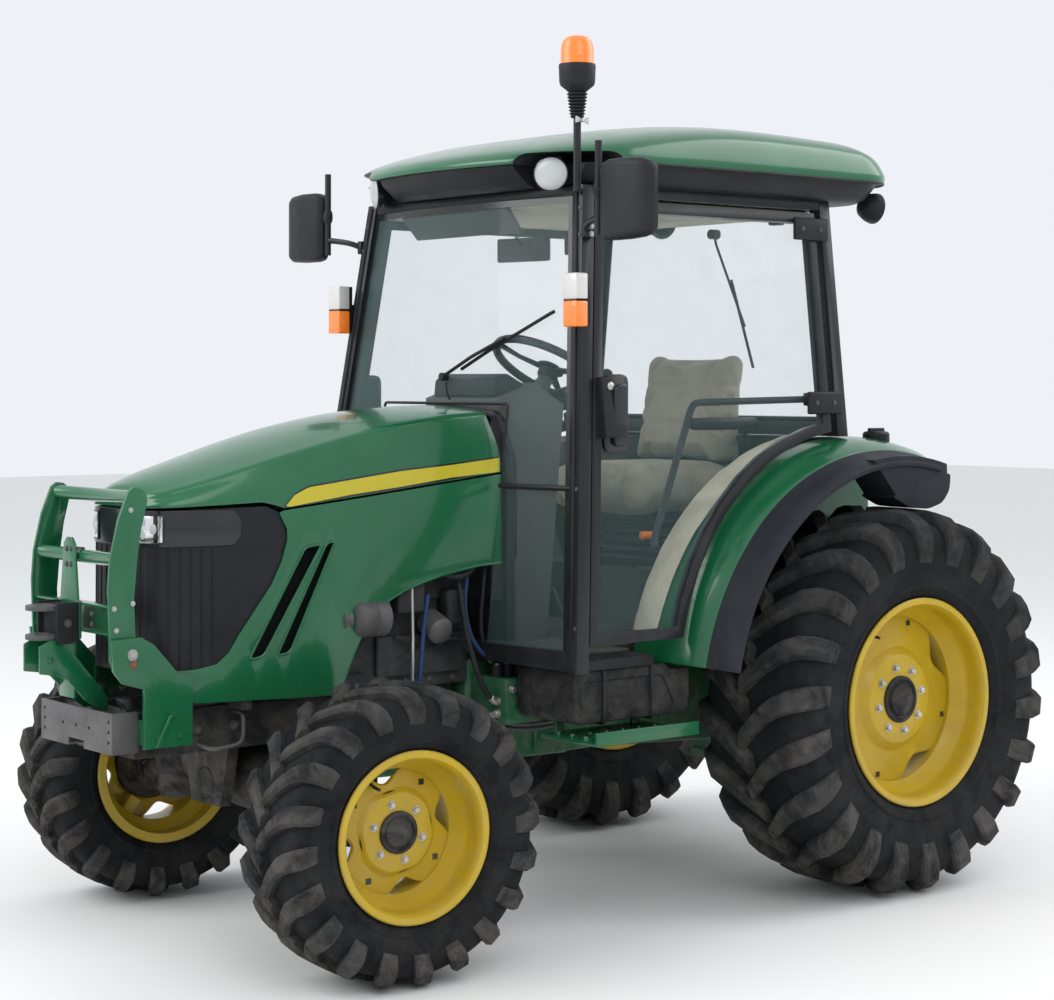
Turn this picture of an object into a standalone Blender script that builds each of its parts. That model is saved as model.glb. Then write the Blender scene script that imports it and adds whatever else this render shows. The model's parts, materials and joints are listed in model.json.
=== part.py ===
"""Farm tractor with a cab, as separate named sub-parts.

Metres. +X is forward, +Y is the tractor's left and +Z is up. The numbers below are measured from the
rear axle's centre line along X, and from the ground along Z; the empty "tractor" moves the whole
vehicle so that the origin lies on the ground, midway between its foremost and rearmost points.
"""

import math

import bmesh
import bpy
from mathutils import Matrix, Vector

# ---- driving dimensions -------------------------------------------------------------------------
WHEELBASE = 1.865
SEAT_GAP = 0.0003            # between pieces that rest on each other
RUNNING_GAP = 0.006          # between a lid or a door and what it closes on

REAR_RADIUS = 0.606          # rear tyre, loaded
REAR_WIDTH = 0.445
REAR_TRACK_HALF = 0.715      # rear tyre's middle plane
REAR_BEAD = 0.3048           # bead seat radius of a 24 inch rim
REAR_RIM_WIDTH = 0.400
REAR_DISC_Y = 0.823          # outer face of the rear disc
FRONT_RADIUS = 0.402
FRONT_WIDTH = 0.307
FRONT_TRACK_HALF = 0.686
FRONT_BEAD = 0.2096          # bead seat radius of a 16.5 inch rim
FRONT_RIM_WIDTH = 0.270
FRONT_DISC_Y = 0.7246
RIM_FLANGE = 0.022           # height of a rim flange over its bead seat
RIM_WALL = 0.007
DISC_WALL = 0.010
STEER_AT_REST = -6.0         # degrees about +Z, slightly to the right
KINGPIN_Y = 0.475
KINGPIN_RADIUS = 0.068
AXLE_BEAM_Z = 0.455

FRAME_HALF = 0.165           # outer faces of the front frame's rails
FRAME_LOW = 0.575
FRAME_HIGH = 0.700
FRAME_FRONT = 2.380
BELL_X = 1.250               # where the engine meets the clutch housing
AXLE_CASE_X = 0.150          # where the gearbox meets the rear axle case

HOOD_REAR = 1.190
HOOD_FRONT = 2.340
HOOD_SKIN = 0.006
LID_PIVOT_X = 1.225
LID_PIVOT_Z = 1.500
SKIRT_Z = 0.712

FLOOR_Z = 0.800
FLOOR_WALL = 0.030
CAB_LOW = 0.840              # where the cab's side plane is measured
CAB_LOW_Y = 0.700
CAB_TOP = 2.200
CAB_TOP_Y = 0.551
PILLAR = 0.046
A_PILLAR_LOW_X = 1.240       # front face of the front pillar, at CAB_LOW
A_PILLAR_TOP_X = 1.090
B_PILLAR_X = 0.080           # front face of the rear pillar
GLASS = 0.006
DOOR_WALL = 0.030
DOOR_BORDER = 0.034
HINGE_RADIUS = 0.011
HINGE_PIN = 0.006

ROOF_LOW = 2.266
ROOF_HALF = 0.640
ROOF_REAR = -0.250
ROOF_FRONT = 1.265

FENDER_RADIUS = 0.830
FENDER_WALL = 0.010
FENDER_INNER_Y = 0.470
FENDER_EDGE_Y = 0.745
FLARE_EDGE_Y = 0.872
FENDER_FRONT_ANGLE = 11.0
FENDER_REAR_ANGLE = 116.0

GUARD_HALF = 0.227
GUARD_PLATE = 0.010
GUARD_TUBE = 0.019
CLEVIS_FRONT = 2.620

LINK_PIVOT = (-0.100, 0.400)
LINK_HALF = 0.215
LINK_LENGTH = 0.800
LIFT_ARM = 0.340
ROCKER = (-0.120, 0.900)
LINK_AT_REST = -6.0          # degrees, the lower links' slope below level
LINK_PIN = 0.0125
LINK_BALL = 0.040
ARM_HALF = 0.185             # middle plane of a lift arm
ROCKER_SHAFT = 0.024

STEPS = 24
REAR_STEPS = 28              # round faces of the rear wheels

tractor = None


# ---- shape makers -------------------------------------------------------------------------------
def clear_scene():
    """Removes everything in the startup scene."""
    for obj in list(bpy.data.objects):
        bpy.data.objects.remove(obj, do_unlink=True)
    for mesh in list(bpy.data.meshes):
        bpy.data.meshes.remove(mesh)


def material(name, colour, roughness=0.5, metallic=0.0, alpha=1.0):
    """The named Principled material, made on its first use."""
    found = bpy.data.materials.get(name)
    if found:
        return found
    made = bpy.data.materials.new(name)
    made.use_nodes = True
    shader = made.node_tree.nodes["Principled BSDF"]
    shader.inputs["Base Color"].default_value = (*colour, 1.0)
    shader.inputs["Roughness"].default_value = roughness
    shader.inputs["Metallic"].default_value = metallic
    shader.inputs["Alpha"].default_value = alpha
    return made


def green():
    return material("green paint", (0.010, 0.150, 0.050), 0.28)


def yellow():
    return material("yellow paint", (0.780, 0.520, 0.020), 0.40)


def black():
    return material("black plastic", (0.016, 0.017, 0.019), 0.50)


def iron():
    return material("painted iron", (0.022, 0.024, 0.026), 0.60)


def rubber():
    return material("tyre rubber", (0.020, 0.020, 0.021), 0.85)


def glass():
    return material("tinted glass", (0.75, 0.85, 0.80), 0.04, 0.0, 0.3)


def steel():
    return material("grey steel", (0.120, 0.120, 0.125), 0.50, 0.6)


def fabric():
    return material("beige fabric", (0.330, 0.310, 0.230), 0.90)


def place(mesh, name, made_of, parent=None):
    """A mesh as a new object under its parent, shaded smooth up to its edges."""
    mesh.shade_smooth()
    mesh.set_sharp_from_angle(angle=math.radians(35))
    obj = bpy.data.objects.new(name, mesh)
    bpy.context.scene.collection.objects.link(obj)
    obj.parent = parent or tractor
    obj.data.materials.append(made_of)
    return obj


def finish_mesh(shape, name):
    """A bmesh as a mesh, with its faces turned outwards."""
    bmesh.ops.recalc_face_normals(shape, faces=shape.faces)
    mesh = bpy.data.meshes.new(name)
    shape.to_mesh(mesh)
    shape.free()
    return mesh


def stretch(outline, axis, low, high, name, made_of, parent=None):
    """An outline stretched along an axis. Its points are (y, z), (x, z) or (x, y)."""
    def point(pair, at):
        if axis == "X":
            return (at, pair[0], pair[1])
        if axis == "Y":
            return (pair[0], at, pair[1])
        return (pair[0], pair[1], at)

    shape = bmesh.new()
    face = shape.faces.new([shape.verts.new(point(pair, low)) for pair in outline])
    grown = bmesh.ops.extrude_face_region(shape, geom=[face])
    moved = [item for item in grown["geom"] if isinstance(item, bmesh.types.BMVert)]
    bmesh.ops.translate(shape, verts=moved, vec=Vector(point((0, 0), high - low)))
    return place(finish_mesh(shape, name), name, made_of, parent)


def box(low, high, name, made_of, parent=None):
    """A box between two corners, given in any order."""
    lo = [min(a, b) for a, b in zip(low, high)]
    hi = [max(a, b) for a, b in zip(low, high)]
    outline = [(lo[0], lo[1]), (hi[0], lo[1]), (hi[0], hi[1]), (lo[0], hi[1])]
    return stretch(outline, "Z", lo[2], hi[2], name, made_of, parent)


def loft(sections, name, made_of, parent=None):
    """A closed solid through sections that have the same number of points."""
    shape = bmesh.new()
    rings = [[shape.verts.new(point) for point in section] for section in sections]
    for first, second in zip(rings, rings[1:]):
        for i in range(len(first)):
            j = (i + 1) % len(first)
            shape.faces.new([first[i], first[j], second[j], second[i]])
    shape.faces.new(list(reversed(rings[0])))
    shape.faces.new(rings[-1])
    return place(finish_mesh(shape, name), name, made_of, parent)


def turned(profile, name, made_of, parent=None, steps=STEPS, axis="Y"):
    """A closed profile of (radius, along) points turned about an axis through the parent."""
    shape = bmesh.new()
    rings = []
    for step in range(steps):
        angle = 2 * math.pi * step / steps
        ring = []
        for radius, along in profile:
            across = (radius * math.cos(angle), radius * math.sin(angle))
            if axis == "Y":
                ring.append(shape.verts.new((across[0], along, across[1])))
            elif axis == "Z":
                ring.append(shape.verts.new((across[0], across[1], along)))
            else:
                ring.append(shape.verts.new((along, across[0], across[1])))
        rings.append(ring)
    for step in range(steps):
        first, second = rings[step], rings[(step + 1) % steps]
        for i in range(len(profile)):
            j = (i + 1) % len(profile)
            shape.faces.new([first[i], first[j], second[j], second[i]])
    bmesh.ops.remove_doubles(shape, verts=shape.verts, dist=1e-6)
    return place(finish_mesh(shape, name), name, made_of, parent)


def rod(start, end, radius, name, made_of, parent=None, sides=16, end_radius=None):
    """A round bar between two points, tapered where its end radius differs."""
    start, end = Vector(start), Vector(end)
    turn = (end - start).to_track_quat("Z", "Y").to_matrix()
    sections = []
    for centre, size in ((start, radius), (end, radius if end_radius is None else end_radius)):
        ring = []
        for step in range(sides):
            angle = 2 * math.pi * step / sides
            ring.append(centre + turn @ Vector((size * math.cos(angle), size * math.sin(angle), 0)))
        sections.append(ring)
    return loft(sections, name, made_of, parent)


def tube(points, radius, name, made_of, parent=None, resolution=2):
    """A bent bar along points, as a curve with a round bevel and filled caps."""
    curve = bpy.data.curves.new(name, "CURVE")
    curve.dimensions = "3D"
    curve.bevel_depth = radius
    curve.bevel_resolution = resolution
    curve.use_fill_caps = True
    line = curve.splines.new("POLY")
    line.points.add(len(points) - 1)
    for slot, point in zip(line.points, points):
        slot.co = (*point, 1.0)
    guide = bpy.data.objects.new(name + " guide", curve)
    mesh = bpy.data.meshes.new_from_object(guide)
    bpy.data.objects.remove(guide)
    shape = bmesh.new()
    shape.from_mesh(mesh)
    bmesh.ops.remove_doubles(shape, verts=shape.verts, dist=1e-5)
    bpy.data.meshes.remove(mesh)
    return place(finish_mesh(shape, name), name, made_of, parent)


def helper(obj):
    """Marks a shape that only cuts, joins or guides."""
    obj.hide_render = True
    obj.display_type = "WIRE"
    return obj


def combine(obj, tool, operation, solver="EXACT"):
    modifier = obj.modifiers.new(operation.lower() + " " + tool.name, "BOOLEAN")
    modifier.operation = operation
    modifier.object = helper(tool)
    modifier.solver = solver


def fuse(obj, *others, solver="EXACT"):
    """Joins shapes into the first one."""
    for other in others:
        combine(obj, other, "UNION", solver)
    return obj


def cut(obj, *tools):
    """Cuts shapes out of the first one."""
    for tool in tools:
        combine(obj, tool, "DIFFERENCE")
    return obj


def keep(obj, tool):
    """Keeps what lies inside the tool."""
    combine(obj, tool, "INTERSECT")
    return obj


def empty(name, place_at, turn=(0.0, 0.0, 0.0), parent=None):
    """A joint's place: pieces under it are modelled about the joint."""
    made = bpy.data.objects.new(name, None)
    bpy.context.scene.collection.objects.link(made)
    made.parent = parent or tractor
    made.location = place_at
    made.rotation_euler = turn
    return made


def arc(centre, radius, start, end, count):
    """Points on a circle, angles in degrees."""
    points = []
    for i in range(count + 1):
        angle = math.radians(start + (end - start) * i / count)
        points.append((centre[0] + radius * math.cos(angle), centre[1] + radius * math.sin(angle)))
    return points


def between(table, at):
    """Straight-line reading of a table of (place, value) rows in rising order."""
    if at <= table[0][0]:
        return table[0][1]
    for (x0, y0), (x1, y1) in zip(table, table[1:]):
        if at <= x1:
            return y0 + (y1 - y0) * (at - x0) / (x1 - x0)
    return table[-1][1]


def inset(outline, distance):
    """The outline moved inwards by a distance, corner by corner."""
    area = sum(a[0] * b[1] - b[0] * a[1] for a, b in zip(outline, outline[1:] + outline[:1]))
    side = 1.0 if area > 0 else -1.0
    moved = []
    for i, point in enumerate(outline):
        before = Vector(outline[i - 1])
        here = Vector(point)
        after = Vector(outline[(i + 1) % len(outline)])
        first = (here - before).normalized()
        second = (after - here).normalized()
        normal_1 = Vector((-first.y, first.x)) * side
        normal_2 = Vector((-second.y, second.x)) * side
        middle = (normal_1 + normal_2).normalized()
        moved.append(tuple(here + middle * (distance / max(0.3, middle.dot(normal_1)))))
    return moved


def sides():
    """(word, sign) for the left and the right side."""
    return (("left", 1.0), ("right", -1.0))


# ---- wheels, axles and steering -----------------------------------------------------------------
def tyre(name, radius, width, bead, rim_width, parent, steps):
    """A solid ring with round shoulders, seated on its rim."""
    half = width / 2
    seat = bead + SEAT_GAP
    grip = rim_width / 2 - 0.0125
    tread = half * 0.86
    right = [(seat, grip), (bead + RIM_FLANGE + 0.002, grip), (bead + 0.045, half * 0.95), (radius - 0.110, half),
             (radius - 0.045, half * 0.97), (radius - 0.012, tread), (radius, tread * 0.72)]
    profile = right + [(r, -y) for r, y in reversed(right)]
    return turned(profile, name, rubber(), parent, steps)


def rim(name, side, bead, width, disc_y, middle_y, bolt_radius, hub_in, hub_radius, parent, axle_y, steps):
    """A drop-centre rim and its dished disc, with a hub reaching inwards to the axle."""
    half = width / 2
    flange = bead + RIM_FLANGE
    well = bead - 0.035
    outer = [(flange, -half), (flange, -half + 0.008), (bead, -half + 0.012), (bead, -half + 0.060),
             (well, -half + 0.085), (well, half - 0.115), (bead, half - 0.070), (bead, half - 0.012),
             (flange, half - 0.008), (flange, half)]
    inner = [(bead - RIM_WALL, half), (bead - RIM_WALL, half - 0.063), (well - RIM_WALL, half - 0.108),
             (well - RIM_WALL, -half + 0.078), (bead - RIM_WALL, -half + 0.053), (bead - RIM_WALL, -half)]
    profile = [(r, side * (middle_y - axle_y + y)) for r, y in outer + inner]
    barrel = turned(profile, name, yellow(), parent, steps)
    face = side * (disc_y - axle_y)
    back = side * (disc_y - DISC_WALL - axle_y)
    edge = well - RIM_WALL / 2
    disc_profile = [(0.0, face), (bolt_radius + 0.035, face), (bolt_radius + 0.060, face - side * 0.028),
                    (edge, face - side * 0.028), (edge, back - side * 0.030), (bolt_radius + 0.052, back - side * 0.030),
                    (bolt_radius + 0.027, back), (hub_radius, back), (hub_radius, side * (hub_in - axle_y)),
                    (0.0, side * (hub_in - axle_y))]
    disc = turned(disc_profile, name + " disc", yellow(), parent, steps)
    return fuse(barrel, disc)


def make_rear_wheels():
    for word, side in sides():
        hub = empty("rear_wheel_axis_" + word, (0.0, side * REAR_TRACK_HALF, REAR_RADIUS))
        tyre("rear_tyre_" + word, REAR_RADIUS, REAR_WIDTH, REAR_BEAD, REAR_RIM_WIDTH, hub, REAR_STEPS)
        rim("rear_rim_" + word, side, REAR_BEAD, REAR_RIM_WIDTH, REAR_DISC_Y, REAR_TRACK_HALF,
            0.1016, 0.600 + SEAT_GAP, 0.075, hub, REAR_TRACK_HALF, REAR_STEPS)


def make_front_wheels():
    turn = math.radians(STEER_AT_REST)
    for word, side in sides():
        pin = empty("kingpin_" + word, (WHEELBASE, side * KINGPIN_Y, 0.0), (0.0, 0.0, turn))
        make_knuckle(word, side, pin)
        hub = empty("front_wheel_axis_" + word, (0.0, side * (FRONT_TRACK_HALF - KINGPIN_Y), FRONT_RADIUS), parent=pin)
        tyre("front_tyre_" + word, FRONT_RADIUS, FRONT_WIDTH, FRONT_BEAD, FRONT_RIM_WIDTH, hub, STEPS)
        rim("front_rim_" + word, side, FRONT_BEAD, FRONT_RIM_WIDTH, FRONT_DISC_Y, FRONT_TRACK_HALF,
            0.0775, 0.655 + SEAT_GAP, 0.055, hub, FRONT_TRACK_HALF, STEPS)


def make_knuckle(word, side, pin):
    """The final drive case: a round case on the kingpin, a hub tube and a steering arm."""
    case = turned([(0.0, 0.325), (0.050, 0.330), (KINGPIN_RADIUS, 0.360), (KINGPIN_RADIUS, 0.545),
                   (0.052, 0.560), (0.052, 0.585), (0.030, 0.592), (0.0, 0.592)],
                  "knuckle_" + word, iron(), pin, 32, "Z")
    hub = rod((0, 0, FRONT_RADIUS), (0, side * (0.655 - KINGPIN_Y), FRONT_RADIUS), 0.072,
              "knuckle hub " + word, iron(), pin, 28, 0.060)
    arm = stretch([(-0.020, -0.020 * side), (0.030, 0.045 * side), (-0.130, 0.045 * side * 0.2), (-0.165, -0.030 * side),
                   (-0.150, -0.060 * side), (-0.110, -0.055 * side)],
                  "Z", 0.372, 0.396, "steering arm " + word, iron(), pin)
    return fuse(case, hub, arm)


def make_front_axle():
    """A cast beam with its differential, pivoting fore and aft under the frame."""
    inner = KINGPIN_Y - KINGPIN_RADIUS + 0.03
    sections = []
    for y, half_x, half_z in ((-inner, 0.050, 0.055), (-0.300, 0.046, 0.050), (-0.150, 0.060, 0.062),
                              (-0.090, 0.105, 0.100), (0.060, 0.110, 0.105), (0.130, 0.062, 0.064),
                              (0.300, 0.046, 0.050), (inner, 0.050, 0.055)):
        ring = []
        for step in range(12):
            angle = 2 * math.pi * (step + 0.5) / 12
            ring.append((WHEELBASE + half_x * math.cos(angle), y, AXLE_BEAM_Z + half_z * math.sin(angle)))
        sections.append(ring)
    beam = loft(sections, "front_axle", iron())
    pivot = rod((WHEELBASE - 0.190, 0, AXLE_BEAM_Z), (WHEELBASE + 0.190, 0, AXLE_BEAM_Z), 0.045,
                "axle trunnion", iron(), sides=24)
    fuse(beam, pivot)
    for word, side in sides():
        cut(beam, rod((WHEELBASE, side * KINGPIN_Y, 0.2), (WHEELBASE, side * KINGPIN_Y, 0.8),
                      KINGPIN_RADIUS + 0.0008, "kingpin space " + word, iron(), sides=32))
    return beam


def make_frame():
    """Two rails, cross plates and the hangers that hold the front axle's trunnions."""
    rail_in = FRAME_HALF - 0.030
    rails = []
    for word, side in sides():
        rails.append(box((1.300, side * rail_in, FRAME_LOW), (FRAME_FRONT, side * FRAME_HALF, FRAME_HIGH),
                         "rail " + word, iron()))
    frame = rails[0]
    frame.name = "front_frame"
    front = box((FRAME_FRONT - 0.030, -FRAME_HALF, FRAME_LOW), (FRAME_FRONT, FRAME_HALF, FRAME_HIGH), "cross front", iron())
    middle = box((1.960, -FRAME_HALF, FRAME_LOW), (2.000, FRAME_HALF, FRAME_HIGH), "cross middle", iron())
    fuse(frame, rails[1], front, middle)
    for word, side in sides():
        reach = between(PLAN, 2.080) - HOOD_SKIN - SEAT_GAP
        fuse(frame, box((2.050, side * (FRAME_HALF - 0.020), FRAME_HIGH - 0.008), (2.080, side * reach, 0.740),
                        "panel bracket " + word, iron()))
    for at in (WHEELBASE - 0.170, WHEELBASE + 0.170):
        outline = [(-FRAME_HALF + 0.01, FRAME_HIGH - 0.01), (-0.080, AXLE_BEAM_Z - 0.060), (0.080, AXLE_BEAM_Z - 0.060),
                   (FRAME_HALF - 0.01, FRAME_HIGH - 0.01)]
        fuse(frame, stretch(outline, "X", at - 0.018, at + 0.018, "hanger", iron()))
    cut(frame, rod((1.5, 0, AXLE_BEAM_Z), (2.2, 0, AXLE_BEAM_Z), 0.045 + 0.0005, "trunnion space", iron(), sides=24))
    return frame


def make_engine_and_gearbox():
    """The engine as one plain block, and the clutch, gearbox and rear axle cases behind it."""
    block = box((BELL_X, -0.200, FRAME_HIGH + SEAT_GAP), (1.900, 0.200, 1.180), "engine_block", iron())
    fuse(block, box((BELL_X, -0.125, 0.500), (1.660, 0.125, FRAME_HIGH + 0.010), "sump", iron()))
    stations = ((AXLE_CASE_X + SEAT_GAP, 0.150, 0.440, 0.740), (0.200, 0.170, 0.420, 0.740), (0.700, 0.150, 0.440, 0.720),
                (0.950, 0.170, 0.440, 0.740), (1.150, 0.185, 0.470, 0.767 - SEAT_GAP), (BELL_X - SEAT_GAP, 0.190, 0.480, 0.767 - SEAT_GAP))
    loft([[(x, -w, low), (x, w, low), (x, w, high), (x, -w, high)] for x, w, low, high in stations],
         "transmission_case", iron())
    rear = box((-0.260, -0.150, 0.420), (AXLE_CASE_X, 0.150, 0.755), "rear_axle", iron())
    fuse(rear, box((-0.2605, -0.149, 0.600), (-0.010, 0.149, 0.930), "lift cover", iron()),
         rod((-0.400, 0, 0.560), (-0.250, 0, 0.560), 0.0175, "power take-off", iron()),
         box((-0.330, -0.110, 0.640), (-0.250, 0.110, 0.655), "shaft guard", iron()),
         box((-0.520, -0.035, 0.330), (0.100, 0.035, 0.360), "drawbar", iron()),
         box((-0.120, -0.050, 0.355), (0.090, 0.050, 0.430), "drawbar holder", iron()))
    place_at = empty("rear_axle_place", (0, 0, REAR_RADIUS))
    for word, side in sides():
        fuse(rear, turned([(0.0, side * 0.100), (0.145, side * 0.100), (0.145, side * 0.190), (0.105, side * 0.230),
                           (0.095, side * 0.540), (0.110, side * 0.550), (0.110, side * 0.600), (0.0, side * 0.600)],
                          "axle housing " + word, iron(), place_at, 28))
        fuse(rear, rod((LINK_PIVOT[0], side * 0.100, LINK_PIVOT[1]), (LINK_PIVOT[0], side * (LINK_HALF + 0.028), LINK_PIVOT[1]),
                       LINK_PIN, "link pin " + word, iron()),
             rod((LINK_PIVOT[0], side * 0.100, LINK_PIVOT[1]), (LINK_PIVOT[0], side * (LINK_HALF - 0.028), LINK_PIVOT[1]),
                 0.034, "link pin boss " + word, iron()),
             rod((ROCKER[0], side * 0.100, ROCKER[1]), (ROCKER[0], side * (ARM_HALF + 0.026), ROCKER[1]), ROCKER_SHAFT,
                 "rocker shaft " + word, iron()))
    return rear


# ---- hood, grille and front end -----------------------------------------------------------------
PLAN = ((1.19, 0.288), (1.50, 0.287), (1.75, 0.281), (1.92, 0.270), (2.04, 0.257), (2.14, 0.242), (2.22, 0.225),
        (2.28, 0.204), (2.318, 0.176), (2.337, 0.140))
CROWN = ((1.19, 1.540), (1.33, 1.538), (1.47, 1.531), (1.62, 1.514), (1.80, 1.481), (1.97, 1.437), (2.11, 1.396),
         (2.24, 1.358), (2.31, 1.333), (2.34, 1.318))
SHOULDER = ((1.19, 1.524), (1.41, 1.508), (1.63, 1.478), (1.91, 1.415), (2.04, 1.380), (2.20, 1.335), (2.31, 1.305),
            (2.34, 1.296))
SEAM = ((1.19, 1.339), (1.965, 1.254), (2.010, 1.274), (2.340, 1.262))


def hood_section(x, drop, shrink):
    """The hood across the tractor at x, from one lower edge over the crown to the other."""
    wide = between(PLAN, x) - shrink
    crown = between(CROWN, x) - shrink
    shoulder = between(SHOULDER, x) - shrink
    low = between(SEAM, x) - drop
    turn = wide - 0.046
    right = [(wide, low), (wide - 0.010, low + (shoulder - low) * 0.55), (wide - 0.022, shoulder - 0.022),
             (wide - 0.034, shoulder - 0.006), (turn - 0.008, shoulder + 0.002), (turn * 0.62, crown - 0.006),
             (turn * 0.30, crown - 0.001), (0.0, crown)]
    half = [(x, y, z) for y, z in right]
    return half + [(x, -y, z) for _, y, z in reversed(half[:-1])]


def make_hood():
    """The lid: the hood above its seam, hinged at its rear edge."""
    stations = [1.19, 1.30, 1.42, 1.55, 1.68, 1.80, 1.90, 1.965, 2.01, 2.08, 2.16, 2.22, 2.27, 2.31, 2.328, 2.34]
    skin = loft([hood_section(x, 0.0, 0.0) for x in stations], "hood", green())
    inside = [hood_section(x, 0.02, HOOD_SKIN) for x in stations[:-2]]
    space = loft([[(p[0] - 0.02, p[1], p[2]) for p in inside[0]]] + inside[1:], "hood space", green())
    cut(skin, space)
    notch = stretch([(1.10, 1.60), (HOOD_REAR + 0.050, 1.60), (HOOD_REAR + 0.040, 1.50), (HOOD_REAR + 0.012, 1.42),
                     (HOOD_REAR, 1.36), (HOOD_REAR, 1.30), (1.10, 1.30)], "Y", -0.5, 0.5, "hood rear edge", green())
    cut(skin, notch)
    for word, side in sides():
        lug = stretch([(LID_PIVOT_X - 0.016, LID_PIVOT_Z - 0.016), (LID_PIVOT_X + 0.030, LID_PIVOT_Z - 0.016),
                       (LID_PIVOT_X + 0.070, LID_PIVOT_Z + 0.033), (LID_PIVOT_X + 0.016, LID_PIVOT_Z + 0.033),
                       (LID_PIVOT_X - 0.016, LID_PIVOT_Z + 0.010)],
                      "Y", side * 0.105, side * 0.117, "hood lug " + word, green())
        fuse(skin, lug)
    cut(skin, rod((LID_PIVOT_X, -0.2, LID_PIVOT_Z), (LID_PIVOT_X, 0.2, LID_PIVOT_Z), 0.008 + 0.0004,
                  "hood pin space", green()))
    return skin


def wall_strip(outer, wall, x_start, wrap):
    """A strip in plan that follows the hood's side at a distance inside it, round the nose if wrap."""
    xs = [x_start] + [x for x, _ in PLAN if x > x_start + 0.01]
    outside = [(x, between(PLAN, x) - outer) for x in xs]
    if not wrap:
        return outside + [(x, y - wall) for x, y in reversed(outside)]
    nose = HOOD_FRONT - outer
    left = outside[:-1] + [(nose - 0.004, outside[-1][1]), (nose, outside[-1][1] - 0.040)]
    ring = left + [(x, -y) for x, y in reversed(left)]
    inner_left = [(min(x, nose - wall), y - wall) for x, y in left]
    inner = inner_left + [(x, -y) for x, y in reversed(inner_left)]
    return ring + list(reversed(inner))


GRILLE_EDGE = [(2.290, 0.812), (2.163, 0.827), (2.098, 0.906), (2.000, 1.040), (1.950, 1.164), (1.972, 1.236)]


def make_side_panels():
    """The fixed panels under the seam, with two slanted vents each."""
    for word, side in sides():
        edge = [(x - 0.003, z) for x, z in GRILLE_EDGE]
        seam = [(1.965, between(SEAM, 1.965) - RUNNING_GAP), (HOOD_REAR, between(SEAM, HOOD_REAR) - RUNNING_GAP)]
        arch = [(HOOD_REAR, 1.064), (1.341, 1.050), (1.489, 1.019), (1.598, 0.978), (1.669, 0.925), (1.722, 0.840),
                (1.757, 0.760), (1.790, SKIRT_Z), (2.320, SKIRT_Z + 0.012), (2.320, 0.795)]
        outline = edge + seam + arch
        strip = [(x, side * y) for x, y in wall_strip(0.0, HOOD_SKIN, HOOD_REAR, False)]
        panel = stretch(strip, "Z", 0.60, 1.45, "side_panel_" + word, green())
        keep(panel, stretch(outline, "Y", side * 0.10, side * 0.40, "side panel outline " + word, green()))
        for front, rear, top, low in (((2.065, 1.889), (2.022, 1.837), 1.147, 0.834), ((1.979, 1.820), (1.939, 1.793), 1.155, 0.840)):
            slot = [(front[0], low), (rear[0], low + 0.008), (rear[1], top), (front[1], top - 0.006)]
            cut(panel, stretch(slot, "Y", side * 0.10, side * 0.40, "vent " + word, green()))


def make_grille():
    """The dark screen round the nose under the lid, and the headlight band over it."""
    gap = HOOD_SKIN + SEAT_GAP
    top = 1.262 - RUNNING_GAP
    region = [(2.40, top - 0.004), (2.006, 1.262), (1.960, 1.240), (1.938, 1.164), (1.988, 1.034), (2.087, 0.900),
              (2.155, 0.817), (2.290, 0.800), (2.40, 0.798)]
    screen = stretch(wall_strip(gap, HOOD_SKIN, 1.925, True), "Z", 0.70, 1.40, "grille", black())
    keep(screen, stretch(region, "Y", -0.5, 0.5, "grille outline", black()))
    band = stretch(wall_strip(0.001, HOOD_SKIN + 0.003, 2.085, True), "Z", 1.155, 1.243, "headlight band", black())
    return fuse(screen, band)


def make_cowl():
    """The black bulkhead behind the hood, with the ears and the pin that carry the lid."""
    outline = [(-0.300, FLOOR_Z + SEAT_GAP), (0.300, FLOOR_Z + SEAT_GAP), (0.300, 1.330), (0.262, 1.490),
               (0.225, 1.518), (-0.225, 1.518), (-0.262, 1.490), (-0.300, 1.330)]
    wall = stretch(outline, "X", 1.145, 1.178, "cowl", black())
    fuse(wall, rod((LID_PIVOT_X, -0.135, LID_PIVOT_Z), (LID_PIVOT_X, 0.135, LID_PIVOT_Z), 0.008,
                   "hood pin", black()))
    for word, side in sides():
        inner = between(PLAN, HOOD_REAR) - HOOD_SKIN - SEAT_GAP
        fuse(wall, box((1.170, side * (inner - 0.012), 0.950), (1.222, side * inner, 1.310),
                       "cowl flange " + word, black()))
        ear = stretch([(1.160, 1.440), (LID_PIVOT_X + 0.014, LID_PIVOT_Z - 0.014), (LID_PIVOT_X + 0.014, LID_PIVOT_Z + 0.012),
                       (LID_PIVOT_X - 0.012, LID_PIVOT_Z + 0.012), (1.160, 1.505)],
                      "Y", side * 0.124, side * 0.136, "hood ear " + word, black())
        fuse(wall, ear)
    return wall


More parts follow.
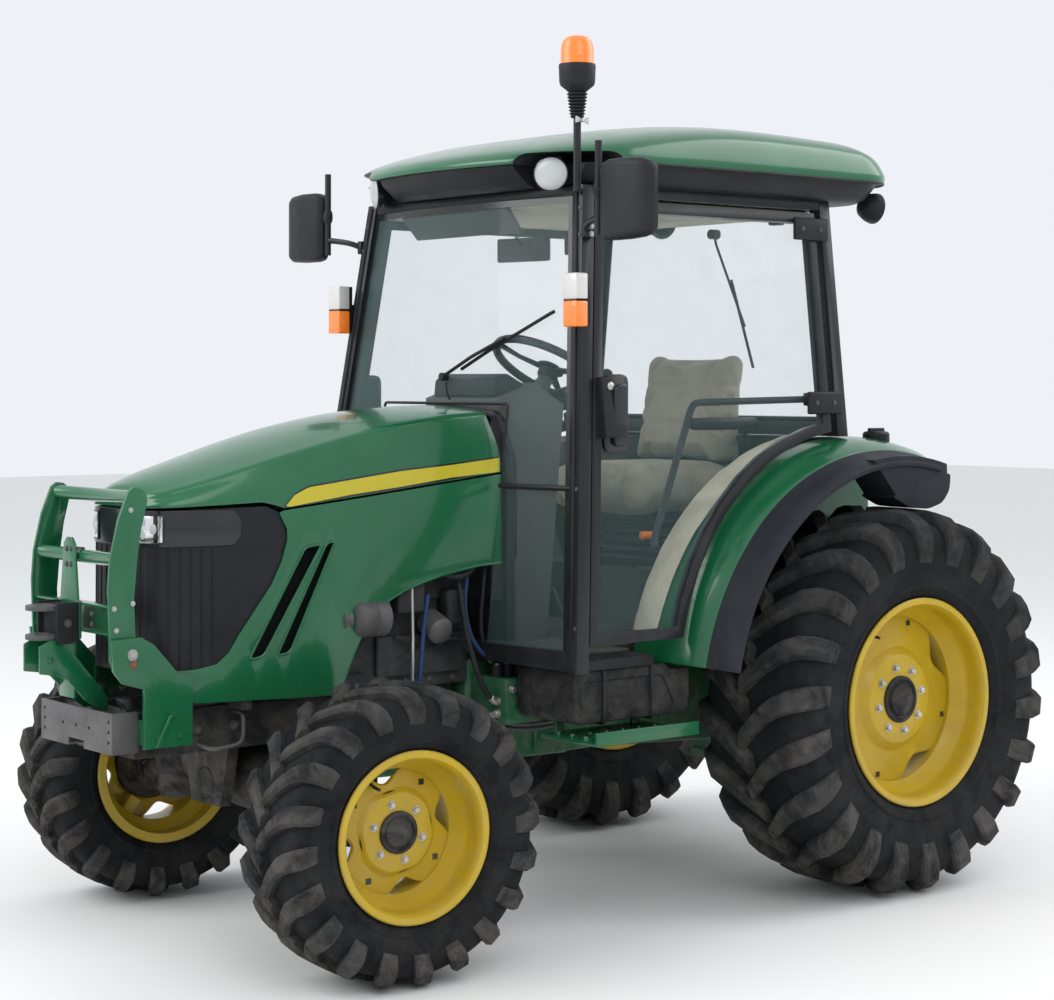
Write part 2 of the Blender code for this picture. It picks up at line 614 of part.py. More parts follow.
def make_guard():
    """Two curved plates and cross tubes in front of the grille."""
    plate = [(2.411, 0.925), (2.415, 1.020), (2.406, 1.128), (2.394, 1.209), (2.375, 1.285), (2.378, 1.308),
             (2.395, 1.322), (2.417, 1.325), (2.434, 1.313), (2.464, 1.238), (2.488, 1.132), (2.494, 1.051),
             (2.492, 0.960), (2.488, 0.860), (2.470, 0.815), (2.420, 0.810), (2.405, 0.850)]
    parts = []
    for word, side in sides():
        low = side * (GUARD_HALF - GUARD_PLATE)
        parts.append(stretch(plate, "Y", low, side * GUARD_HALF, "guard plate " + word, green()))
    guard = parts[0]
    guard.name = "hood_guard"
    reach = GUARD_HALF - GUARD_PLATE / 2
    top = rod((2.412, -reach, 1.297), (2.412, reach, 1.297), GUARD_TUBE, "guard tube top", green(), sides=20)
    middle = rod((2.462, -reach, 1.130), (2.462, reach, 1.130), GUARD_TUBE, "guard tube middle", green(), sides=20)
    channel = stretch([(2.445, 0.925), (2.485, 0.925), (2.485, 0.931), (2.451, 0.931), (2.451, 0.999), (2.485, 0.999),
                       (2.485, 1.005), (2.445, 1.005)], "Y", -reach, reach, "guard channel", green())
    return fuse(guard, parts[1], top, middle, channel)


def make_front_hitch():
    """Bracket plates on the frame's nose, joined by a deep cross beam."""
    gusset = [(2.492, 0.915), (2.400, 0.918), (2.359, 0.894), (2.287, 0.814), (2.239, 0.800), (2.239, 0.700),
              (2.239, 0.612), (2.390, 0.612), (2.390, 0.775), (2.457, 0.795), (2.484, 0.830)]
    parts = []
    inner = GUARD_HALF + SEAT_GAP
    for word, side in sides():
        parts.append(stretch(gusset, "Y", side * inner, side * (inner + 0.012), "gusset " + word, green()))
    hitch = parts[0]
    hitch.name = "front_hitch"
    beam = box((2.381 - 0.0007 + SEAT_GAP, -inner - 0.006, 0.622), (2.389, inner + 0.006, 0.690), "hitch beam", green())
    return fuse(hitch, parts[1], beam)


def make_clevis():
    """The pin coupler at the middle of the guard: a clamped plate, a block and two eye plates."""
    plate = stretch([(-0.030, 1.165), (0.030, 1.165), (0.050, 1.010), (0.062, 1.010), (0.062, 0.905), (-0.062, 0.905),
                     (-0.062, 1.010), (-0.050, 1.010)], "X", 2.4855, 2.4935, "front_clevis", green())
    block = box((2.492, -0.050, 0.905), (2.560, 0.050, 1.000), "clevis block", green())
    fuse(plate, block)
    for z in (0.985, 0.905):
        eye = [(2.50, -0.045)] + arc((CLEVIS_FRONT - 0.045, 0.0), 0.045, -90, 90, 12) + [(2.50, 0.045)]
        tongue = stretch(eye, "Z", z, z + 0.014, "eye plate", green())
        fuse(plate, tongue)
    cut(plate, rod((CLEVIS_FRONT - 0.045, 0, 0.8), (CLEVIS_FRONT - 0.045, 0, 1.1), 0.016, "clevis pin hole", green()))
    return plate


def make_bumper():
    """The open steel box in front of the frame."""
    outline = [(2.3893, 0.600), (2.470, 0.600), (2.470, 0.712), (2.3893, 0.712)]
    shell = stretch(outline, "Y", -0.205, 0.205, "front_bumper", steel())
    cut(shell, box((2.398, -0.197, 0.606), (2.462, 0.197, 0.800), "bumper space", steel()))
    cut(shell, box((2.440, -0.045, 0.590), (2.500, 0.045, 0.625), "bumper notch", steel()))
    return shell


# ---- cab ----------------------------------------------------------------------------------------
def side_y(z):
    """The cab's outer side plane at a height."""
    return CAB_LOW_Y + (CAB_TOP_Y - CAB_LOW_Y) * (z - CAB_LOW) / (CAB_TOP - CAB_LOW)


def a_pillar_x(z):
    """Front face of the front pillars at a height."""
    return A_PILLAR_LOW_X + (A_PILLAR_TOP_X - A_PILLAR_LOW_X) * (z - CAB_LOW) / (CAB_TOP - CAB_LOW)


def cab_tilt():
    """The angle at which the cab's sides lean inwards."""
    return math.atan2(CAB_LOW_Y - CAB_TOP_Y, CAB_TOP - CAB_LOW)


def pillar(front, low, high, name):
    """An upright in the side plane, between two heights, given its front face as a function of z."""
    sections = []
    for z in (low, high):
        x, y = front(z), side_y(z)
        sections.append([(x - PILLAR, y - PILLAR, z), (x, y - PILLAR, z), (x, y, z), (x - PILLAR, y, z)])
    return sections


def mirrored(sections, side):
    """Sections moved to one side of the tractor."""
    return [[(x, side * y, z) for x, y, z in ring] for ring in sections]


def make_cab_frame():
    """Four pillars, the ring under the roof, and the cross members that join them below."""
    rear = lambda z: B_PILLAR_X
    fender_top = REAR_RADIUS + math.sqrt(FENDER_RADIUS ** 2 - B_PILLAR_X ** 2)
    parts = []
    for word, side in sides():
        parts.append(loft(mirrored(pillar(a_pillar_x, FLOOR_Z - FLOOR_WALL, CAB_TOP, word), side), "front pillar " + word, black()))
        parts.append(loft(mirrored(pillar(rear, REAR_RADIUS + FENDER_RADIUS + SEAT_GAP, CAB_TOP, word), side), "rear pillar " + word, black()))
        low, high = CAB_TOP - 0.030, CAB_TOP
        rail = [[(x, side * (side_y(CAB_TOP) - PILLAR), low), (x, side * side_y(CAB_TOP), low), (x, side * side_y(CAB_TOP), high),
                 (x, side * (side_y(CAB_TOP) - PILLAR), high)] for x in (B_PILLAR_X - PILLAR + 0.004, A_PILLAR_TOP_X - 0.004)]
        parts.append(loft(rail, "top rail " + word, black()))
    half = side_y(CAB_TOP) - 0.01
    parts.append(box((A_PILLAR_TOP_X - PILLAR + 0.002, -half, CAB_TOP - 0.030), (A_PILLAR_TOP_X - 0.002, half, CAB_TOP - 0.002), "front header", black()))
    parts.append(box((B_PILLAR_X - PILLAR + 0.002, -half, CAB_TOP - 0.030), (B_PILLAR_X - 0.002, half, CAB_TOP - 0.002), "rear header", black()))
    foot = REAR_RADIUS + FENDER_RADIUS + 0.001
    wide = side_y(foot) - 0.01
    parts.append(box((B_PILLAR_X - PILLAR + 0.002, -wide, foot), (B_PILLAR_X - 0.002, wide, foot + 0.045), "rear cross member", black()))
    wide = side_y(FLOOR_Z) - 0.02
    parts.append(box((A_PILLAR_LOW_X - PILLAR + 0.006, -wide, FLOOR_Z - FLOOR_WALL + 0.001), (A_PILLAR_LOW_X - 0.006, wide, FLOOR_Z + 0.030), "front cross member", black()))
    frame = parts[0]
    frame.name = "cab_frame"
    fuse(frame, *parts[1:], solver="MANIFOLD")
    return frame


def make_floor():
    """The floor plate, narrow between the wheels, with the low rear wall and the seat's platform."""
    wide = side_y(FLOOR_Z) - PILLAR - 0.004
    narrow = FENDER_INNER_Y - FENDER_WALL - SEAT_GAP
    front = A_PILLAR_LOW_X - PILLAR + 0.006 - SEAT_GAP
    outline = [(0.000, -narrow), (0.900, -narrow), (0.900, -wide), (front, -wide), (front, wide), (0.900, wide),
               (0.900, narrow), (0.000, narrow)]
    top = FLOOR_Z
    floor = stretch(outline, "Z", 0.767, top, "cab_floor", black())
    wall = box((0.000, -narrow, 0.780), (0.020, narrow, 1.434), "rear wall", black())
    step = box((0.010, -narrow, 0.790), (0.480, narrow, 1.000), "seat platform", black())
    return fuse(floor, wall, step)


def make_windscreen():
    """One bowed pane between the front pillars, notched over the hood."""
    low, high = FLOOR_Z + 0.0305, CAB_TOP - 0.032
    rows, columns = 8, 16
    bow = 0.050

    def ring(z):
        half = side_y(z) - PILLAR - 0.0006
        outer, inner = [], []
        for i in range(columns + 1):
            y = half * (2 * i / columns - 1)
            x = a_pillar_x(z) - 0.010 + bow * (1 - (y / half) ** 2)
            outer.append((x, y, z))
            inner.append((x - GLASS, y, z))
        return outer + list(reversed(inner))

    pane = loft([ring(low + (high - low) * i / rows) for i in range(rows + 1)], "windscreen", glass())
    cut(pane, box((1.0, -0.318, 0.5), (1.5, 0.318, 1.546), "hood notch", glass()))
    return pane


def make_rear_window():
    """A flat pane between the rear pillars."""
    low, high = REAR_RADIUS + FENDER_RADIUS + 0.0465, CAB_TOP - 0.0305
    x = B_PILLAR_X - PILLAR / 2
    sections = []
    for z in (low, high):
        half = side_y(z) - PILLAR - 0.0006
        sections.append([(x - GLASS, -half, z), (x, -half, z), (x, half, z), (x - GLASS, half, z)])
    return loft(sections, "rear_window", glass())


HINGE_X = 0.092
HINGE_HEIGHTS = (1.545, 2.105)
DOOR_LOW = 0.848
DOOR_HIGH = 2.160
DOOR_OVER_FENDER = 0.024


def door_outline():
    """The door's edge in its own plane: (forward of the hinge axis, along the axis from CAB_LOW)."""
    lean = math.cos(cab_tilt())
    reach = FENDER_RADIUS + DOOR_OVER_FENDER
    start = math.degrees(math.asin((DOOR_LOW - REAR_RADIUS) / reach))
    rear_x = HINGE_X + 0.014
    stop = math.degrees(math.acos(rear_x / reach))
    points = [(a_pillar_x(DOOR_HIGH) - PILLAR - RUNNING_GAP, DOOR_HIGH), (a_pillar_x(DOOR_LOW) - PILLAR - RUNNING_GAP, DOOR_LOW)]
    points = [(rear_x, DOOR_HIGH)] + points + arc((0.0, REAR_RADIUS), reach, start, stop, 9)
    return [(x - HINGE_X, (z - CAB_LOW) / lean) for x, z in points]


def hinge_place(word, side):
    """An empty on the hinge axis: its Z runs up the axis, which leans with the cab's side."""
    found = bpy.data.objects.get("door_hinge_" + word)
    if found:
        return found
    return empty("door_hinge_" + word, (HINGE_X, side * (CAB_LOW_Y + 0.004), CAB_LOW), (side * cab_tilt(), 0.0, 0.0))


def make_doors():
    """Rear-hinged doors: a slim frame, its pane, two hinge straps and a handle."""
    lean = math.cos(cab_tilt())
    outline = door_outline()
    hole = inset(outline, DOOR_BORDER)
    pane = inset(outline, DOOR_BORDER + 0.0004)
    for word, side in sides():
        hinge = hinge_place(word, side)
        outer, inner = -side * 0.006, -side * (0.006 + DOOR_WALL)
        door = stretch(outline, "Y", inner, outer, "door_" + word, black(), hinge)
        cut(door, stretch(hole, "Y", -0.1, 0.1, "door opening " + word, black(), hinge))
        for height in HINGE_HEIGHTS:
            at = (height - CAB_LOW) / lean
            strap = box((0.0, -side * 0.010, at - 0.014), (0.100, side * 0.003, at + 0.014), "hinge strap", black(), hinge)
            barrel = rod((0, 0, at - 0.014), (0, 0, at + 0.014), HINGE_RADIUS, "hinge barrel", black(), hinge)
            fuse(door, strap, barrel)
        bore = rod((0, 0, 0.5), (0, 0, 1.5), HINGE_PIN + 0.0004, "hinge bore", black(), hinge)
        cut(door, bore)
        grip = box((0.915, -side * 0.010, 0.610), (1.000, side * 0.022, 0.790), "door handle", black(), hinge)
        fuse(door, grip)
        middle = (outer + inner) / 2
        stretch(pane, "Y", middle - GLASS / 2, middle + GLASS / 2, "door_glass_" + word, glass(), hinge)


def add_hinge_pins(frame):
    """The pins on the rear pillars that the doors turn on, each on two ears."""
    lean = math.cos(cab_tilt())
    for word, side in sides():
        hinge = hinge_place(word, side)
        for height in HINGE_HEIGHTS:
            at = (height - CAB_LOW) / lean
            pin = rod((0, 0, at - 0.030), (0, 0, at + 0.030), HINGE_PIN, "hinge pin", black(), hinge)
            fuse(frame, pin, solver="MANIFOLD")
            for low in (at - 0.030, at + 0.018):
                fuse(frame, box((-0.030, -side * 0.016, low), (HINGE_PIN, side * 0.006, low + 0.012), "hinge ear", black(), hinge),
                     solver="MANIFOLD")


def rounded(half_x0, half_x1, half_y, radius, z, count=5):
    """A rectangle with round corners, from half_x0 to half_x1 along X."""
    ring = []
    for cx, cy, start in ((half_x1 - radius, half_y - radius, 0), (half_x0 + radius, half_y - radius, 90),
                          (half_x0 + radius, -half_y + radius, 180), (half_x1 - radius, -half_y + radius, 270)):
        ring += [(x, y, z) for x, y in arc((cx, cy), radius, start, start + 90, count)]
    return ring


def make_roof():
    """The dark liner on the cab's top ring, and the green shell over it, crowned and drooping forward."""
    liner_low, liner_high = CAB_TOP + SEAT_GAP, ROOF_LOW - SEAT_GAP
    loft([rounded(-0.170, 1.170, ROOF_HALF - 0.050, 0.14, liner_low), rounded(-0.225, 1.235, ROOF_HALF - 0.022, 0.17, liner_high)],
         "roof_liner", black())
    levels = ((0.0, 0.000, 0.19), (0.030, -0.003, 0.19), (0.070, 0.010, 0.19), (0.100, 0.032, 0.18), (0.124, 0.075, 0.17),
              (0.142, 0.150, 0.15), (0.156, 0.270, 0.12))
    rings = []
    for rise, shrink, corner in levels:
        ring = rounded(ROOF_REAR + shrink * 0.8, ROOF_FRONT - shrink, ROOF_HALF - shrink, corner, ROOF_LOW)
        rings.append([(x, y, z + rise * roof_profile(x)) for x, y, z in ring])
    return loft(rings, "roof", green())


def roof_profile(x):
    """How thick the roof is at x, against its thickest: it droops towards the front and a little at the rear."""
    return between(((-0.25, 0.72), (-0.10, 0.92), (0.15, 1.02), (0.50, 1.03), (0.90, 0.80), (1.10, 0.58), (1.27, 0.36)), x)


def make_cab_inside():
    """Dashboard, steering wheel, seat and the right-hand console."""
    dash = stretch([(0.930, FLOOR_Z + SEAT_GAP), (1.110, FLOOR_Z + SEAT_GAP), (1.120, 1.560), (0.980, 1.610), (0.860, 1.540),
                    (0.880, 1.360)], "Y", -0.190, 0.190, "dashboard", material("grey plastic", (0.10, 0.10, 0.10), 0.6))
    lean = math.radians(WHEEL_LEAN)
    hub = empty("steering_axis", WHEEL_CENTRE, (0.0, -lean, 0.0))
    column = rod((0, 0, -0.200), (0, 0, -0.030), 0.026, "steering column", black(), hub)
    fuse(dash, column)
    ring = [(WHEEL_RADIUS + 0.014 * math.cos(math.radians(a)), 0.014 * math.sin(math.radians(a))) for a in range(0, 360, 60)]
    wheel = turned(ring, "steering_wheel", black(), hub, 24, "Z")
    boss = rod((0, 0, -0.030 + SEAT_GAP), (0, 0, 0.006), 0.034, "wheel boss", black(), hub)
    fuse(wheel, boss)
    for turn in (90, 210, 330):
        angle = math.radians(turn)
        out = WHEEL_RADIUS
        fuse(wheel, rod((0.02 * math.cos(angle), 0.02 * math.sin(angle), -0.010), (out * math.cos(angle), out * math.sin(angle), 0.0),
                        0.010, "wheel spoke", black(), hub, 8))
    base = stretch([(0.120, 1.0003), (0.440, 1.0003), (0.480, 1.195), (0.080, 1.195)], "Y", -0.170, 0.170, "seat_base", black())
    loft([rounded(0.110, 0.600, 0.235, 0.05, 1.1953), rounded(0.090, 0.620, 0.245, 0.06, 1.240), rounded(0.100, 0.610, 0.240, 0.06, 1.330)],
         "seat_cushion", fabric())
    back = [(0.095, 1.3303), (0.215, 1.3303), (0.190, 1.500), (0.145, 1.700), (0.105, 1.730), (0.065, 1.700)]
    stretch(back, "Y", -0.230, 0.230, "seat_back", fabric())
    console = stretch([(0.060, 1.0003), (0.470, 1.0003), (0.600, 1.330), (0.560, 1.400), (0.240, 1.430), (0.060, 1.420)],
                      "Y", -0.450, -0.270, "console_right", black())
    fuse(console, rod((0.480, -0.360, 1.390), (0.500, -0.360, 1.560), 0.012, "joystick", black()),
         rod((0.498, -0.360, 1.540), (0.505, -0.360, 1.620), 0.022, "joystick grip", black(), end_radius=0.016))
    return base


WHEEL_CENTRE = (0.760, 0.0, 1.650)
WHEEL_LEAN = 32.0
WHEEL_RADIUS = 0.190


# ---- fenders, steps, lamps and mirrors ------------------------------------------------------------
def make_fenders():
    """Green arched fenders over the rear wheels, each with an inner wall and a black flare."""
    centre = (0.0, REAR_RADIUS)
    start, stop = FENDER_FRONT_ANGLE, FENDER_REAR_ANGLE
    for word, side in sides():
        def ring(radius, y, wall=FENDER_WALL):
            outer = arc(centre, radius, start, stop, 18)
            inner = arc(centre, radius - wall, start, stop, 18)
            return [(x, side * y, z) for x, z in outer + list(reversed(inner))]

        edge = FENDER_RADIUS - 0.014
        shell = loft([ring(FENDER_RADIUS, FENDER_INNER_Y - FENDER_WALL + 0.002), ring(FENDER_RADIUS, 0.690), ring(FENDER_RADIUS - 0.004, 0.725),
                      ring(edge, FENDER_EDGE_Y)], "fender_" + word, green())
        rim_points = arc(centre, FENDER_RADIUS - 0.002, start, stop, 18)
        wall = rim_points + [(rim_points[-1][0], rim_points[0][1])]
        fuse(shell, stretch(wall, "Y", side * (FENDER_INNER_Y - FENDER_WALL), side * FENDER_INNER_Y, "fender wall " + word, green()))
        lip = edge - 0.001
        flare = loft([ring(lip, FENDER_EDGE_Y + SEAT_GAP, 0.014), ring(lip - 0.006, 0.800, 0.014), ring(lip - 0.022, 0.850, 0.014),
              ring(lip - 0.046, FLARE_EDGE_Y, 0.016)], "fender_flare_" + word, rubber())
        lamp = arc(centre, FENDER_RADIUS - 0.030, 92, 113, 5) + [(-0.330, 1.215), (-0.200, 1.240), (-0.080, 1.262)]
        fuse(flare, stretch(lamp, "Y", side * (FENDER_EDGE_Y + 0.004), side * 0.850, "rear lamp " + word, black()))


def make_steps():
    """The tank under the cab's floor on each side, and the green step hung below it."""
    for word, side in sides():
        tank = stretch([(0.760, 0.610), (1.190, 0.610), (1.200, 0.640), (1.200, 0.7667), (0.835, 0.7667), (0.820, 0.748),
                        (0.740, 0.748), (0.740, 0.640)],
                       "Y", side * 0.375, side * 0.640, "tank_" + word, black())
        step = box((0.790, side * 0.480, 0.560), (1.195, side * 0.735, 0.572), "step_" + word, green())
        for x in (0.830, 1.130):
            hanger = box((x, side * 0.500, 0.566), (x + 0.030, side * 0.512, 0.610 - SEAT_GAP), "step hanger", green())
            fuse(step, hanger)
        lip = box((0.790, side * 0.723, 0.560), (1.195, side * 0.735, 0.600), "step lip", green())
        fuse(step, lip)
        if side < 0:
            continue
        valves = box((1.095, 0.1893, 0.585), (1.230, 0.360, 0.720), "valve_block", green())
        cylinder = rod((1.100, 0.300, 0.645), (0.960, 0.300, 0.645), 0.030, "valve cylinder", green())
        fuse(valves, cylinder)
    

def make_mirrors(frame):
    """Bent arms on the front pillars, each with a mirror head and a turn signal."""
    for word, side in sides():
        foot = (a_pillar_x(2.06) - 0.012, side * (side_y(2.06) + 0.010), 2.060)
        route = [foot, (1.125, side * 0.605, 2.120), (1.145, side * 0.640, 2.190), (1.150, side * 0.690, 2.210), (1.155, side * 0.722, 2.195),
                 (1.155, side * 0.724, 2.060)]
        arm = tube(route, 0.010, "mirror_" + word, black())
        head = loft(mirrored([[(1.140, 0.716, 2.035), (1.168, 0.716, 2.035), (1.168, 0.716, 2.235), (1.140, 0.716, 2.235)],
                              [(1.125, 0.760, 2.020), (1.185, 0.760, 2.020), (1.185, 0.760, 2.255), (1.125, 0.760, 2.255)],
                              [(1.125, 0.890, 2.025), (1.180, 0.890, 2.025), (1.180, 0.890, 2.250), (1.125, 0.890, 2.250)],
                              [(1.130, 0.930, 2.050), (1.155, 0.930, 2.050), (1.155, 0.930, 2.225), (1.130, 0.930, 2.225)]], side),
                    "mirror head " + word, black())
        clamp = box((a_pillar_x(2.06) - 0.040, side * (side_y(2.045) + 0.0006), 2.045), (a_pillar_x(2.06) + 0.006, side * (side_y(2.045) + 0.022), 2.080),
                    "mirror clamp " + word, black())
        fuse(arm, head, clamp)
        x = a_pillar_x(1.850)
        y = side_y(1.850)
        lamp = box((x + 0.008, side * (y - 0.010), 1.775), (x + 0.060, side * (y + 0.052), 1.930), "signal lamp " + word, black())
        stem = box((x - 0.020, side * (y - 0.008), 1.840), (x + 0.020, side * (y + 0.016), 1.870), "signal bracket " + word, black())
        fuse(frame, lamp, stem, solver="MANIFOLD")


def make_beacon():
    """The flashing lamp on its post, clamped to the left front pillar."""
    x, y = 1.200, 0.655
    post = rod((x, y, 2.165), (x, y, 2.400), 0.011, "beacon", black())
    foot = rod((a_pillar_x(2.185) + 0.0073, 0.535, 2.185), (x, y, 2.185), 0.009, "beacon foot", black())
    stem = rod((x, y, 2.385), (x, y, 2.470), 0.022, "beacon stem", black(), end_radius=0.030)
    dome = turned([(0.0, 2.462), (0.050, 2.466), (0.054, 2.500), (0.051, 2.530), (0.049, 2.585), (0.036, 2.612), (0.0, 2.620)],
                  "beacon dome", black(), empty("beacon_axis", (x, y, 0.0)), 24, "Z")
    return fuse(post, foot, stem, dome)


# ---- rear linkage -------------------------------------------------------------------------------
def make_rear_linkage():
    """Lower links and lift arms of equal swing, so that the lift rods between them stay parallel."""
    slope = (0.0, math.radians(LINK_AT_REST), 0.0)
    back = Matrix.Rotation(slope[1], 3, "Y") @ Vector((-LIFT_ARM, 0.0, 0.0))
    for word, side in sides():
        pivot = empty("link_pivot_" + word, (LINK_PIVOT[0], side * LINK_HALF, LINK_PIVOT[1]), slope)
        link = box((-LINK_LENGTH, side * 0.009, -0.028), (0.0, -side * 0.009, 0.028), "lower_link_" + word, iron(), pivot)
        fuse(link, rod((0, 0.020, 0), (0, -0.020, 0), 0.040, "link eye", iron(), pivot, 24),
             rod((-LINK_LENGTH, 0.022, 0), (-LINK_LENGTH, -0.022, 0), LINK_BALL, "link ball", iron(), pivot, 24))
        inward = -side * (LINK_HALF - ARM_HALF)
        fuse(link, rod((-LIFT_ARM, 0, 0), (-LIFT_ARM, inward - side * 0.012, 0), 0.010, "rod pin", iron(), pivot))
        cut(link, rod((0, -0.1, 0), (0, 0.1, 0), LINK_PIN + 0.0004, "link bore", iron(), pivot),
            rod((-LINK_LENGTH, -0.1, 0), (-LINK_LENGTH, 0.1, 0), 0.011, "ball bore", iron(), pivot))
        rocker = empty("rocker_" + word, (ROCKER[0], side * ARM_HALF, ROCKER[1]), slope)
        arm = box((-LIFT_ARM, side * 0.034, -0.022), (0.0, side * 0.016, 0.022), "lift_arm_" + word, iron(), rocker)
        fuse(arm, rod((0, -0.020, 0), (0, 0.020, 0), 0.045, "arm eye", iron(), rocker, 24),
             box((-0.060, -0.020, -0.022), (0.0, 0.034 * side, 0.022), "arm root", iron(), rocker),
             rod((-LIFT_ARM, side * 0.034, 0), (-LIFT_ARM, -side * 0.010, 0), 0.010, "arm pin", iron(), rocker))
        cut(arm, rod((0, -0.1, 0), (0, 0.1, 0), ROCKER_SHAFT + 0.0010, "arm bore", iron(), rocker))
        low = Vector((LINK_PIVOT[0], side * ARM_HALF, LINK_PIVOT[1])) + back
        high = Vector((ROCKER[0], side * ARM_HALF, ROCKER[1])) + back
        top = empty("rod_top_" + word, high)
        drop = low - high
        bar = rod((0, 0, 0), drop, 0.011, "lift_rod_" + word, iron(), top)
        for end in (Vector((0, 0, 0)), drop):
            fuse(bar, rod(end + Vector((0, -0.008, 0)), end + Vector((0, 0.008, 0)), 0.024, "rod eye", iron(), top, 20))
        for end in (Vector((0, 0, 0)), drop):
            cut(bar, rod(end + Vector((0, -0.05, 0)), end + Vector((0, 0.05, 0)), 0.010 + 0.0006, "rod bore", iron(), top))


def build():
    """Makes the tractor's sub-parts in order."""
    make_frame()
    make_front_axle()
    make_engine_and_gearbox()
    make_rear_wheels()
    make_front_wheels()
    make_hood()
    make_side_panels()
    make_grille()
    make_cowl()
    make_guard()
    make_front_hitch()
    make_clevis()
    make_bumper()
    frame = make_cab_frame()
    add_hinge_pins(frame)
    make_floor()
    make_windscreen()
    make_rear_window()
    make_doors()
    make_roof()
    make_cab_inside()
    make_fenders()
    make_steps()
    make_mirrors(frame)
    make_beacon()
    make_rear_linkage()


clear_scene()
rear_end = LINK_PIVOT[0] - LINK_LENGTH * math.cos(math.radians(LINK_AT_REST)) - LINK_BALL
tractor = empty("tractor", (-(CLEVIS_FRONT + rear_end) / 2, 0.0, 0.0))
build()
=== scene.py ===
"""Looks of a farm tractor with a cab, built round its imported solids.

Laid out as an add-on and run as a script. Points are in metres: X ahead of the rear axle, Y to the
tractor's left and Z up from the ground; dress() moves each finished piece to the row's origin.
"""
import json
import math

import bpy
from bpy.props import FloatProperty, FloatVectorProperty, IntProperty, PointerProperty
from mathutils import Matrix, Vector, noise

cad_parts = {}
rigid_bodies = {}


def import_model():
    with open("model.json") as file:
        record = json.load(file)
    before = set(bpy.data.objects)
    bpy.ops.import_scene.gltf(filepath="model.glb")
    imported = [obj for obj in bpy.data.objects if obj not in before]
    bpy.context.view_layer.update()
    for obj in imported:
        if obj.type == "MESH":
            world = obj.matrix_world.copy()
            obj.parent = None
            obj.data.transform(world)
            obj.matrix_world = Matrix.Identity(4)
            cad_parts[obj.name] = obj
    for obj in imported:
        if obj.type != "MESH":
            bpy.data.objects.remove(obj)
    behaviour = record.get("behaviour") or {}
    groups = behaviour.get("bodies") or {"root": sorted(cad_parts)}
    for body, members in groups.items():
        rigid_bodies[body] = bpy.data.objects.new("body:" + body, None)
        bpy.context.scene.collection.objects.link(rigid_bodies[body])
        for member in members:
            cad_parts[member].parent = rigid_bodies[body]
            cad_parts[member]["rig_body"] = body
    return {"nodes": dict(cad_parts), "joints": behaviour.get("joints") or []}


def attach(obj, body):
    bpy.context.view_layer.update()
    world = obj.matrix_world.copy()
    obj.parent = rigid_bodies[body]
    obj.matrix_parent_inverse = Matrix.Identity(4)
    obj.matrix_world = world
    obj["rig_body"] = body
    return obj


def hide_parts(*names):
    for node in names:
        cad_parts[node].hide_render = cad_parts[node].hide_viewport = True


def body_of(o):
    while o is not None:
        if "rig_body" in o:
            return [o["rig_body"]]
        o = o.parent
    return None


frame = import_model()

bl_info = {
    "name": "Cab tractor",
    "version": (1, 0, 0),
    "blender": (4, 5, 0),
    "location": "3D View > Sidebar > Tractor",
    "description": "Models the outer looks of a cab tractor, piece by piece",
    "category": "Add Mesh",
}

JOINTS = {joint["name"]: joint for joint in frame["joints"]}
AXLE_X = JOINTS["rear_wheel_spin_left"]["pos_m"][0]
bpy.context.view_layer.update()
SIDES = (("left", 1.0), ("right", -1.0))


# ---- sizes and colours a user may change ---------------------------------------------------------
class TractorPaint(bpy.types.PropertyGroup):
    """Colours of the painted and moulded surfaces."""

    # Default darker than the enamel's own colour: painted shade, standing in for the shade on the body's side
    # that faces the camera.
    green: FloatVectorProperty(
        name="Body green", description="Enamel on the sheet metal", subtype="COLOR", size=3,
        min=0.0, max=1.0, default=(0.006, 0.105, 0.04))
    # Default darker than the rims' own enamel: painted shade, matching the shade on the rims' faces.
    yellow: FloatVectorProperty(
        name="Wheel yellow", description="Enamel on the rims and the hood's stripe", subtype="COLOR", size=3,
        min=0.0, max=1.0, default=(0.47, 0.315, 0.007))
    black: FloatVectorProperty(
        name="Trim black", description="Moulded trim and painted cab frame", subtype="COLOR", size=3,
        min=0.0, max=1.0, default=(0.014, 0.015, 0.018))
    cloth: FloatVectorProperty(
        name="Seat cloth", description="Woven cover of the seat", subtype="COLOR", size=3,
        min=0.0, max=1.0, default=(0.3, 0.285, 0.215))
    dust: FloatVectorProperty(
        name="Dust", description="Dry dust on treads, steps and castings", subtype="COLOR", size=3,
        min=0.0, max=1.0, default=(0.26, 0.235, 0.2))


class TractorTread(bpy.types.PropertyGroup):
    """The tyres' bars and the wheels' bolts."""

    rear_bars: IntProperty(name="Rear bars", description="Bars on each side of a rear tyre", default=22,
        min=8, max=40)
    front_bars: IntProperty(name="Front bars", description="Bars on each side of a front tyre", default=20,
        min=8, max=40)
    rear_height: FloatProperty(
        name="Rear bar height", description="Height of a bar over the carcass", default=0.034, unit="LENGTH")
    front_height: FloatProperty(
        name="Front bar height", description="Height of a bar over the carcass", default=0.026, unit="LENGTH")
    rear_bolts: IntProperty(name="Rear bolts", description="Bolts on a rear disc", default=8, min=4, max=12)
    front_bolts: IntProperty(name="Front bolts", description="Bolts on a front disc", default=6, min=4,
        max=12)


class TractorTrim(bpy.types.PropertyGroup):
    """Small parts that a user may restyle."""

    slats: IntProperty(name="Grille slats", description="Upright slats round the nose", default=22, min=8,
        max=80)
    glass_edge: FloatProperty(
        name="Glass band", description="Width of the dark band round each pane", default=0.014, unit="LENGTH")
    cushion_swell: FloatProperty(
        name="Cushion swell", description="Most that a cushion's cover may move out", default=0.022,
        unit="LENGTH")


# ---- selection and finishing ---------------------------------------------------------------------
def only(*pieces):
    """Selects these pieces alone, the first one active."""
    bpy.ops.object.select_all(action="DESELECT")
    for piece in pieces:
        piece.select_set(True)
    bpy.context.view_layer.objects.active = pieces[0]


def named(name):
    """The piece just added, under its name."""
    piece = bpy.context.view_layer.objects.active
    piece.name = piece.data.name = name
    return piece


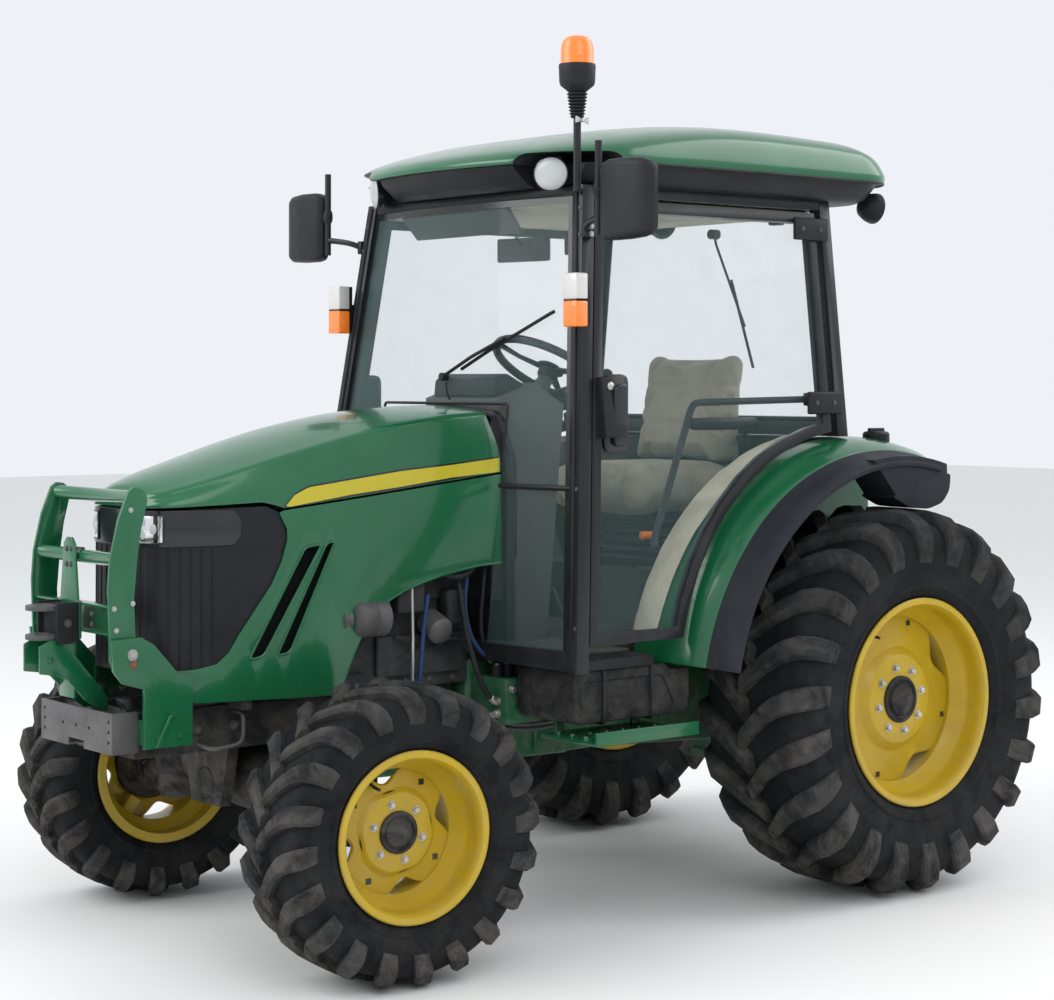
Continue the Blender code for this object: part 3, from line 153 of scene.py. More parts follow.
def close_up(piece, merge=1e-5):
    """Merges doubled corners, drops loose ones and turns the faces outwards."""
    only(piece)
    bpy.ops.object.mode_set(mode="EDIT")
    bpy.ops.mesh.select_all(action="SELECT")
    bpy.ops.mesh.remove_doubles(threshold=merge)
    bpy.ops.mesh.delete_loose(use_verts=True, use_edges=True, use_faces=False)
    bpy.ops.mesh.select_all(action="SELECT")
    bpy.ops.mesh.normals_make_consistent(inside=False)
    bpy.ops.object.mode_set(mode="OBJECT")
    return piece


def modify(piece, kind, **settings):
    """Adds one modifier and applies it."""
    only(piece)
    modifier = piece.modifiers.new(kind.title(), kind)
    for key, value in settings.items():
        setattr(modifier, key, value)
    bpy.ops.object.modifier_apply(modifier=modifier.name)
    return piece


def soften(piece, width, segments=2, angle=40.0):
    """Rounds the sharp edges."""
    return modify(piece, "BEVEL", width=width, segments=segments, limit_method="ANGLE",
                  angle_limit=math.radians(angle), harden_normals=False)


def thicken(piece, wall, offset=-1.0):
    """Gives an open skin its wall."""
    return modify(piece, "SOLIDIFY", thickness=wall, offset=offset, use_even_offset=True)


def cut(piece, *tools):
    """Cuts tools out of a piece and removes them."""
    for tool in tools:
        modify(piece, "BOOLEAN", operation="DIFFERENCE", solver="EXACT", object=tool)
        bpy.data.objects.remove(tool, do_unlink=True)
    return piece


def keep(piece, tool):
    """Keeps what lies inside a tool and removes the tool."""
    modify(piece, "BOOLEAN", operation="INTERSECT", solver="EXACT", object=tool)
    bpy.data.objects.remove(tool, do_unlink=True)
    return piece


def joined(name, pieces):
    """Several shapes as one piece."""
    only(*pieces)
    if len(pieces) > 1:
        bpy.ops.object.join()
    return named(name)


def moved(piece, matrix):
    """Moves a piece's mesh, turning its faces back where the move mirrors it."""
    piece.data.transform(matrix)
    if matrix.determinant() < 0:
        piece.data.flip_normals()
    return piece


def twin(piece, name, matrix=None):
    """A copy with its own mesh."""
    copy = piece.copy()
    copy.data = piece.data.copy()
    copy.name = copy.data.name = name
    bpy.context.scene.collection.objects.link(copy)
    return moved(copy, matrix) if matrix else copy


MIRROR = Matrix.Scale(-1.0, 4, (0.0, 1.0, 0.0))


def dress(piece, material, body="chassis", stands_for=(), angle=35.0):
    """Shades a finished piece, moves it to the row's origin and lets it ride on its body."""
    only(piece)
    bpy.ops.object.shade_smooth_by_angle(angle=math.radians(angle))
    piece.data.transform(Matrix.Translation((AXLE_X, 0.0, 0.0)))
    if material is not None:
        piece.data.materials.clear()
        piece.data.materials.append(material)
    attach(piece, body)
    if stands_for:
        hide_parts(*stands_for)
    return piece


# ---- shape makers --------------------------------------------------------------------------------
def skin(name, rows, merge=True):
    """A grid laid over rows of points, all of one length."""
    across, along = len(rows[0]) - 1, len(rows) - 1
    bpy.ops.object.select_all(action="DESELECT")
    bpy.ops.mesh.primitive_grid_add(x_subdivisions=across, y_subdivisions=along, size=1.0)
    piece = named(name)
    flat = [value for row in rows for point in row for value in point]
    piece.data.vertices.foreach_set("co", flat)
    piece.data.update()
    return close_up(piece) if merge else piece


def loft(name, sections):
    """A closed form through rings of points, its two ends drawn in to their middles."""
    def middle(ring):
        return tuple(sum(point[axis] for point in ring) / len(ring) for axis in range(3))

    rows = [[middle(sections[0])] * (len(sections[0]) + 1)]
    rows += [list(ring) + [ring[0]] for ring in sections]
    rows += [[middle(sections[-1])] * (len(sections[0]) + 1)]
    return skin(name, rows)


def put(axis, pair, at):
    """A point from its pair of coordinates across an axis and its place along it."""
    if axis == "X":
        return (at, pair[0], pair[1])
    if axis == "Y":
        return (pair[0], at, pair[1])
    return (pair[0], pair[1], at)


def plate(name, outline, axis, low, high, round_by=0.0, segments=2):
    """An outline extruded along an axis, its edges rounded. Pairs are (y, z), (x, z) or (x, y)."""
    bpy.ops.object.select_all(action="DESELECT")
    bpy.ops.mesh.primitive_circle_add(vertices=len(outline), fill_type="NGON")
    piece = named(name)
    for vertex, pair in zip(piece.data.vertices, outline):
        vertex.co = put(axis, pair, low)
    bpy.ops.object.mode_set(mode="EDIT")
    bpy.ops.mesh.select_all(action="SELECT")
    bpy.ops.mesh.extrude_region_move(TRANSFORM_OT_translate={"value": put(axis, (0.0, 0.0), high - low)})
    bpy.ops.mesh.select_all(action="SELECT")
    bpy.ops.mesh.normals_make_consistent(inside=False)
    bpy.ops.object.mode_set(mode="OBJECT")
    return soften(piece, round_by, segments) if round_by else piece


def block(name, low, high, round_by=0.004, segments=2):
    """A rounded block between two corners."""
    lo = [min(pair) for pair in zip(low, high)]
    hi = [max(pair) for pair in zip(low, high)]
    outline = [(lo[0], lo[1]), (hi[0], lo[1]), (hi[0], hi[1]), (lo[0], hi[1])]
    return plate(name, outline, "Z", lo[2], hi[2], round_by, segments)


def spun(name, profile, steps=48, axis="Y"):
    """A closed profile of (radius, along) spun round an axis through the origin."""
    bpy.ops.object.select_all(action="DESELECT")
    bpy.ops.mesh.primitive_circle_add(vertices=len(profile), fill_type="NOTHING")
    piece = named(name)
    for vertex, (radius, along) in zip(piece.data.vertices, profile):
        vertex.co = {"X": (along, radius, 0.0), "Y": (radius, along, 0.0), "Z": (radius, 0.0, along)}[axis]
    bpy.ops.object.mode_set(mode="EDIT")
    bpy.ops.mesh.select_all(action="SELECT")
    turn = {"X": (1.0, 0.0, 0.0), "Y": (0.0, 1.0, 0.0), "Z": (0.0, 0.0, 1.0)}[axis]
    bpy.ops.mesh.spin(steps=steps, angle=2.0 * math.pi, center=(0.0, 0.0, 0.0), axis=turn)
    bpy.ops.object.mode_set(mode="OBJECT")
    return close_up(piece)


def aim(start, end):
    """The matrix that takes +Z at the origin to a line from one point towards another."""
    start, end = Vector(start), Vector(end)
    return Matrix.Translation(start) @ (end - start).to_track_quat("Z", "Y").to_matrix().to_4x4()


def turned_on(name, profile, start, end, steps=24):
    """A (radius, along) profile spun round the line from start to end; 1.0 along is the line's length."""
    length = (Vector(end) - Vector(start)).length
    piece = spun(name, [(radius, along * length) for radius, along in profile], steps, "Z")
    return moved(piece, aim(start, end))


def bar(name, start, end, radius, steps=20, chamfer=0.0015):
    """A round bar with eased ends."""
    length = (Vector(end) - Vector(start)).length
    ease = min(chamfer, radius * 0.4)
    profile = [(0.0, 0.0), (radius - ease, 0.0), (radius, ease), (radius, length - ease),
        (radius - ease, length), (0.0, length)]
    return moved(spun(name, profile, steps, "Z"), aim(start, end))


def pipe(name, points, radius, resolution=3, smooth=6):
    """A bent tube through points, rounded at its bends."""
    bpy.ops.object.select_all(action="DESELECT")
    bpy.ops.curve.primitive_bezier_curve_add(radius=1.0)
    piece = named(name)
    curve = piece.data
    curve.splines.clear()
    line = curve.splines.new("BEZIER")
    line.bezier_points.add(len(points) - 1)
    for knot, point in zip(line.bezier_points, points):
        knot.co = point
        knot.handle_left_type = knot.handle_right_type = "AUTO"
    line.resolution_u = smooth
    curve.dimensions = "3D"
    curve.twist_mode = "MINIMUM"
    curve.bevel_depth = radius
    curve.bevel_resolution = resolution
    curve.use_fill_caps = True
    only(piece)
    bpy.ops.object.convert(target="MESH")
    return close_up(named(name), 1e-6)


def rail(name, points, radius, bend=0.03, resolution=3):
    """A tube of straight runs with tight round bends."""
    path = [Vector(points[0])]
    for before, corner, after in zip(points, points[1:], points[2:]):
        before, corner, after = Vector(before), Vector(corner), Vector(after)
        into, out = (corner - before), (after - corner)
        reach = min(bend, into.length * 0.45, out.length * 0.45)
        start, end = corner - into.normalized() * reach, corner + out.normalized() * reach
        for step in range(5):
            share = step / 4
            path.append(start.lerp(corner, share).lerp(corner.lerp(end, share), share))
    path.append(Vector(points[-1]))
    bpy.ops.object.select_all(action="DESELECT")
    bpy.ops.curve.primitive_nurbs_path_add(radius=1.0)
    piece = named(name)
    curve = piece.data
    curve.splines.clear()
    line = curve.splines.new("POLY")
    line.points.add(len(path) - 1)
    for knot, point in zip(line.points, path):
        knot.co = (*point, 1.0)
    curve.dimensions = "3D"
    curve.bevel_depth = radius
    curve.bevel_resolution = resolution
    curve.use_fill_caps = True
    only(piece)
    bpy.ops.object.convert(target="MESH")
    return close_up(named(name), 1e-6)


def bolt(name, at, out, size=0.009, height=0.007, washer=True):
    """A hexagon head on its washer, standing out from a face."""
    at, out = Vector(at), Vector(out).normalized()
    head = [(size * math.cos(math.radians(60 * i)), size * math.sin(math.radians(60 * i))) for i in range(6)]
    shapes = [plate("head", head, "Z", 0.0, height, size * 0.16, 1)]
    if washer:
        wide = size * 1.35
        shapes.append(spun("washer", [(0.0, -0.001), (wide, -0.001), (wide, 0.0016), (0.0, 0.0016)], 16, "Z"))
    return moved(joined(name, shapes), aim(at, at + out))


def arc(centre, radius, start, end, count):
    """Points on a circle, angles in degrees."""
    return [(centre[0] + radius * math.cos(math.radians(start + (end - start) * i / count)),
             centre[1] + radius * math.sin(math.radians(start + (end - start) * i / count)))
            for i in range(count + 1)]


def rounded(outline, radius, steps=4):
    """An outline with each corner replaced by a small arc."""
    made = []
    for i, corner in enumerate(outline):
        before, here, after = Vector(outline[i - 1]), Vector(corner), Vector(outline[(i + 1) % len(outline)])
        into, out = (before - here), (after - here)
        reach = min(radius, into.length * 0.45, out.length * 0.45)
        start, end = here + into.normalized() * reach, here + out.normalized() * reach
        for step in range(steps + 1):
            share = step / steps
            made.append(tuple(start.lerp(here, share).lerp(here.lerp(end, share), share)))
    return made


def along(table, at):
    """A smooth reading of (place, value) rows in rising order, level outside them."""
    if at <= table[0][0]:
        return table[0][1]
    if at >= table[-1][0]:
        return table[-1][1]
    for i in range(len(table) - 1):
        (x0, y0), (x1, y1) = table[i], table[i + 1]
        if at <= x1:
            span = x1 - x0
            rise = (y1 - y0) / span
            before = (y0 - table[i - 1][1]) / (x0 - table[i - 1][0]) if i else rise
            after = (table[i + 2][1] - y1) / (table[i + 2][0] - x1) if i + 2 < len(table) else rise
            m0, m1 = (before + rise) / 2, (rise + after) / 2
            t = (at - x0) / span
            return ((2 * t ** 3 - 3 * t ** 2 + 1) * y0 + (t ** 3 - 2 * t ** 2 + t) * span * m0
                    + (3 * t ** 2 - 2 * t ** 3) * y1 + (t ** 3 - t ** 2) * span * m1)
    return table[-1][1]


def spread(low, high, count):
    """Evenly spaced values, both ends included."""
    return [low + (high - low) * i / (count - 1) for i in range(count)]


# ---- materials -----------------------------------------------------------------------------------
def shader_of(name):
    """A new node material and its main shader."""
    made = bpy.data.materials.new(name)
    made.use_nodes = True
    return made, made.node_tree.nodes["Principled BSDF"]


def node(tree, kind, **settings):
    """A node with its properties and, by name, its input values."""
    made = tree.nodes.new(kind)
    for key, value in settings.items():
        if key in made.bl_rna.properties and key not in made.inputs:
            setattr(made, key, value)
        else:
            made.inputs[key.replace("_", " ")].default_value = value
    return made


def noise_of(tree, where, scale, detail=3.0, rough=0.55, bend=0.0):
    made = node(tree, "ShaderNodeTexNoise", Scale=scale, Detail=detail, Roughness=rough, Distortion=bend)
    tree.links.new(where, made.inputs["Vector"])
    return made.outputs["Fac"]


def spread_of(tree, value, low, high, to_low=0.0, to_high=1.0):
    made = tree.nodes.new("ShaderNodeMapRange")
    for key, number in (("From Min", low), ("From Max", high), ("To Min", to_low), ("To Max", to_high)):
        made.inputs[key].default_value = number
    tree.links.new(value, made.inputs["Value"])
    return made.outputs["Result"]


def mixed(tree, share, first, second):
    """Mixes two colours, each a tuple or a socket."""
    made = tree.nodes.new("ShaderNodeMix")
    made.data_type = "RGBA"
    for key, value in ((6, first), (7, second)):
        if isinstance(value, tuple):
            made.inputs[key].default_value = value
        else:
            tree.links.new(value, made.inputs[key])
    tree.links.new(share, made.inputs[0])
    return made.outputs[2]


def product(tree, first, second):
    made = tree.nodes.new("ShaderNodeMath")
    made.operation = "MULTIPLY"
    tree.links.new(first, made.inputs[0])
    if isinstance(second, float):
        made.inputs[1].default_value = second
    else:
        tree.links.new(second, made.inputs[1])
    return made.outputs[0]


def coat(name, colour, rough=(0.3, 0.45), metal=0.0, tint=0.15, grain=400.0, bump=0.02, dust=0.0,
        dust_top=1.2,
         wear=None, clear=0.0, patch=5.0, specks=0.0, shine=0.4):
    """A worked surface: colour in patches, dust low down, specks of wear and a fine grain."""
    made, shader = shader_of(name)
    tree = made.node_tree
    place = tree.nodes.new("ShaderNodeTexCoord").outputs["Object"]
    patches = noise_of(tree, place, patch, 5.0, 0.6, 0.4)
    dark = tuple(c * (1.0 - tint) for c in colour)
    light = tuple(min(1.0, c * (1.0 + tint) + 0.002) for c in colour)
    tone = mixed(tree, spread_of(tree, patches, 0.35, 0.65), (*dark, 1.0), (*light, 1.0))
    if wear:
        chips = noise_of(tree, place, 38.0, 8.0, 0.72, 0.2)
        tone = mixed(tree, spread_of(tree, chips, 0.7 - specks, 0.72 - specks), tone, (*wear, 1.0))
    if dust:
        height = tree.nodes.new("ShaderNodeSeparateXYZ")
        tree.links.new(place, height.inputs[0])
        low_down = spread_of(tree, height.outputs["Z"], dust_top, 0.1)
        cloud = spread_of(tree, noise_of(tree, place, 11.0, 7.0, 0.68, 0.8), 0.38, 0.74)
        share = product(tree, product(tree, low_down, cloud), dust)
        tone = mixed(tree, share, tone, (*paint().dust, 1.0))
    tree.links.new(tone, shader.inputs["Base Color"])
    smears = noise_of(tree, place, patch * 2.3, 4.0, 0.6)
    tree.links.new(spread_of(tree, smears, 0.3, 0.7, rough[0], rough[1]), shader.inputs["Roughness"])
    shader.inputs["Metallic"].default_value = metal
    shader.inputs["Specular IOR Level"].default_value = shine
    if clear:
        shader.inputs["Coat Weight"].default_value = clear
        shader.inputs["Coat Roughness"].default_value = 0.06
    fine = node(tree, "ShaderNodeBump", Strength=1.0, Distance=bump * 0.01)
    tree.links.new(noise_of(tree, place, grain, 2.0, 0.5), fine.inputs["Height"])
    tree.links.new(fine.outputs["Normal"], shader.inputs["Normal"])
    return made


def pane(name, tint, low=0.025, high=0.62, rough=0.015):
    """Window glass: clear when faced, more mirror-like at a slant."""
    made, shader = shader_of(name)
    tree = made.node_tree
    place = tree.nodes.new("ShaderNodeTexCoord").outputs["Object"]
    film = spread_of(tree, noise_of(tree, place, 6.0, 6.0, 0.65, 1.2), 0.5, 0.85, 0.0, 0.025)
    slant = tree.nodes.new("ShaderNodeLayerWeight")
    slant.inputs["Blend"].default_value = 0.5
    steep = tree.nodes.new("ShaderNodeMath")
    steep.operation = "POWER"
    steep.inputs[1].default_value = 4.0
    tree.links.new(slant.outputs["Facing"], steep.inputs[0])
    cover = spread_of(tree, steep.outputs[0], 0.0, 1.0, low, high)
    total = tree.nodes.new("ShaderNodeMath")
    total.operation = "ADD"
    tree.links.new(cover, total.inputs[0])
    tree.links.new(film, total.inputs[1])
    tree.links.new(total.outputs[0], shader.inputs["Alpha"])
    shader.inputs["Base Color"].default_value = (*tint, 1.0)
    shader.inputs["Roughness"].default_value = rough
    shader.inputs["Specular IOR Level"].default_value = 0.9
    return made


def lens(name, colour, glow=0.0, ribs=260.0):
    """A ribbed lamp lens."""
    made, shader = shader_of(name)
    tree = made.node_tree
    place = tree.nodes.new("ShaderNodeTexCoord").outputs["Object"]
    wave = node(tree, "ShaderNodeTexWave", Scale=ribs, Distortion=0.0, bands_direction="Z")
    tree.links.new(place, wave.inputs["Vector"])
    tone = mixed(tree, wave.outputs["Fac"], (*(c * 0.75 for c in colour), 1.0), (*colour, 1.0))
    tree.links.new(tone, shader.inputs["Base Color"])
    shader.inputs["Roughness"].default_value = 0.12
    shader.inputs["Coat Weight"].default_value = 0.8
    shader.inputs["Emission Color"].default_value = (*colour, 1.0)
    shader.inputs["Emission Strength"].default_value = glow
    ridge = node(tree, "ShaderNodeBump", Strength=0.6, Distance=0.0006)
    tree.links.new(wave.outputs["Fac"], ridge.inputs["Height"])
    tree.links.new(ridge.outputs["Normal"], shader.inputs["Normal"])
    return made


def weave(name, colour):
    """Cloth of crossing threads with a faint soil."""
    made, shader = shader_of(name)
    tree = made.node_tree
    place = tree.nodes.new("ShaderNodeTexCoord").outputs["Object"]
    warp = node(tree, "ShaderNodeTexWave", Scale=230.0, Distortion=1.0, bands_direction="Y")
    weft = node(tree, "ShaderNodeTexWave", Scale=230.0, Distortion=1.0, bands_direction="DIAGONAL")
    tree.links.new(place, warp.inputs["Vector"])
    tree.links.new(place, weft.inputs["Vector"])
    threads = product(tree, warp.outputs["Fac"], weft.outputs["Fac"])
    soil = spread_of(tree, noise_of(tree, place, 9.0, 6.0, 0.65, 0.5), 0.35, 0.75)
    base = mixed(tree, soil, (*colour, 1.0), (*(c * 0.62 for c in colour), 1.0))
    tone = mixed(tree, spread_of(tree, threads, 0.0, 1.0, 0.0, 0.35), base,
        (*(min(1.0, c * 1.35) for c in colour), 1.0))
    tree.links.new(tone, shader.inputs["Base Color"])
    shader.inputs["Roughness"].default_value = 0.92
    shader.inputs["Sheen Weight"].default_value = 0.25
    ridge = node(tree, "ShaderNodeBump", Strength=0.7, Distance=0.0008)
    tree.links.new(threads, ridge.inputs["Height"])
    tree.links.new(ridge.outputs["Normal"], shader.inputs["Normal"])
    return made


def paint():
    return bpy.context.scene.tractor_paint


def tread():
    return bpy.context.scene.tractor_tread


def trim():
    return bpy.context.scene.tractor_trim


FINISHES = {}


def finish(name):
    """The named finish, made on its first use."""
    if name in FINISHES:
        return FINISHES[name]
    colours = paint()
    green, yellow, black, cloth = (tuple(c) for c in (colours.green, colours.yellow, colours.black,
        colours.cloth))
    recipes = {
        # green is partly painted shade: darker than the sheet metal's enamel, and the green castings share
        # it.
        "green enamel": lambda: coat(name, green, (0.16, 0.27), tint=0.1, grain=900, bump=0.01, dust=0.1,
                                     dust_top=0.95, clear=0.45, patch=2.5, shine=0.35),
        "green castings": lambda: coat(name, green, (0.35, 0.55), tint=0.25, grain=220, bump=0.06, dust=0.8,
                                       dust_top=1.1, wear=(0.06, 0.045, 0.03), specks=0.03, shine=0.3),
        # yellow is partly painted shade: darker than the rims' enamel.
        "yellow enamel": lambda: coat(name, yellow, (0.26, 0.42), tint=0.08, grain=600, bump=0.02, dust=0.3,
                                      dust_top=0.9, wear=(0.1, 0.055, 0.02), clear=0.2, specks=-0.02,
                                      shine=0.35),
        "stripe yellow": lambda: coat(name, (0.5, 0.42, 0.02), (0.3, 0.38), tint=0.03, clear=0.3, shine=0.35),
        "black trim": lambda: coat(name, black, (0.36, 0.52), tint=0.15, grain=700, bump=0.05, dust=0.15,
                                   shine=0.2),
        "gloss black": lambda: coat(name, (0.012, 0.013, 0.017), (0.12, 0.2), tint=0.1, grain=500, bump=0.01,
                                    clear=0.4, shine=0.3),
        "black enamel": lambda: coat(name, black, (0.28, 0.4), tint=0.15, grain=800, bump=0.02, dust=0.2,
                                     clear=0.1, shine=0.2),
        "black castings": lambda: coat(name, (0.014, 0.015, 0.017), (0.5, 0.75), tint=0.3, grain=160,
                                       bump=0.1,
                                       dust=0.6, dust_top=1.0, wear=(0.07, 0.05, 0.035), specks=0.01,
                                       shine=0.15),
        "block castings": lambda: coat(name, (0.02, 0.023, 0.026), (0.45, 0.7), tint=0.35, grain=130,
                                       bump=0.12, dust=0.45, dust_top=1.3, shine=0.15),
        "dark steel": lambda: coat(name, (0.085, 0.083, 0.085), (0.4, 0.62), 0.35, tint=0.18, grain=300,
                                   bump=0.05, dust=0.35, wear=(0.16, 0.1, 0.06), specks=-0.01),
        "bright steel": lambda: coat(name, (0.48, 0.47, 0.45), (0.25, 0.45), 0.85, tint=0.15, grain=300,
                                     bump=0.03),
        "rusty steel": lambda: coat(name, (0.2, 0.1, 0.05), (0.6, 0.8), 0.2, tint=0.3, grain=200, bump=0.08),
        "flare rubber": lambda: coat(name, (0.018, 0.021, 0.027), (0.45, 0.62), tint=0.14, grain=260,
                                     bump=0.05, dust=0.12, shine=0.15),
        "tyre wall": lambda: coat(name, (0.01, 0.011, 0.013), (0.62, 0.85), tint=0.22, grain=300, bump=0.1,
                                  dust=0.08, dust_top=1.6, patch=7.0, shine=0.08),
        "tyre bars": lambda: coat(name, (0.022, 0.023, 0.025), (0.7, 0.92), tint=0.35, grain=240, bump=0.14,
                                  dust=0.35, dust_top=2.0, patch=9.0, shine=0.08),
        "hose": lambda: coat(name, (0.012, 0.013, 0.016), (0.4, 0.6), tint=0.2, grain=500, bump=0.05,
                             dust=0.2, shine=0.2),
        "blue hose": lambda: coat(name, (0.015, 0.05, 0.14), (0.4, 0.6), tint=0.2, grain=500, bump=0.05,
                                  dust=0.2, shine=0.2),
        "grey moulding": lambda: coat(name, (0.075, 0.078, 0.076), (0.5, 0.66), tint=0.1, grain=900,
                                      bump=0.06, shine=0.25),
        "floor mat": lambda: coat(name, (0.06, 0.06, 0.055), (0.7, 0.9), tint=0.35, grain=120, bump=0.2,
                                  patch=8.0),
        "beige lining": lambda: coat(name, (0.42, 0.4, 0.31), (0.55, 0.8), tint=0.18, grain=260, bump=0.1,
                                     patch=6.0),
        "grille shell": lambda: coat(name, (0.012, 0.013, 0.016), (0.3, 0.45), tint=0.15, grain=900,
                                     bump=0.03, dust=0.06, shine=0.2),
        "radiator mesh": lambda: coat(name, (0.005, 0.005, 0.006), (0.7, 0.9), tint=0.3, grain=900, bump=0.4,
                                      shine=0.05),
        "plated reflector": lambda: coat(name, (0.78, 0.78, 0.8), (0.08, 0.18), 0.95, tint=0.08, grain=180,
                                         bump=0.05),
        "mirror face": lambda: coat(name, (0.75, 0.78, 0.8), (0.03, 0.05), 1.0, tint=0.02, grain=20,
                                    bump=0.0),
        "orange knob": lambda: coat(name, (0.8, 0.2, 0.01), (0.3, 0.45), tint=0.1),
        "red plastic": lambda: coat(name, (0.45, 0.02, 0.015), (0.3, 0.45), tint=0.1),
        "window": lambda: pane(name, (0.22, 0.36, 0.36), low=0.05),
        "window edge": lambda: coat(name, (0.01, 0.011, 0.012), (0.12, 0.2), tint=0.1, grain=700, bump=0.0),
        "clear lens": lambda: lens(name, (0.55, 0.57, 0.58), 0.03),
        "white lens": lambda: lens(name, (0.7, 0.68, 0.66), 0.02, 120.0),
        "orange lens": lambda: lens(name, (0.9, 0.2, 0.01), 0.25, 160.0),
        "red lens": lambda: lens(name, (0.55, 0.01, 0.01), 0.05, 160.0),
        "seat cloth": lambda: weave(name, cloth),
    }
    FINISHES[name] = recipes[name]()
    return FINISHES[name]


# ---- wheels --------------------------------------------------------------------------------------
TYRES = {
    "rear": {"radius": 0.606, "half": 0.2225, "bead": 0.3048, "rim": 0.4, "end": 0.13,
             "wall": ((0.33, 0.188), (0.34, 0.199), (0.356, 0.209), (0.36, 0.213), (0.368, 0.2136),
                      (0.372, 0.211), (0.4, 0.216), (0.44, 0.2195), (0.48, 0.219), (0.515, 0.213),
                      (0.54, 0.202), (0.556, 0.185), (0.565, 0.16), (0.57, 0.12), (0.572, 0.06))},
    "front": {"radius": 0.402, "half": 0.1535, "bead": 0.2096, "rim": 0.27, "end": 0.085,
              "wall": ((0.235, 0.123), (0.242, 0.133), (0.252, 0.141), (0.255, 0.145), (0.26, 0.1456),
                       (0.263, 0.144), (0.28, 0.149), (0.305, 0.1515), (0.328, 0.1505), (0.348, 0.145),
                       (0.362, 0.135), (0.37, 0.118), (0.374, 0.09), (0.3756, 0.04))},
}


def tyre_walk(kind):
    """The carcass from its middle line out over the shoulder and down the wall, as (r, y) with lengths."""
    points = [(kind["wall"][-1][0] + 0.0004, 0.0)] + list(reversed(kind["wall"]))
    lengths = [0.0]
    for first, second in zip(points, points[1:]):
        lengths.append(lengths[-1] + math.dist(first, second))
    rows_r = [(length, point[0]) for length, point in zip(lengths, points)]
    rows_y = [(length, point[1]) for length, point in zip(lengths, points)]
    return rows_r, rows_y


def tread_bar(kind, height, pitch):
    """One bar: from the middle line, slanting back, over the shoulder and fading out down the wall."""
    rows_r, rows_y = tyre_walk(kind)
    floor_r = kind["radius"] - kind["end"]
    last = next(length for length, r in rows_r if r < floor_r)
    shoulder = next(length for length, r in rows_r if r < rows_r[0][1] - 0.008)
    stations = [share * last for share in (-0.035, 0.0, 0.12, 0.26, 0.42, 0.55, 0.66, 0.76, 0.85, 0.93, 1.0)]
    sections, lag = [], 0.0
    before = stations[0]
    for place in stations:
        slope = along(((0.0, 1.05), (shoulder * 0.55, 0.8), (shoulder, 0.38), (last, 0.1)), place)
        lag += slope * (place - before)
        before = place
        r, y = along(rows_r, max(0.0, place)), along(rows_y, max(0.0, place)) + min(0.0, place)
        r2, y2 = along(rows_r, max(0.0, place) + 0.004), along(rows_y, max(0.0, place) + 0.004)
        tangent = Vector((r2 - along(rows_r, max(0.0, place)), y2 - along(rows_y,
            max(0.0, place)))).normalized()
        normal = Vector((tangent.y, -tangent.x))
        high = along(((0.0, height), (shoulder * 0.9, height), (shoulder + (last - shoulder) * 0.45,
            height * 0.72), (last, 0.001)), place)
        high = min(high, (kind["radius"] - r) / max(0.2, normal.x)) if normal.x > 0.2 else high
        top = along(((0.0, pitch * 0.155), (shoulder * 0.8, pitch * 0.185), (last, pitch * 0.225)), place)
        foot = top + pitch * 0.045 * (0.3 + 0.7 * high / height)
        ease = min(0.005, high * 0.3)
        shape = [(-foot, -0.005), (-top - ease, high * 0.62), (-top, high - ease), (-top + ease, high),
            (top - ease, high),
                 (top, high - ease), (top + ease, high * 0.62), (foot, -0.005)]
        ring = []
        for aside, up in shape:
            out = r + up * normal.x
            angle = -(lag + aside) / kind["radius"]
            ring.append((out * math.sin(angle), y + up * normal.y, out * math.cos(angle)))
        sections.append(ring)
    return loft("tread bar", sections)


def make_tyre(name, kind, count, height):
    """The carcass with staggered bars on both sides, about its own middle."""
    seat, grip = kind["bead"] + 0.0004, kind["rim"] / 2 - 0.0128
    right = [(seat, grip), (kind["wall"][0][0] - 0.003, grip)] + list(kind["wall"])
    carcass = spun("carcass", right + [(r, -y) for r, y in reversed(right)], 120)
    for_bars = tread_bar(kind, height, 2 * math.pi * kind["radius"] / count)
    bars = []
    for i in range(count):
        for shift, flip in ((0.0, False), (0.5, True)):
            turn = Matrix.Rotation(2 * math.pi * (i + shift) / count, 4, "Y")
            bars.append(twin(for_bars, "bar", turn @ MIRROR if flip else turn))
    bpy.data.objects.remove(for_bars, do_unlink=True)
    for piece, which in [(carcass, "tyre wall")] + [(item, "tyre bars") for item in bars]:
        piece.data.materials.clear()
        piece.data.materials.append(finish(which))
    return joined(name, [carcass] + bars)


def disc_form(edge, bite, rows, wall, phase, lobes=4):
    """A dished disc whose edge is scalloped between its fixings. Rows are (share of the radius, face)."""
    count = 144
    rings = []
    for share, face in rows:
        ring = []
        for i in range(count):
            angle = 2 * math.pi * i / count
            dip = max(0.0, math.cos(lobes * (angle - phase))) ** 1.6
            reach = share * (edge - bite * dip * max(0.0, (share - 0.55) / 0.45))
            ring.append((reach * math.sin(angle), face, reach * math.cos(angle)))
        rings.append(ring)
    back = [[(x, y - wall, z) for x, y, z in ring] for ring in reversed(rings)]
    return loft("disc", rings + back)


RIMS = {
    "rear": {"half": 0.2, "bead": 0.3048, "well": 0.036, "steps": 96, "disc": 0.1083, "edge": 0.269,
             "bite": 0.05,
             "bolt_circle": 0.1016, "bolt": 0.0125, "hub": 0.074, "cap": 0.024, "phase": math.radians(28),
             "rows": ((0.16, 0.0), (0.5, 0.0), (0.525, -0.004), (0.6, -0.024), (0.63, -0.028), (0.93, -0.03),
                      (1.0, -0.036))},
    "front": {"half": 0.135, "bead": 0.2096, "well": 0.033, "steps": 80, "disc": 0.0386, "edge": 0.1735,
              "bite": 0.042,
              "bolt_circle": 0.0775, "bolt": 0.0105, "hub": 0.0575, "cap": 0.012, "phase": math.radians(12),
              "rows": ((0.16, 0.0), (0.6, 0.0), (0.63, -0.002), (0.69, -0.014), (0.72, -0.016),
                       (0.93, -0.018), (1.0, -0.022))},
}


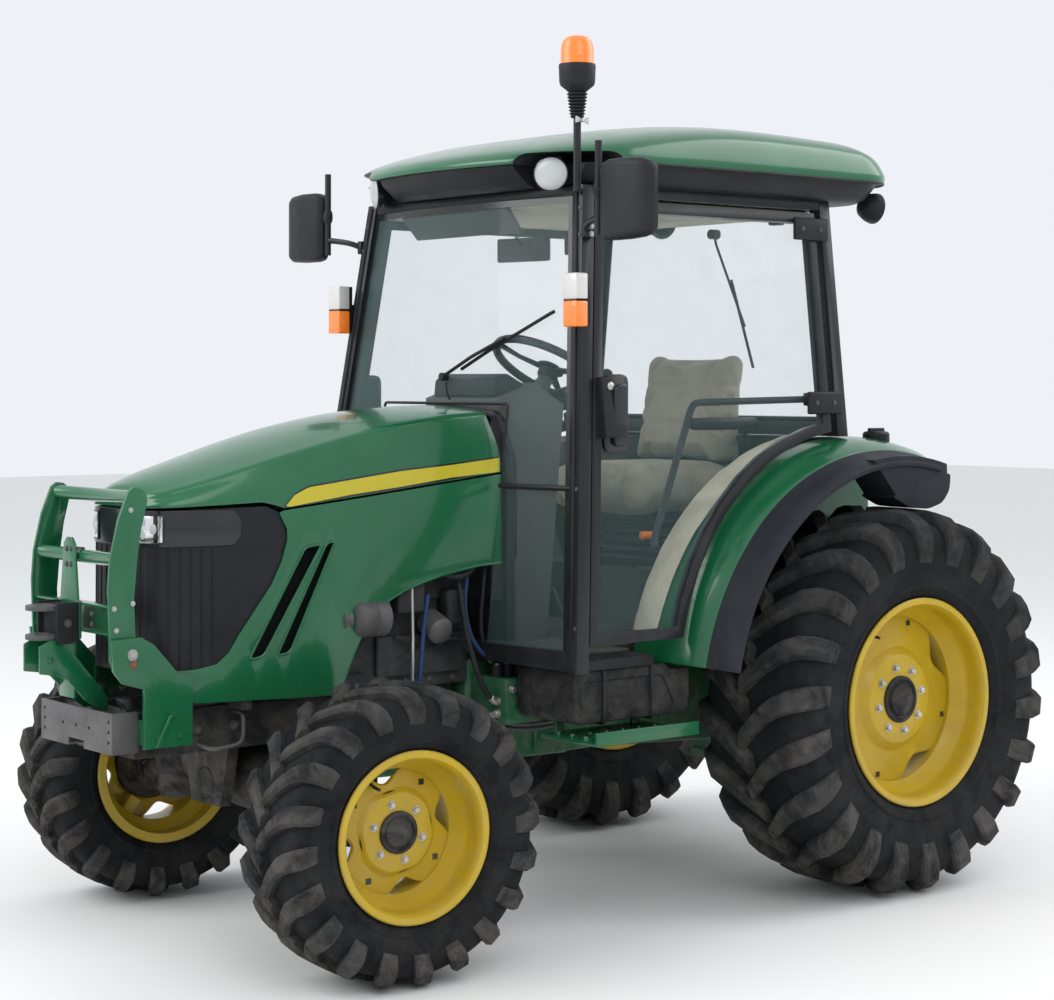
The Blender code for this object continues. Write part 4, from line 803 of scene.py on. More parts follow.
def make_rim(name, kind, bolts):
    """The drop-centre barrel, the scalloped disc, its fixings, the wheel bolts and the hub."""
    half, bead, well = kind["half"], kind["bead"], kind["bead"] - kind["well"]
    flange = bead + 0.022
    outer = [(flange - 0.004, -half), (flange, -half + 0.003), (flange, -half + 0.008),
        (bead + 0.004, -half + 0.012),
             (bead, -half + 0.018), (bead, -half + 0.06), (well, -half + 0.088), (well, half - 0.118),
             (bead, half - 0.068), (bead, half - 0.018), (bead + 0.004, half - 0.012), (flange, half - 0.008),
             (flange, half - 0.003), (flange - 0.004, half)]
    inner = [(bead + 0.003, half - 0.001), (bead - 0.004, half - 0.01), (bead - 0.007, half - 0.03),
        (bead - 0.007, half - 0.058),
             (bead - 0.012, half - 0.07), (well - 0.007, half - 0.112), (well - 0.007, -half + 0.082),
             (bead - 0.007, -half + 0.054), (bead - 0.006, -half + 0.004)]
    barrel = spun("barrel", outer + inner, kind["steps"])
    face = kind["disc"]
    rows = [(share, face + y) for share, y in kind["rows"]]
    disc = disc_form(kind["edge"], kind["bite"], rows, 0.009, kind["phase"])
    shapes = [barrel, disc]
    metal, dark = [], []
    seat = face + kind["rows"][-3][1]
    for i in range(4):
        angle = kind["phase"] + math.pi / 4 + i * math.pi / 2
        reach = kind["edge"] - 0.024
        at = (reach * math.sin(angle), seat + 0.0012, reach * math.cos(angle))
        hole = block("square hole", (at[0] - 0.008, at[1] - 0.002, at[2] - 0.008),
            (at[0] + 0.008, at[1], at[2] + 0.008), 0.001, 1)
        dark.append(hole)
        lug = block("lug", (-0.02, seat - 0.06, well - 0.06), (0.02, seat - 0.012, well - 0.004), 0.003)
        shapes.append(moved(lug, Matrix.Rotation(angle, 4, "Y")))
    for i in range(bolts):
        angle = 2 * math.pi * (i + 0.25) / bolts
        at = (kind["bolt_circle"] * math.sin(angle), face, kind["bolt_circle"] * math.cos(angle))
        metal.append(bolt("wheel bolt", at, (0.0, 1.0, 0.0), kind["bolt"] * 0.82, kind["bolt"]))
    hub, cap = kind["hub"], kind["cap"]
    dark.append(spun("hub", [(0.0, face - 0.004), (hub, face - 0.004), (hub, face + 0.006),
        (hub - 0.003, face + 0.009),
                             (hub - 0.01, face + 0.009), (hub - 0.013, face + 0.003),
                             (hub * 0.72, face + 0.002),
                             (hub * 0.66, face + cap * 0.5), (hub * 0.2, face + cap * 0.62),
                             (0.0, face + cap * 0.62)], 48))
    ring = face - 0.01
    dark.append(spun("hub back", [(0.0, ring), (0.112, ring), (0.112, ring - 0.03), (0.08, ring - 0.06),
                                  (0.076, -kind["half"] * 0.55), (0.0, -kind["half"] * 0.55)], 32))
    valve = rail("valve", [(well - 0.012, half - 0.118, 0.0), (well - 0.03, half - 0.1, 0.0),
        (well - 0.034, half - 0.07, 0.0)], 0.0045)
    dark.append(moved(valve, Matrix.Rotation(math.radians(-60), 4, "Y")))
    for items, which in ((shapes, "yellow enamel"), (metal, "bright steel"), (dark, "black castings")):
        for item in items:
            item.data.materials.clear()
            item.data.materials.append(finish(which))
    return joined(name, shapes + metal + dark)


def wheel_place(word, side, end):
    """Where a wheel stands: its middle plane and, in front, the turn that the steering leaves it at."""
    spin = JOINTS[f"{end}_wheel_spin_{word}"]
    turn = math.atan2(spin["axis"][0], spin["axis"][1])
    place = Vector(spin["pos_m"]) - Vector((AXLE_X, 0.0, 0.0))
    matrix = Matrix.Translation(place) @ Matrix.Rotation(-turn, 4, "Z")
    return matrix @ MIRROR if side < 0 else matrix


def make_wheels(end, bars, height, bolts):
    """Both wheels of an axle."""
    tyre = make_tyre("tyre", TYRES[end], bars, height)
    rim = make_rim("rim", RIMS[end], bolts)
    for word, side in SIDES:
        place = wheel_place(word, side, end)
        body = f"{end}_wheel_{word}"
        dress(twin(tyre, f"{end}_tyre_with_bars_{word}", place), None, body, [f"{end}_tyre_{word}"],
            32.0)
        dress(twin(rim, f"{end}_wheel_disc_{word}", place), None, body, [f"{end}_rim_{word}"],
            32.0)
    for piece in (tyre, rim):
        bpy.data.objects.remove(piece, do_unlink=True)


class MESH_OT_tractor_rear_wheels(bpy.types.Operator):
    """Rear tyres with staggered bars, and their dished rims"""

    bl_idname = "mesh.tractor_rear_wheels"
    bl_label = "Rear wheels"

    def execute(self, context):
        make_wheels("rear", tread().rear_bars, tread().rear_height, tread().rear_bolts)
        return {"FINISHED"}


class MESH_OT_tractor_front_wheels(bpy.types.Operator):
    """Front tyres and rims, at the angle that the steering leaves them"""

    bl_idname = "mesh.tractor_front_wheels"
    bl_label = "Front wheels"

    def execute(self, context):
        make_wheels("front", tread().front_bars, tread().front_height, tread().front_bolts)
        return {"FINISHED"}


# ---- stage ---------------------------------------------------------------------------------------
FLOOR_SIZE, FLOOR_DROP = 60.0, 0.001
SKY, SKY_POWER = (0.93, 0.96, 1.0, 1.0), 0.92
LAMP_SIZE, LAMP_TARGET = 6.0, Vector((0.0, 0.0, 1.0))
LAMPS = (((3.0, 8.0, 7.0), 220.0), ((7.0, -3.0, 6.0), 450.0), ((-6.0, 3.0, 6.0), 260.0))
EYE, HEADING, PITCH = (5.4998, 5.701, 1.6095), math.radians(-128.83), math.radians(0.6)
FILM_WIDTH, FOCAL_LENGTH, SHIFT_X, SHIFT_Y = 36.0, 77.9, 0.0129, -0.1339


class SCENE_OT_tractor_stage(bpy.types.Operator):
    """Pale floor, soft studio light and the camera"""

    bl_idname = "scene.tractor_stage"
    bl_label = "Stage"

    def execute(self, context):
        scene = context.scene
        bpy.ops.object.select_all(action="DESELECT")
        bpy.ops.mesh.primitive_plane_add(size=FLOOR_SIZE, location=(0.0, 0.0, -FLOOR_DROP))
        floor = named("studio_floor")
        made, shader = shader_of("pale floor")
        shader.inputs["Base Color"].default_value = (0.8, 0.8, 0.79, 1.0)
        shader.inputs["Roughness"].default_value = 0.7
        floor.data.materials.append(made)
        world = bpy.data.worlds.new("studio")
        world.use_nodes = True
        world.node_tree.nodes["Background"].inputs["Color"].default_value = SKY
        world.node_tree.nodes["Background"].inputs["Strength"].default_value = SKY_POWER
        scene.world = world
        for place, power in LAMPS:
            bpy.ops.object.light_add(type="AREA", location=place)
            lamp = context.object
            lamp.data.size = LAMP_SIZE
            lamp.data.energy = power
            lamp.rotation_euler = (LAMP_TARGET - Vector(place)).to_track_quat("-Z", "Y").to_euler()
        bpy.ops.object.camera_add(location=(EYE[0] + AXLE_X, EYE[1], EYE[2]))
        camera = context.object
        look = Vector((math.cos(HEADING) * math.cos(PITCH), math.sin(HEADING) * math.cos(PITCH),
            math.sin(PITCH)))
        camera.rotation_euler = look.to_track_quat("-Z", "Y").to_euler()
        camera.data.sensor_width = FILM_WIDTH
        camera.data.lens = FOCAL_LENGTH
        camera.data.shift_x = SHIFT_X
        camera.data.shift_y = SHIFT_Y
        camera.data.clip_end = 200.0
        scene.camera = camera
        scene.view_settings.view_transform = "Standard"
        scene.view_settings.look = "None"
        return {"FINISHED"}


# ---- shared makers -------------------------------------------------------------------------------
def coated(piece, material):
    """Gives a shape its finish before it is joined to others."""
    piece.data.materials.clear()
    piece.data.materials.append(finish(material))
    return piece


def add(shapes, material, *pieces):
    """Gives pieces one finish and puts them with the other shapes."""
    shapes += [coated(piece, material) for piece in pieces]


def both_sides(name, shapes, body="chassis", stands_for=None, angle=35.0):
    """Dresses shapes made for the left side, and their mirror image for the right."""
    made = joined(name, shapes)
    for word, side in SIDES:
        copy = twin(made, f"{name}_{word}", MIRROR if side < 0 else None)
        dress(copy, None, body.format(word), [stands_for.format(word)] if stands_for else (), angle)
    bpy.data.objects.remove(made, do_unlink=True)


def mirrored_too(*shapes):
    """The shapes and their mirror images."""
    return list(shapes) + [twin(shape, shape.name + " right", MIRROR) for shape in shapes]


def eased_copy(node_name, material, width=0.003, segments=2, angle=32.0):
    """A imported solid's form with its flat faces whole again and its edges rounded."""
    source = frame["nodes"][node_name]
    copy = source.copy()
    copy.data = source.data.copy()
    for key in list(copy.keys()):
        del copy[key]
    copy.name = copy.data.name = node_name + "_eased"
    copy.parent = None
    copy.hide_render = False
    bpy.context.scene.collection.objects.link(copy)
    copy.data.transform(Matrix.Translation((-AXLE_X, 0.0, 0.0)))
    only(copy)
    bpy.ops.object.mode_set(mode="EDIT")
    bpy.ops.mesh.select_all(action="SELECT")
    bpy.ops.mesh.remove_doubles(threshold=1e-5)
    bpy.ops.mesh.dissolve_limited(angle_limit=math.radians(2.0), use_dissolve_boundaries=False)
    bpy.ops.mesh.select_all(action="SELECT")
    bpy.ops.mesh.normals_make_consistent(inside=False)
    bpy.ops.object.mode_set(mode="OBJECT")
    if width:
        modify(copy, "BEVEL", width=width, segments=segments, limit_method="ANGLE",
            angle_limit=math.radians(angle),
               use_clamp_overlap=True)
    return coated(copy, material)


def stand_in(node_name, shapes, name=None, angle=35.0):
    """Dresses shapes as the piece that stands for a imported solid, on that solid's body."""
    piece = joined(name or node_name + "_finished", shapes)
    return dress(piece, None, body_of(frame["nodes"][node_name])[0], [node_name], angle)


# ---- hood, side panels and grille ----------------------------------------------------------------
PLAN = ((1.19, 0.288), (1.5, 0.287), (1.75, 0.281), (1.92, 0.27), (2.04, 0.257), (2.14, 0.242), (2.22, 0.225),
        (2.28, 0.204), (2.318, 0.176), (2.337, 0.14))
CROWN = ((1.19, 1.54), (1.33, 1.538), (1.47, 1.531), (1.62, 1.514), (1.8, 1.481), (1.97, 1.437),
    (2.11, 1.396),
         (2.24, 1.358), (2.31, 1.333), (2.34, 1.318))
SHOULDER = ((1.19, 1.524), (1.41, 1.508), (1.63, 1.478), (1.91, 1.415), (2.04, 1.38), (2.2, 1.335),
    (2.31, 1.305),
            (2.34, 1.296))
SEAM = ((1.19, 1.339), (1.965, 1.254), (2.01, 1.274), (2.34, 1.262))
LID_REAR = ((1.3, 1.19), (1.36, 1.19), (1.42, 1.202), (1.5, 1.23), (1.6, 1.24))
HOOD_REAR, HOOD_NOSE, HOOD_WALL = 1.19, 2.34, 0.005


def straight(table, at):
    """A reading by straight lines between rows."""
    if at <= table[0][0]:
        return table[0][1]
    for (x0, y0), (x1, y1) in zip(table, table[1:]):
        if at <= x1:
            return y0 + (y1 - y0) * (at - x0) / (x1 - x0)
    return table[-1][1]


def lid_half(x):
    """Half the lid's section at x, from its lower edge over the crease to the crown: (y, z)."""
    wide, crown, shoulder = along(PLAN, x), along(CROWN, x), along(SHOULDER, x)
    low = straight(SEAM, x)
    crease_y, crease_z = wide - 0.03, shoulder - 0.004
    points = []
    for share in spread(0.0, 1.0, 8):
        points.append((wide - 0.022 * share ** 2.2, low + (crease_z - 0.014 - low) * share))
    points += [(wide - 0.0245, crease_z - 0.0075), (crease_y + 0.0012, crease_z - 0.0018),
        (crease_y - 0.006, crease_z + 0.0018)]
    top = crease_y - 0.014
    for share in spread(0.0, 1.0, 10):
        rise = 1.0 - (1.0 - share) ** 2
        points.append((top * (1.0 - share), crease_z + 0.004 + (crown - crease_z - 0.004) * rise))
    return points


def lid_side_y(x, z):
    """Where the lid's side face stands at a height."""
    low, high = straight(SEAM, x), along(SHOULDER, x) - 0.018
    share = max(0.0, min(1.0, (z - low) / (high - low)))
    return along(PLAN, x) - 0.022 * share ** 2.2


class MESH_OT_tractor_hood(bpy.types.Operator):
    """The lid: crowned sheet metal with a crease along each shoulder, and its yellow stripe"""

    bl_idname = "mesh.tractor_hood"
    bl_label = "Hood"

    def execute(self, context):
        stations = spread(HOOD_REAR, 2.2, 30) + spread(2.215, 2.334, 12)
        rows = []
        for x in stations:
            half = lid_half(x)
            ring = half + [(-y, z) for y, z in reversed(half[:-1])]
            fade = max(0.0, 1.0 - (x - HOOD_REAR) / 0.3)
            rows.append([(x + (straight(LID_REAR, z) - HOOD_REAR) * fade, y, z) for y, z in ring])
        edge = straight(SEAM, HOOD_NOSE)
        for x, narrow, drop in ((2.3375, 0.97, 0.9), (2.3395, 0.93, 0.62), (2.34, 0.91, 0.3),
                (2.3395, 0.9, 0.0)):
            rows.append([(x, y * narrow, edge + (z - edge) * drop) for _, y, z in rows[len(stations) - 1]])
        lid = coated(thicken(skin("lid", rows), HOOD_WALL), "green enamel")
        soften(lid, 0.0012, 2, 60.0)
        shapes = [lid]
        for _, side in SIDES:
            lug = [(1.209, 1.484), (1.255, 1.484), (1.295, 1.53), (1.241, 1.53), (1.209, 1.51)]
            add(shapes, "green enamel", plate("lug", lug, "Y", side * 0.106, side * 0.116, 0.002))
        dress(joined("hood_lid_panel", shapes), None, "hood_lid", ["hood"], 40.0)
        top = ((1.192, 1.3825), (1.379, 1.365), (1.563, 1.351), (1.705, 1.334), (1.8, 1.322), (1.879, 1.312),
            (1.925, 1.291),
               (1.952, 1.262))
        low = ((1.192, 1.3395), (1.379, 1.3265), (1.563, 1.3045), (1.74, 1.286), (1.946, 1.257),
            (1.952, 1.26))
        strips = []
        for name, material, grow, proud in (("stripe edge", "gloss black", 0.0045, 0.0006),
                ("stripe", "stripe yellow", -0.0005, 0.001)):
            rows = []
            for x in spread(1.1935, 1.952 + grow, 60):
                inside = max(0.0, (x - 1.1935))
                high_z = straight(top, x) + grow * (1.0 if x < 1.952 else 0.0)
                low_z = straight(low, x) - grow
                low_z = max(low_z, straight(SEAM, x) + 0.0015)
                high_z = max(high_z, low_z + 0.0004)
                shift = (straight(LID_REAR, high_z) - HOOD_REAR) * max(0.0, 1.0 - inside / 0.3)
                rows.append([(x + shift, lid_side_y(x, z) + proud - 0.0004, z)
                    for z in spread(low_z, high_z, 5)])
            add(strips, material, thicken(skin(name, rows, False), 0.0012, 0.0))
        both_sides("hood_stripe", strips, "hood_lid", None, 30.0)
        return {"FINISHED"}


def plan_strip(name, outer, wall, x_start, low, high, wrap=False):
    """A wall that follows the hood's side in plan at a distance inside it, round the nose if wrapped."""
    xs = spread(x_start, 2.2, 26) + spread(2.215, 2.318, 10) + [2.326, 2.332]
    outside = [(x, along(PLAN, x) - outer) for x in xs]
    if not wrap:
        return plate(name, outside + [(x, y - wall) for x, y in reversed(outside)], "Z", low, high)
    nose = HOOD_NOSE - outer
    last = outside[-1][1]
    outside += [(nose - 0.0035, last - 0.012), (nose - 0.0012, last - 0.026), (nose, last - 0.048)]
    inside = [(min(x, nose - wall), y - wall) for x, y in outside]
    ring = outside + [(x, -y) for x, y in reversed(outside)]
    back = inside + [(x, -y) for x, y in reversed(inside)]
    return plate(name, ring + list(reversed(back)), "Z", low, high)


GRILLE_EDGE = ((2.29, 0.812), (2.225, 0.815), (2.163, 0.827), (2.128, 0.858), (2.098, 0.906), (2.0, 1.04),
    (1.968, 1.104),
               (1.95, 1.164), (1.951, 1.196), (1.972, 1.236))
ARCH = ((1.19, 1.064), (1.27, 1.06), (1.341, 1.05), (1.42, 1.037), (1.489, 1.019), (1.548, 1.001),
    (1.598, 0.978),
        (1.64, 0.951), (1.669, 0.925), (1.699, 0.882), (1.722, 0.84), (1.742, 0.798), (1.757, 0.76),
        (1.776, 0.727), (1.8, 0.714), (2.32, 0.724), (2.32, 0.795))
VENTS = (((2.065, 1.889), (2.022, 1.837), 1.147, 0.834), ((1.979, 1.82), (1.939, 1.793), 1.155, 0.84))


def vent_outline(vent, grow=0.0):
    """A slanted slot's corners: front edge, rear edge, top and bottom."""
    front, rear, top, low = vent
    corners = [(front[0] + grow, low - grow), (rear[0] - grow * 0.4, low + 0.008 - grow),
        (rear[1] - grow, top + grow),
               (front[1] + grow * 0.4, top - 0.006 + grow)]
    return rounded(corners, 0.016, 4)


class MESH_OT_tractor_side_panels(bpy.types.Operator):
    """Fixed side panels with an arch over the front wheel and two slanted vents"""

    bl_idname = "mesh.tractor_side_panels"
    bl_label = "Side panels"

    def execute(self, context):
        panel = plan_strip("panel", 0.0, 0.005, HOOD_REAR, 0.6, 1.45)
        seam = [(1.972, straight(SEAM, 1.965) - 0.012), (1.96, straight(SEAM, 1.965) - 0.0062),
            (HOOD_REAR, straight(SEAM, HOOD_REAR) - 0.0062)]
        outline = [(x - 0.003, z) for x, z in GRILLE_EDGE[:-1]] + seam + list(ARCH)
        keep(panel, plate("panel outline", outline, "Y", 0.1, 0.4))
        cut(panel, *[plate("vent", vent_outline(vent), "Y", 0.1, 0.4) for vent in VENTS])
        soften(panel, 0.0015, 2, 40.0)
        shapes = [coated(panel, "green enamel")]
        for vent in VENTS:
            rim = [(x, along(PLAN, x) - 0.0005, z) for x, z in vent_outline(vent, 0.002)]
            rim.append(rim[0])
            add(shapes, "green enamel", rail("vent rim", rim, 0.0042, 0.004, 2))
        flange = [(x, along(PLAN, x) - 0.0035, z) for x, z in ARCH[:14]]
        add(shapes, "green enamel", rail("arch edge", flange, 0.005, 0.01, 2))
        both_sides("side_panel_pressed", shapes, "chassis", "side_panel_{}", 35.0)
        screen = plan_strip("vent screen", 0.01, 0.003, 1.78, 0.82, 1.17)
        keep(screen, plate("screen outline", [(2.1, 0.825), (1.86, 0.825), (1.76, 1.165), (1.91, 1.165)], "Y",
            0.1, 0.4))
        both_sides("vent_screen", [coated(screen, "radiator mesh")], "chassis")
        return {"FINISHED"}


class MESH_OT_tractor_grille(bpy.types.Operator):
    """Dark screen round the nose with upright slats, the gloss band and the headlamps"""

    bl_idname = "mesh.tractor_grille"
    bl_label = "Grille and headlamps"

    def execute(self, context):
        shell = plan_strip("screen", 0.0075, 0.005, 1.925, 0.7, 1.4, True)
        region = [(2.4, 1.254), (2.01, 1.262), (1.962, 1.24), (1.94, 1.164), (1.988, 1.034), (2.087, 0.9),
            (2.125, 0.845),
                  (2.155, 0.817), (2.29, 0.8), (2.4, 0.798)]
        keep(shell, plate("screen outline", region, "Y", -0.5, 0.5))
        shapes = [coated(soften(shell, 0.001, 1, 50.0), "grille shell")]
        walk = [(x, along(PLAN, x) - 0.0045) for x in spread(2.155, 2.3, 18)] + [(2.314, 0.17), (2.326, 0.15),
            (2.333, 0.124),
                                                                              (2.3352, 0.09), (2.3352, 0.0)]
        lengths = [0.0]
        for first, second in zip(walk, walk[1:]):
            lengths.append(lengths[-1] + math.dist(first, second))
        count = trim().slats // 2
        for step in range(count):
            at = lengths[-1] * (step + 0.5) / count
            x = straight(list(zip(lengths, [p[0] for p in walk])), at)
            y = straight(list(zip(lengths, [p[1] for p in walk])), at)
            low = 0.812 if x > 2.2 else straight(((2.155, 0.835), (2.2, 0.815)), x)
            slat = block("slat", (-0.01, -0.0022, low), (0.0, 0.0022, 1.15), 0.0015, 1)
            turn = math.atan2(y, x - 2.02) if y > 0.02 else 0.0
            slat = moved(slat, Matrix.Translation((x, y, 0.0)) @ Matrix.Rotation(turn * 0.9, 4, "Z"))
            shapes += [coated(item, "grille shell") for item in mirrored_too(slat)]
        for z in (0.905, 1.02):
            for side in (1.0, -1.0):
                tie = [(x - 0.004, side * (y - 0.004), z) for x, y in walk[::3]]
                add(shapes, "grille shell", rail("slat tie", tie, 0.0022, 0.02, 1))
        band = plan_strip("band", 0.001, 0.012, 2.05, 1.1, 1.3, True)
        ends = rounded([(2.42, 1.2555), (2.112, 1.2555), (2.089, 1.228), (2.089, 1.182), (2.112, 1.155),
            (2.42, 1.155)], 0.01)
        keep(band, plate("band outline", ends, "Y", -0.5, 0.5))
        add(shapes, "gloss black", soften(band, 0.0025, 3, 45.0))
        for side in (1.0, -1.0):
            edge = [(x, side * y) for x, y in ((2.3402, 0.112), (2.3385, 0.128), (2.3348, 0.1445),
                (2.3262, 0.162), (2.313, 0.181), (2.304, 0.1905))]
            back = [(x - 0.012, y) for x, y in reversed(edge)]
            bowl = plate("headlamp bowl", edge + back, "Z", 1.166, 1.243, 0.002)
            add(shapes, "plated reflector", bowl)
            ring = [(x + 0.0006, y, 1.1655) for x, y in edge] + [(x + 0.0006, y, 1.2435)
                for x, y in reversed(edge)]
            ring.append(ring[0])
            add(shapes, "gloss black", rail("headlamp rim", ring, 0.0028, 0.006, 2))
            for y, z, radius in ((0.133, 1.2235, 0.0125), (0.133, 1.187, 0.0125), (0.164, 1.2045, 0.016)):
                x = straight(((0.112, 2.3402), (0.128, 2.3385), (0.1445, 2.3348), (0.162, 2.3262),
                    (0.181, 2.313)), y)
                glass = turned_on("bulb lens", [(0.0, 0.0), (radius, 0.0), (radius, 0.3),
                    (radius * 0.8, 0.75), (0.0, 1.0)],
                                  (x - 0.002, side * y, z), (x + 0.0025, side * (y + 0.001), z), 20)
                add(shapes, "clear lens", glass)
        stand_in("grille", shapes, "grille_and_headlamps", 32.0)
        return {"FINISHED"}


def lip_section(y, z):
    """(ahead, share of the depth inwards): flush behind the lid, then a shelf clear of its swinging edge."""
    top = z > 1.485
    reach = 0.008 if abs(y) < 0.085 or not top else -0.018
    shelf, under = (1.0, 1.4) if top else (0.6, 1.0)
    return ((-0.045, 0.1), (-0.024, 0.0), (-0.018, shelf), (reach, shelf), (reach + 0.001, under),
        (-0.045, under), (-0.045, 0.1))


class MESH_OT_tractor_cowl(bpy.types.Operator):
    """Bulkhead behind the hood, and the rubber lip that the lid closes on"""

    bl_idname = "mesh.tractor_cowl"
    bl_label = "Bulkhead"

    def execute(self, context):
        shapes = [eased_copy("cowl", "black trim", 0.002)]
        half = lid_half(HOOD_REAR)
        lip = []
        for y, z in half + [(-y, z) for y, z in reversed(half[:-1])]:
            shift = straight(LID_REAR, z) - HOOD_REAR
            lip.append((HOOD_REAR - 0.014 + shift, y * 1.004, z + 0.0005))
        lower = [(HOOD_REAR - 0.016, lip[0][1], z) for z in (1.075, 1.15, 1.25)]
        path = lower + lip + [(x, -y, z) for x, y, z in reversed(lower)]
        rows = []
        for x, y, z in path:
            inwards = Vector((0.0, -y, 1.3 - z)).normalized() * 0.016
            rows.append([(x + ahead, y + inwards.y * deep, z + inwards.z * deep)
                for ahead, deep in lip_section(y, z)])
        add(shapes, "black trim", skin("lip", rows))
        stand_in("cowl", shapes, "bulkhead")
        return {"FINISHED"}


# ---- guard, front hitch, coupler and bumper ------------------------------------------------------
class MESH_OT_tractor_guard(bpy.types.Operator):
    """Hood guard with its bolts, and the bracket plates that carry it"""

    bl_idname = "mesh.tractor_guard"
    bl_label = "Hood guard and brackets"

    def execute(self, context):
        shapes = [eased_copy("hood_guard", "green enamel", 0.0022, 2, 30.0)]
        for _, side in SIDES:
            for x, z in ((2.427, 1.264), (2.477, 0.999), (2.47, 0.94), (2.42, 1.01)):
                add(shapes, "bright steel", bolt("guard bolt", (x, side * 0.227, z), (0.0, side, 0.0), 0.0055,
                    0.004))
            for z in (0.95, 0.978):
                add(shapes, "dark steel", bolt("channel bolt", (2.485, side * 0.12, z), (1.0, 0.0, 0.0),
                    0.006, 0.005))
        stand_in("hood_guard", shapes, "hood_guard_finished")
        shapes = [eased_copy("front_hitch", "green enamel", 0.0025, 2, 30.0)]
        for _, side in SIDES:
            face = side * 0.2393
            for x, z, size, material in ((2.427, 0.872, 0.0115, "bright steel"),
                    (2.424, 0.846, 0.009, "rusty steel"),
                                         (2.3, 0.7, 0.009, "green enamel"),
                                         (2.345, 0.64, 0.008, "green enamel"),
                                         (2.275, 0.64, 0.008, "green enamel")):
                add(shapes, material, bolt("bracket bolt", (x, face, z), (0.0, side, 0.0), size, size * 0.6))
            rib = plate("rib", [(2.305, 0.7), (2.318, 0.7), (2.36, 0.615), (2.343, 0.615)], "Y", face,
                face + side * 0.01, 0.003)
            add(shapes, "green enamel", rib)
        stand_in("front_hitch", shapes, "front_hitch_finished")
        return {"FINISHED"}


class MESH_OT_tractor_coupler(bpy.types.Operator):
    """Pin coupler on the guard: clamped plate, dark block and two worn eye plates"""

    bl_idname = "mesh.tractor_coupler"
    bl_label = "Front coupler"

    def execute(self, context):
        foot = [(-0.03, 1.165), (-0.014, 1.182), (0.014, 1.182), (0.03, 1.165), (0.05, 1.01), (0.062, 1.01),
            (0.062, 0.905), (-0.062, 0.905),
                (-0.062, 1.01), (-0.05, 1.01)]
        shapes = [coated(plate("clamped plate", foot, "X", 2.4855, 2.4935, 0.0015), "green enamel")]
        body = block("coupler block", (2.4925, -0.05, 0.905), (2.546, 0.05, 1.0), 0.003)
        add(shapes, "black castings", body)
        for y in (-0.062, 0.05):
            add(shapes, "black castings", block("cheek", (2.494, y, 0.895), (2.56, y + 0.012, 1.006), 0.003))
        for z in (0.985, 0.905):
            eye = [(2.5, -0.045)] + arc((2.575, 0.0), 0.045, -90, 90, 24) + [(2.5, 0.045)]
            tongue = plate("eye plate", eye, "Z", z, z + 0.014)
            cut(tongue, moved(spun("eye", [(0.0, -0.1), (0.0162, -0.1), (0.0162, 0.1), (0.0, 0.1)], 32, "Z"),
                Matrix.Translation((2.575, 0.0, z))))
            add(shapes, "dark steel", soften(tongue, 0.0018, 2, 40.0))
        jaw = [(2.5, 0.905), (2.576, 0.905), (2.606, 0.89), (2.606, 0.815), (2.56, 0.808), (2.525, 0.795),
            (2.47, 0.735), (2.42, 0.7),
               (2.398, 0.7), (2.398, 0.738), (2.44, 0.79), (2.5, 0.86)]
        for low, high in ((-0.05, -0.042), (0.042, 0.05)):
            add(shapes, "green enamel", plate("stay", jaw, "Y", low, high, 0.0018))
        add(shapes, "green enamel", plate("stay face", [(-0.042, 0.74), (0.042, 0.74), (0.042, 0.9),
            (-0.042, 0.9)], "X", 2.492, 2.499, 0.001))
        for y in (-0.012, 0.012):
            for z in (1.15, 1.108):
                add(shapes, "dark steel", bolt("clamp bolt", (2.4935, y, z), (1.0, 0.0, 0.0), 0.006, 0.005))
        for side in (1.0, -1.0):
            add(shapes, "green enamel", bolt("stay bolt", (2.575, side * 0.05, 0.85), (0.0, side, 0.0),
                0.0075, 0.005))
            add(shapes, "dark steel", bolt("cheek bolt", (2.528, side * 0.062, 0.95), (0.0, side, 0.0),
                0.0085, 0.005))
        hook = rail("clamp strap", [(2.486, -0.02, 1.15), (2.47, -0.02, 1.153), (2.455, -0.02, 1.15)], 0.003)
        shapes += [coated(item, "dark steel") for item in mirrored_too(hook)]
        stand_in("front_clevis", shapes, "front_coupler")
        return {"FINISHED"}


class MESH_OT_tractor_bumper(bpy.types.Operator):
    """Open steel box in front, with rows of holes and a notch"""

    bl_idname = "mesh.tractor_bumper"
    bl_label = "Bumper box"

    def execute(self, context):
        shell = block("box", (2.3895, -0.205, 0.6), (2.47, 0.205, 0.712), 0.0)
        cut(shell, block("space", (2.398, -0.1985, 0.606), (2.4635, 0.1985, 0.8), 0.0),
            block("notch", (2.44, -0.045, 0.59), (2.5, 0.045, 0.622), 0.0))
        holes = [(y, z) for y in (-0.184, 0.184) for z in (0.632, 0.66, 0.688)] + [(y, 0.66)
            for y in (-0.075, 0.0, 0.075)]
        for y, z in holes:
            drill = spun("drill", [(0.0, -0.02), (0.0052, -0.02), (0.0052, 0.02), (0.0, 0.02)], 14, "X")
            cut(shell, moved(drill, Matrix.Translation((2.467, y, z))))
        shapes = [coated(soften(shell, 0.0022, 2, 40.0), "dark steel")]
        for side in (1.0, -1.0):
            wing = [(2.4, 0.712), (2.416, 0.712), (2.43, 0.745), (2.406, 0.748)]
            add(shapes, "black enamel", plate("wing", wing, "Y", side * 0.15, side * 0.196, 0.002))
            add(shapes, "bright steel", bolt("box bolt", (2.405, side * 0.12, 0.68), (1.0, 0.0, 0.0), 0.01,
                0.007))
        stand_in("front_bumper", shapes, "front_bumper_finished")
        return {"FINISHED"}


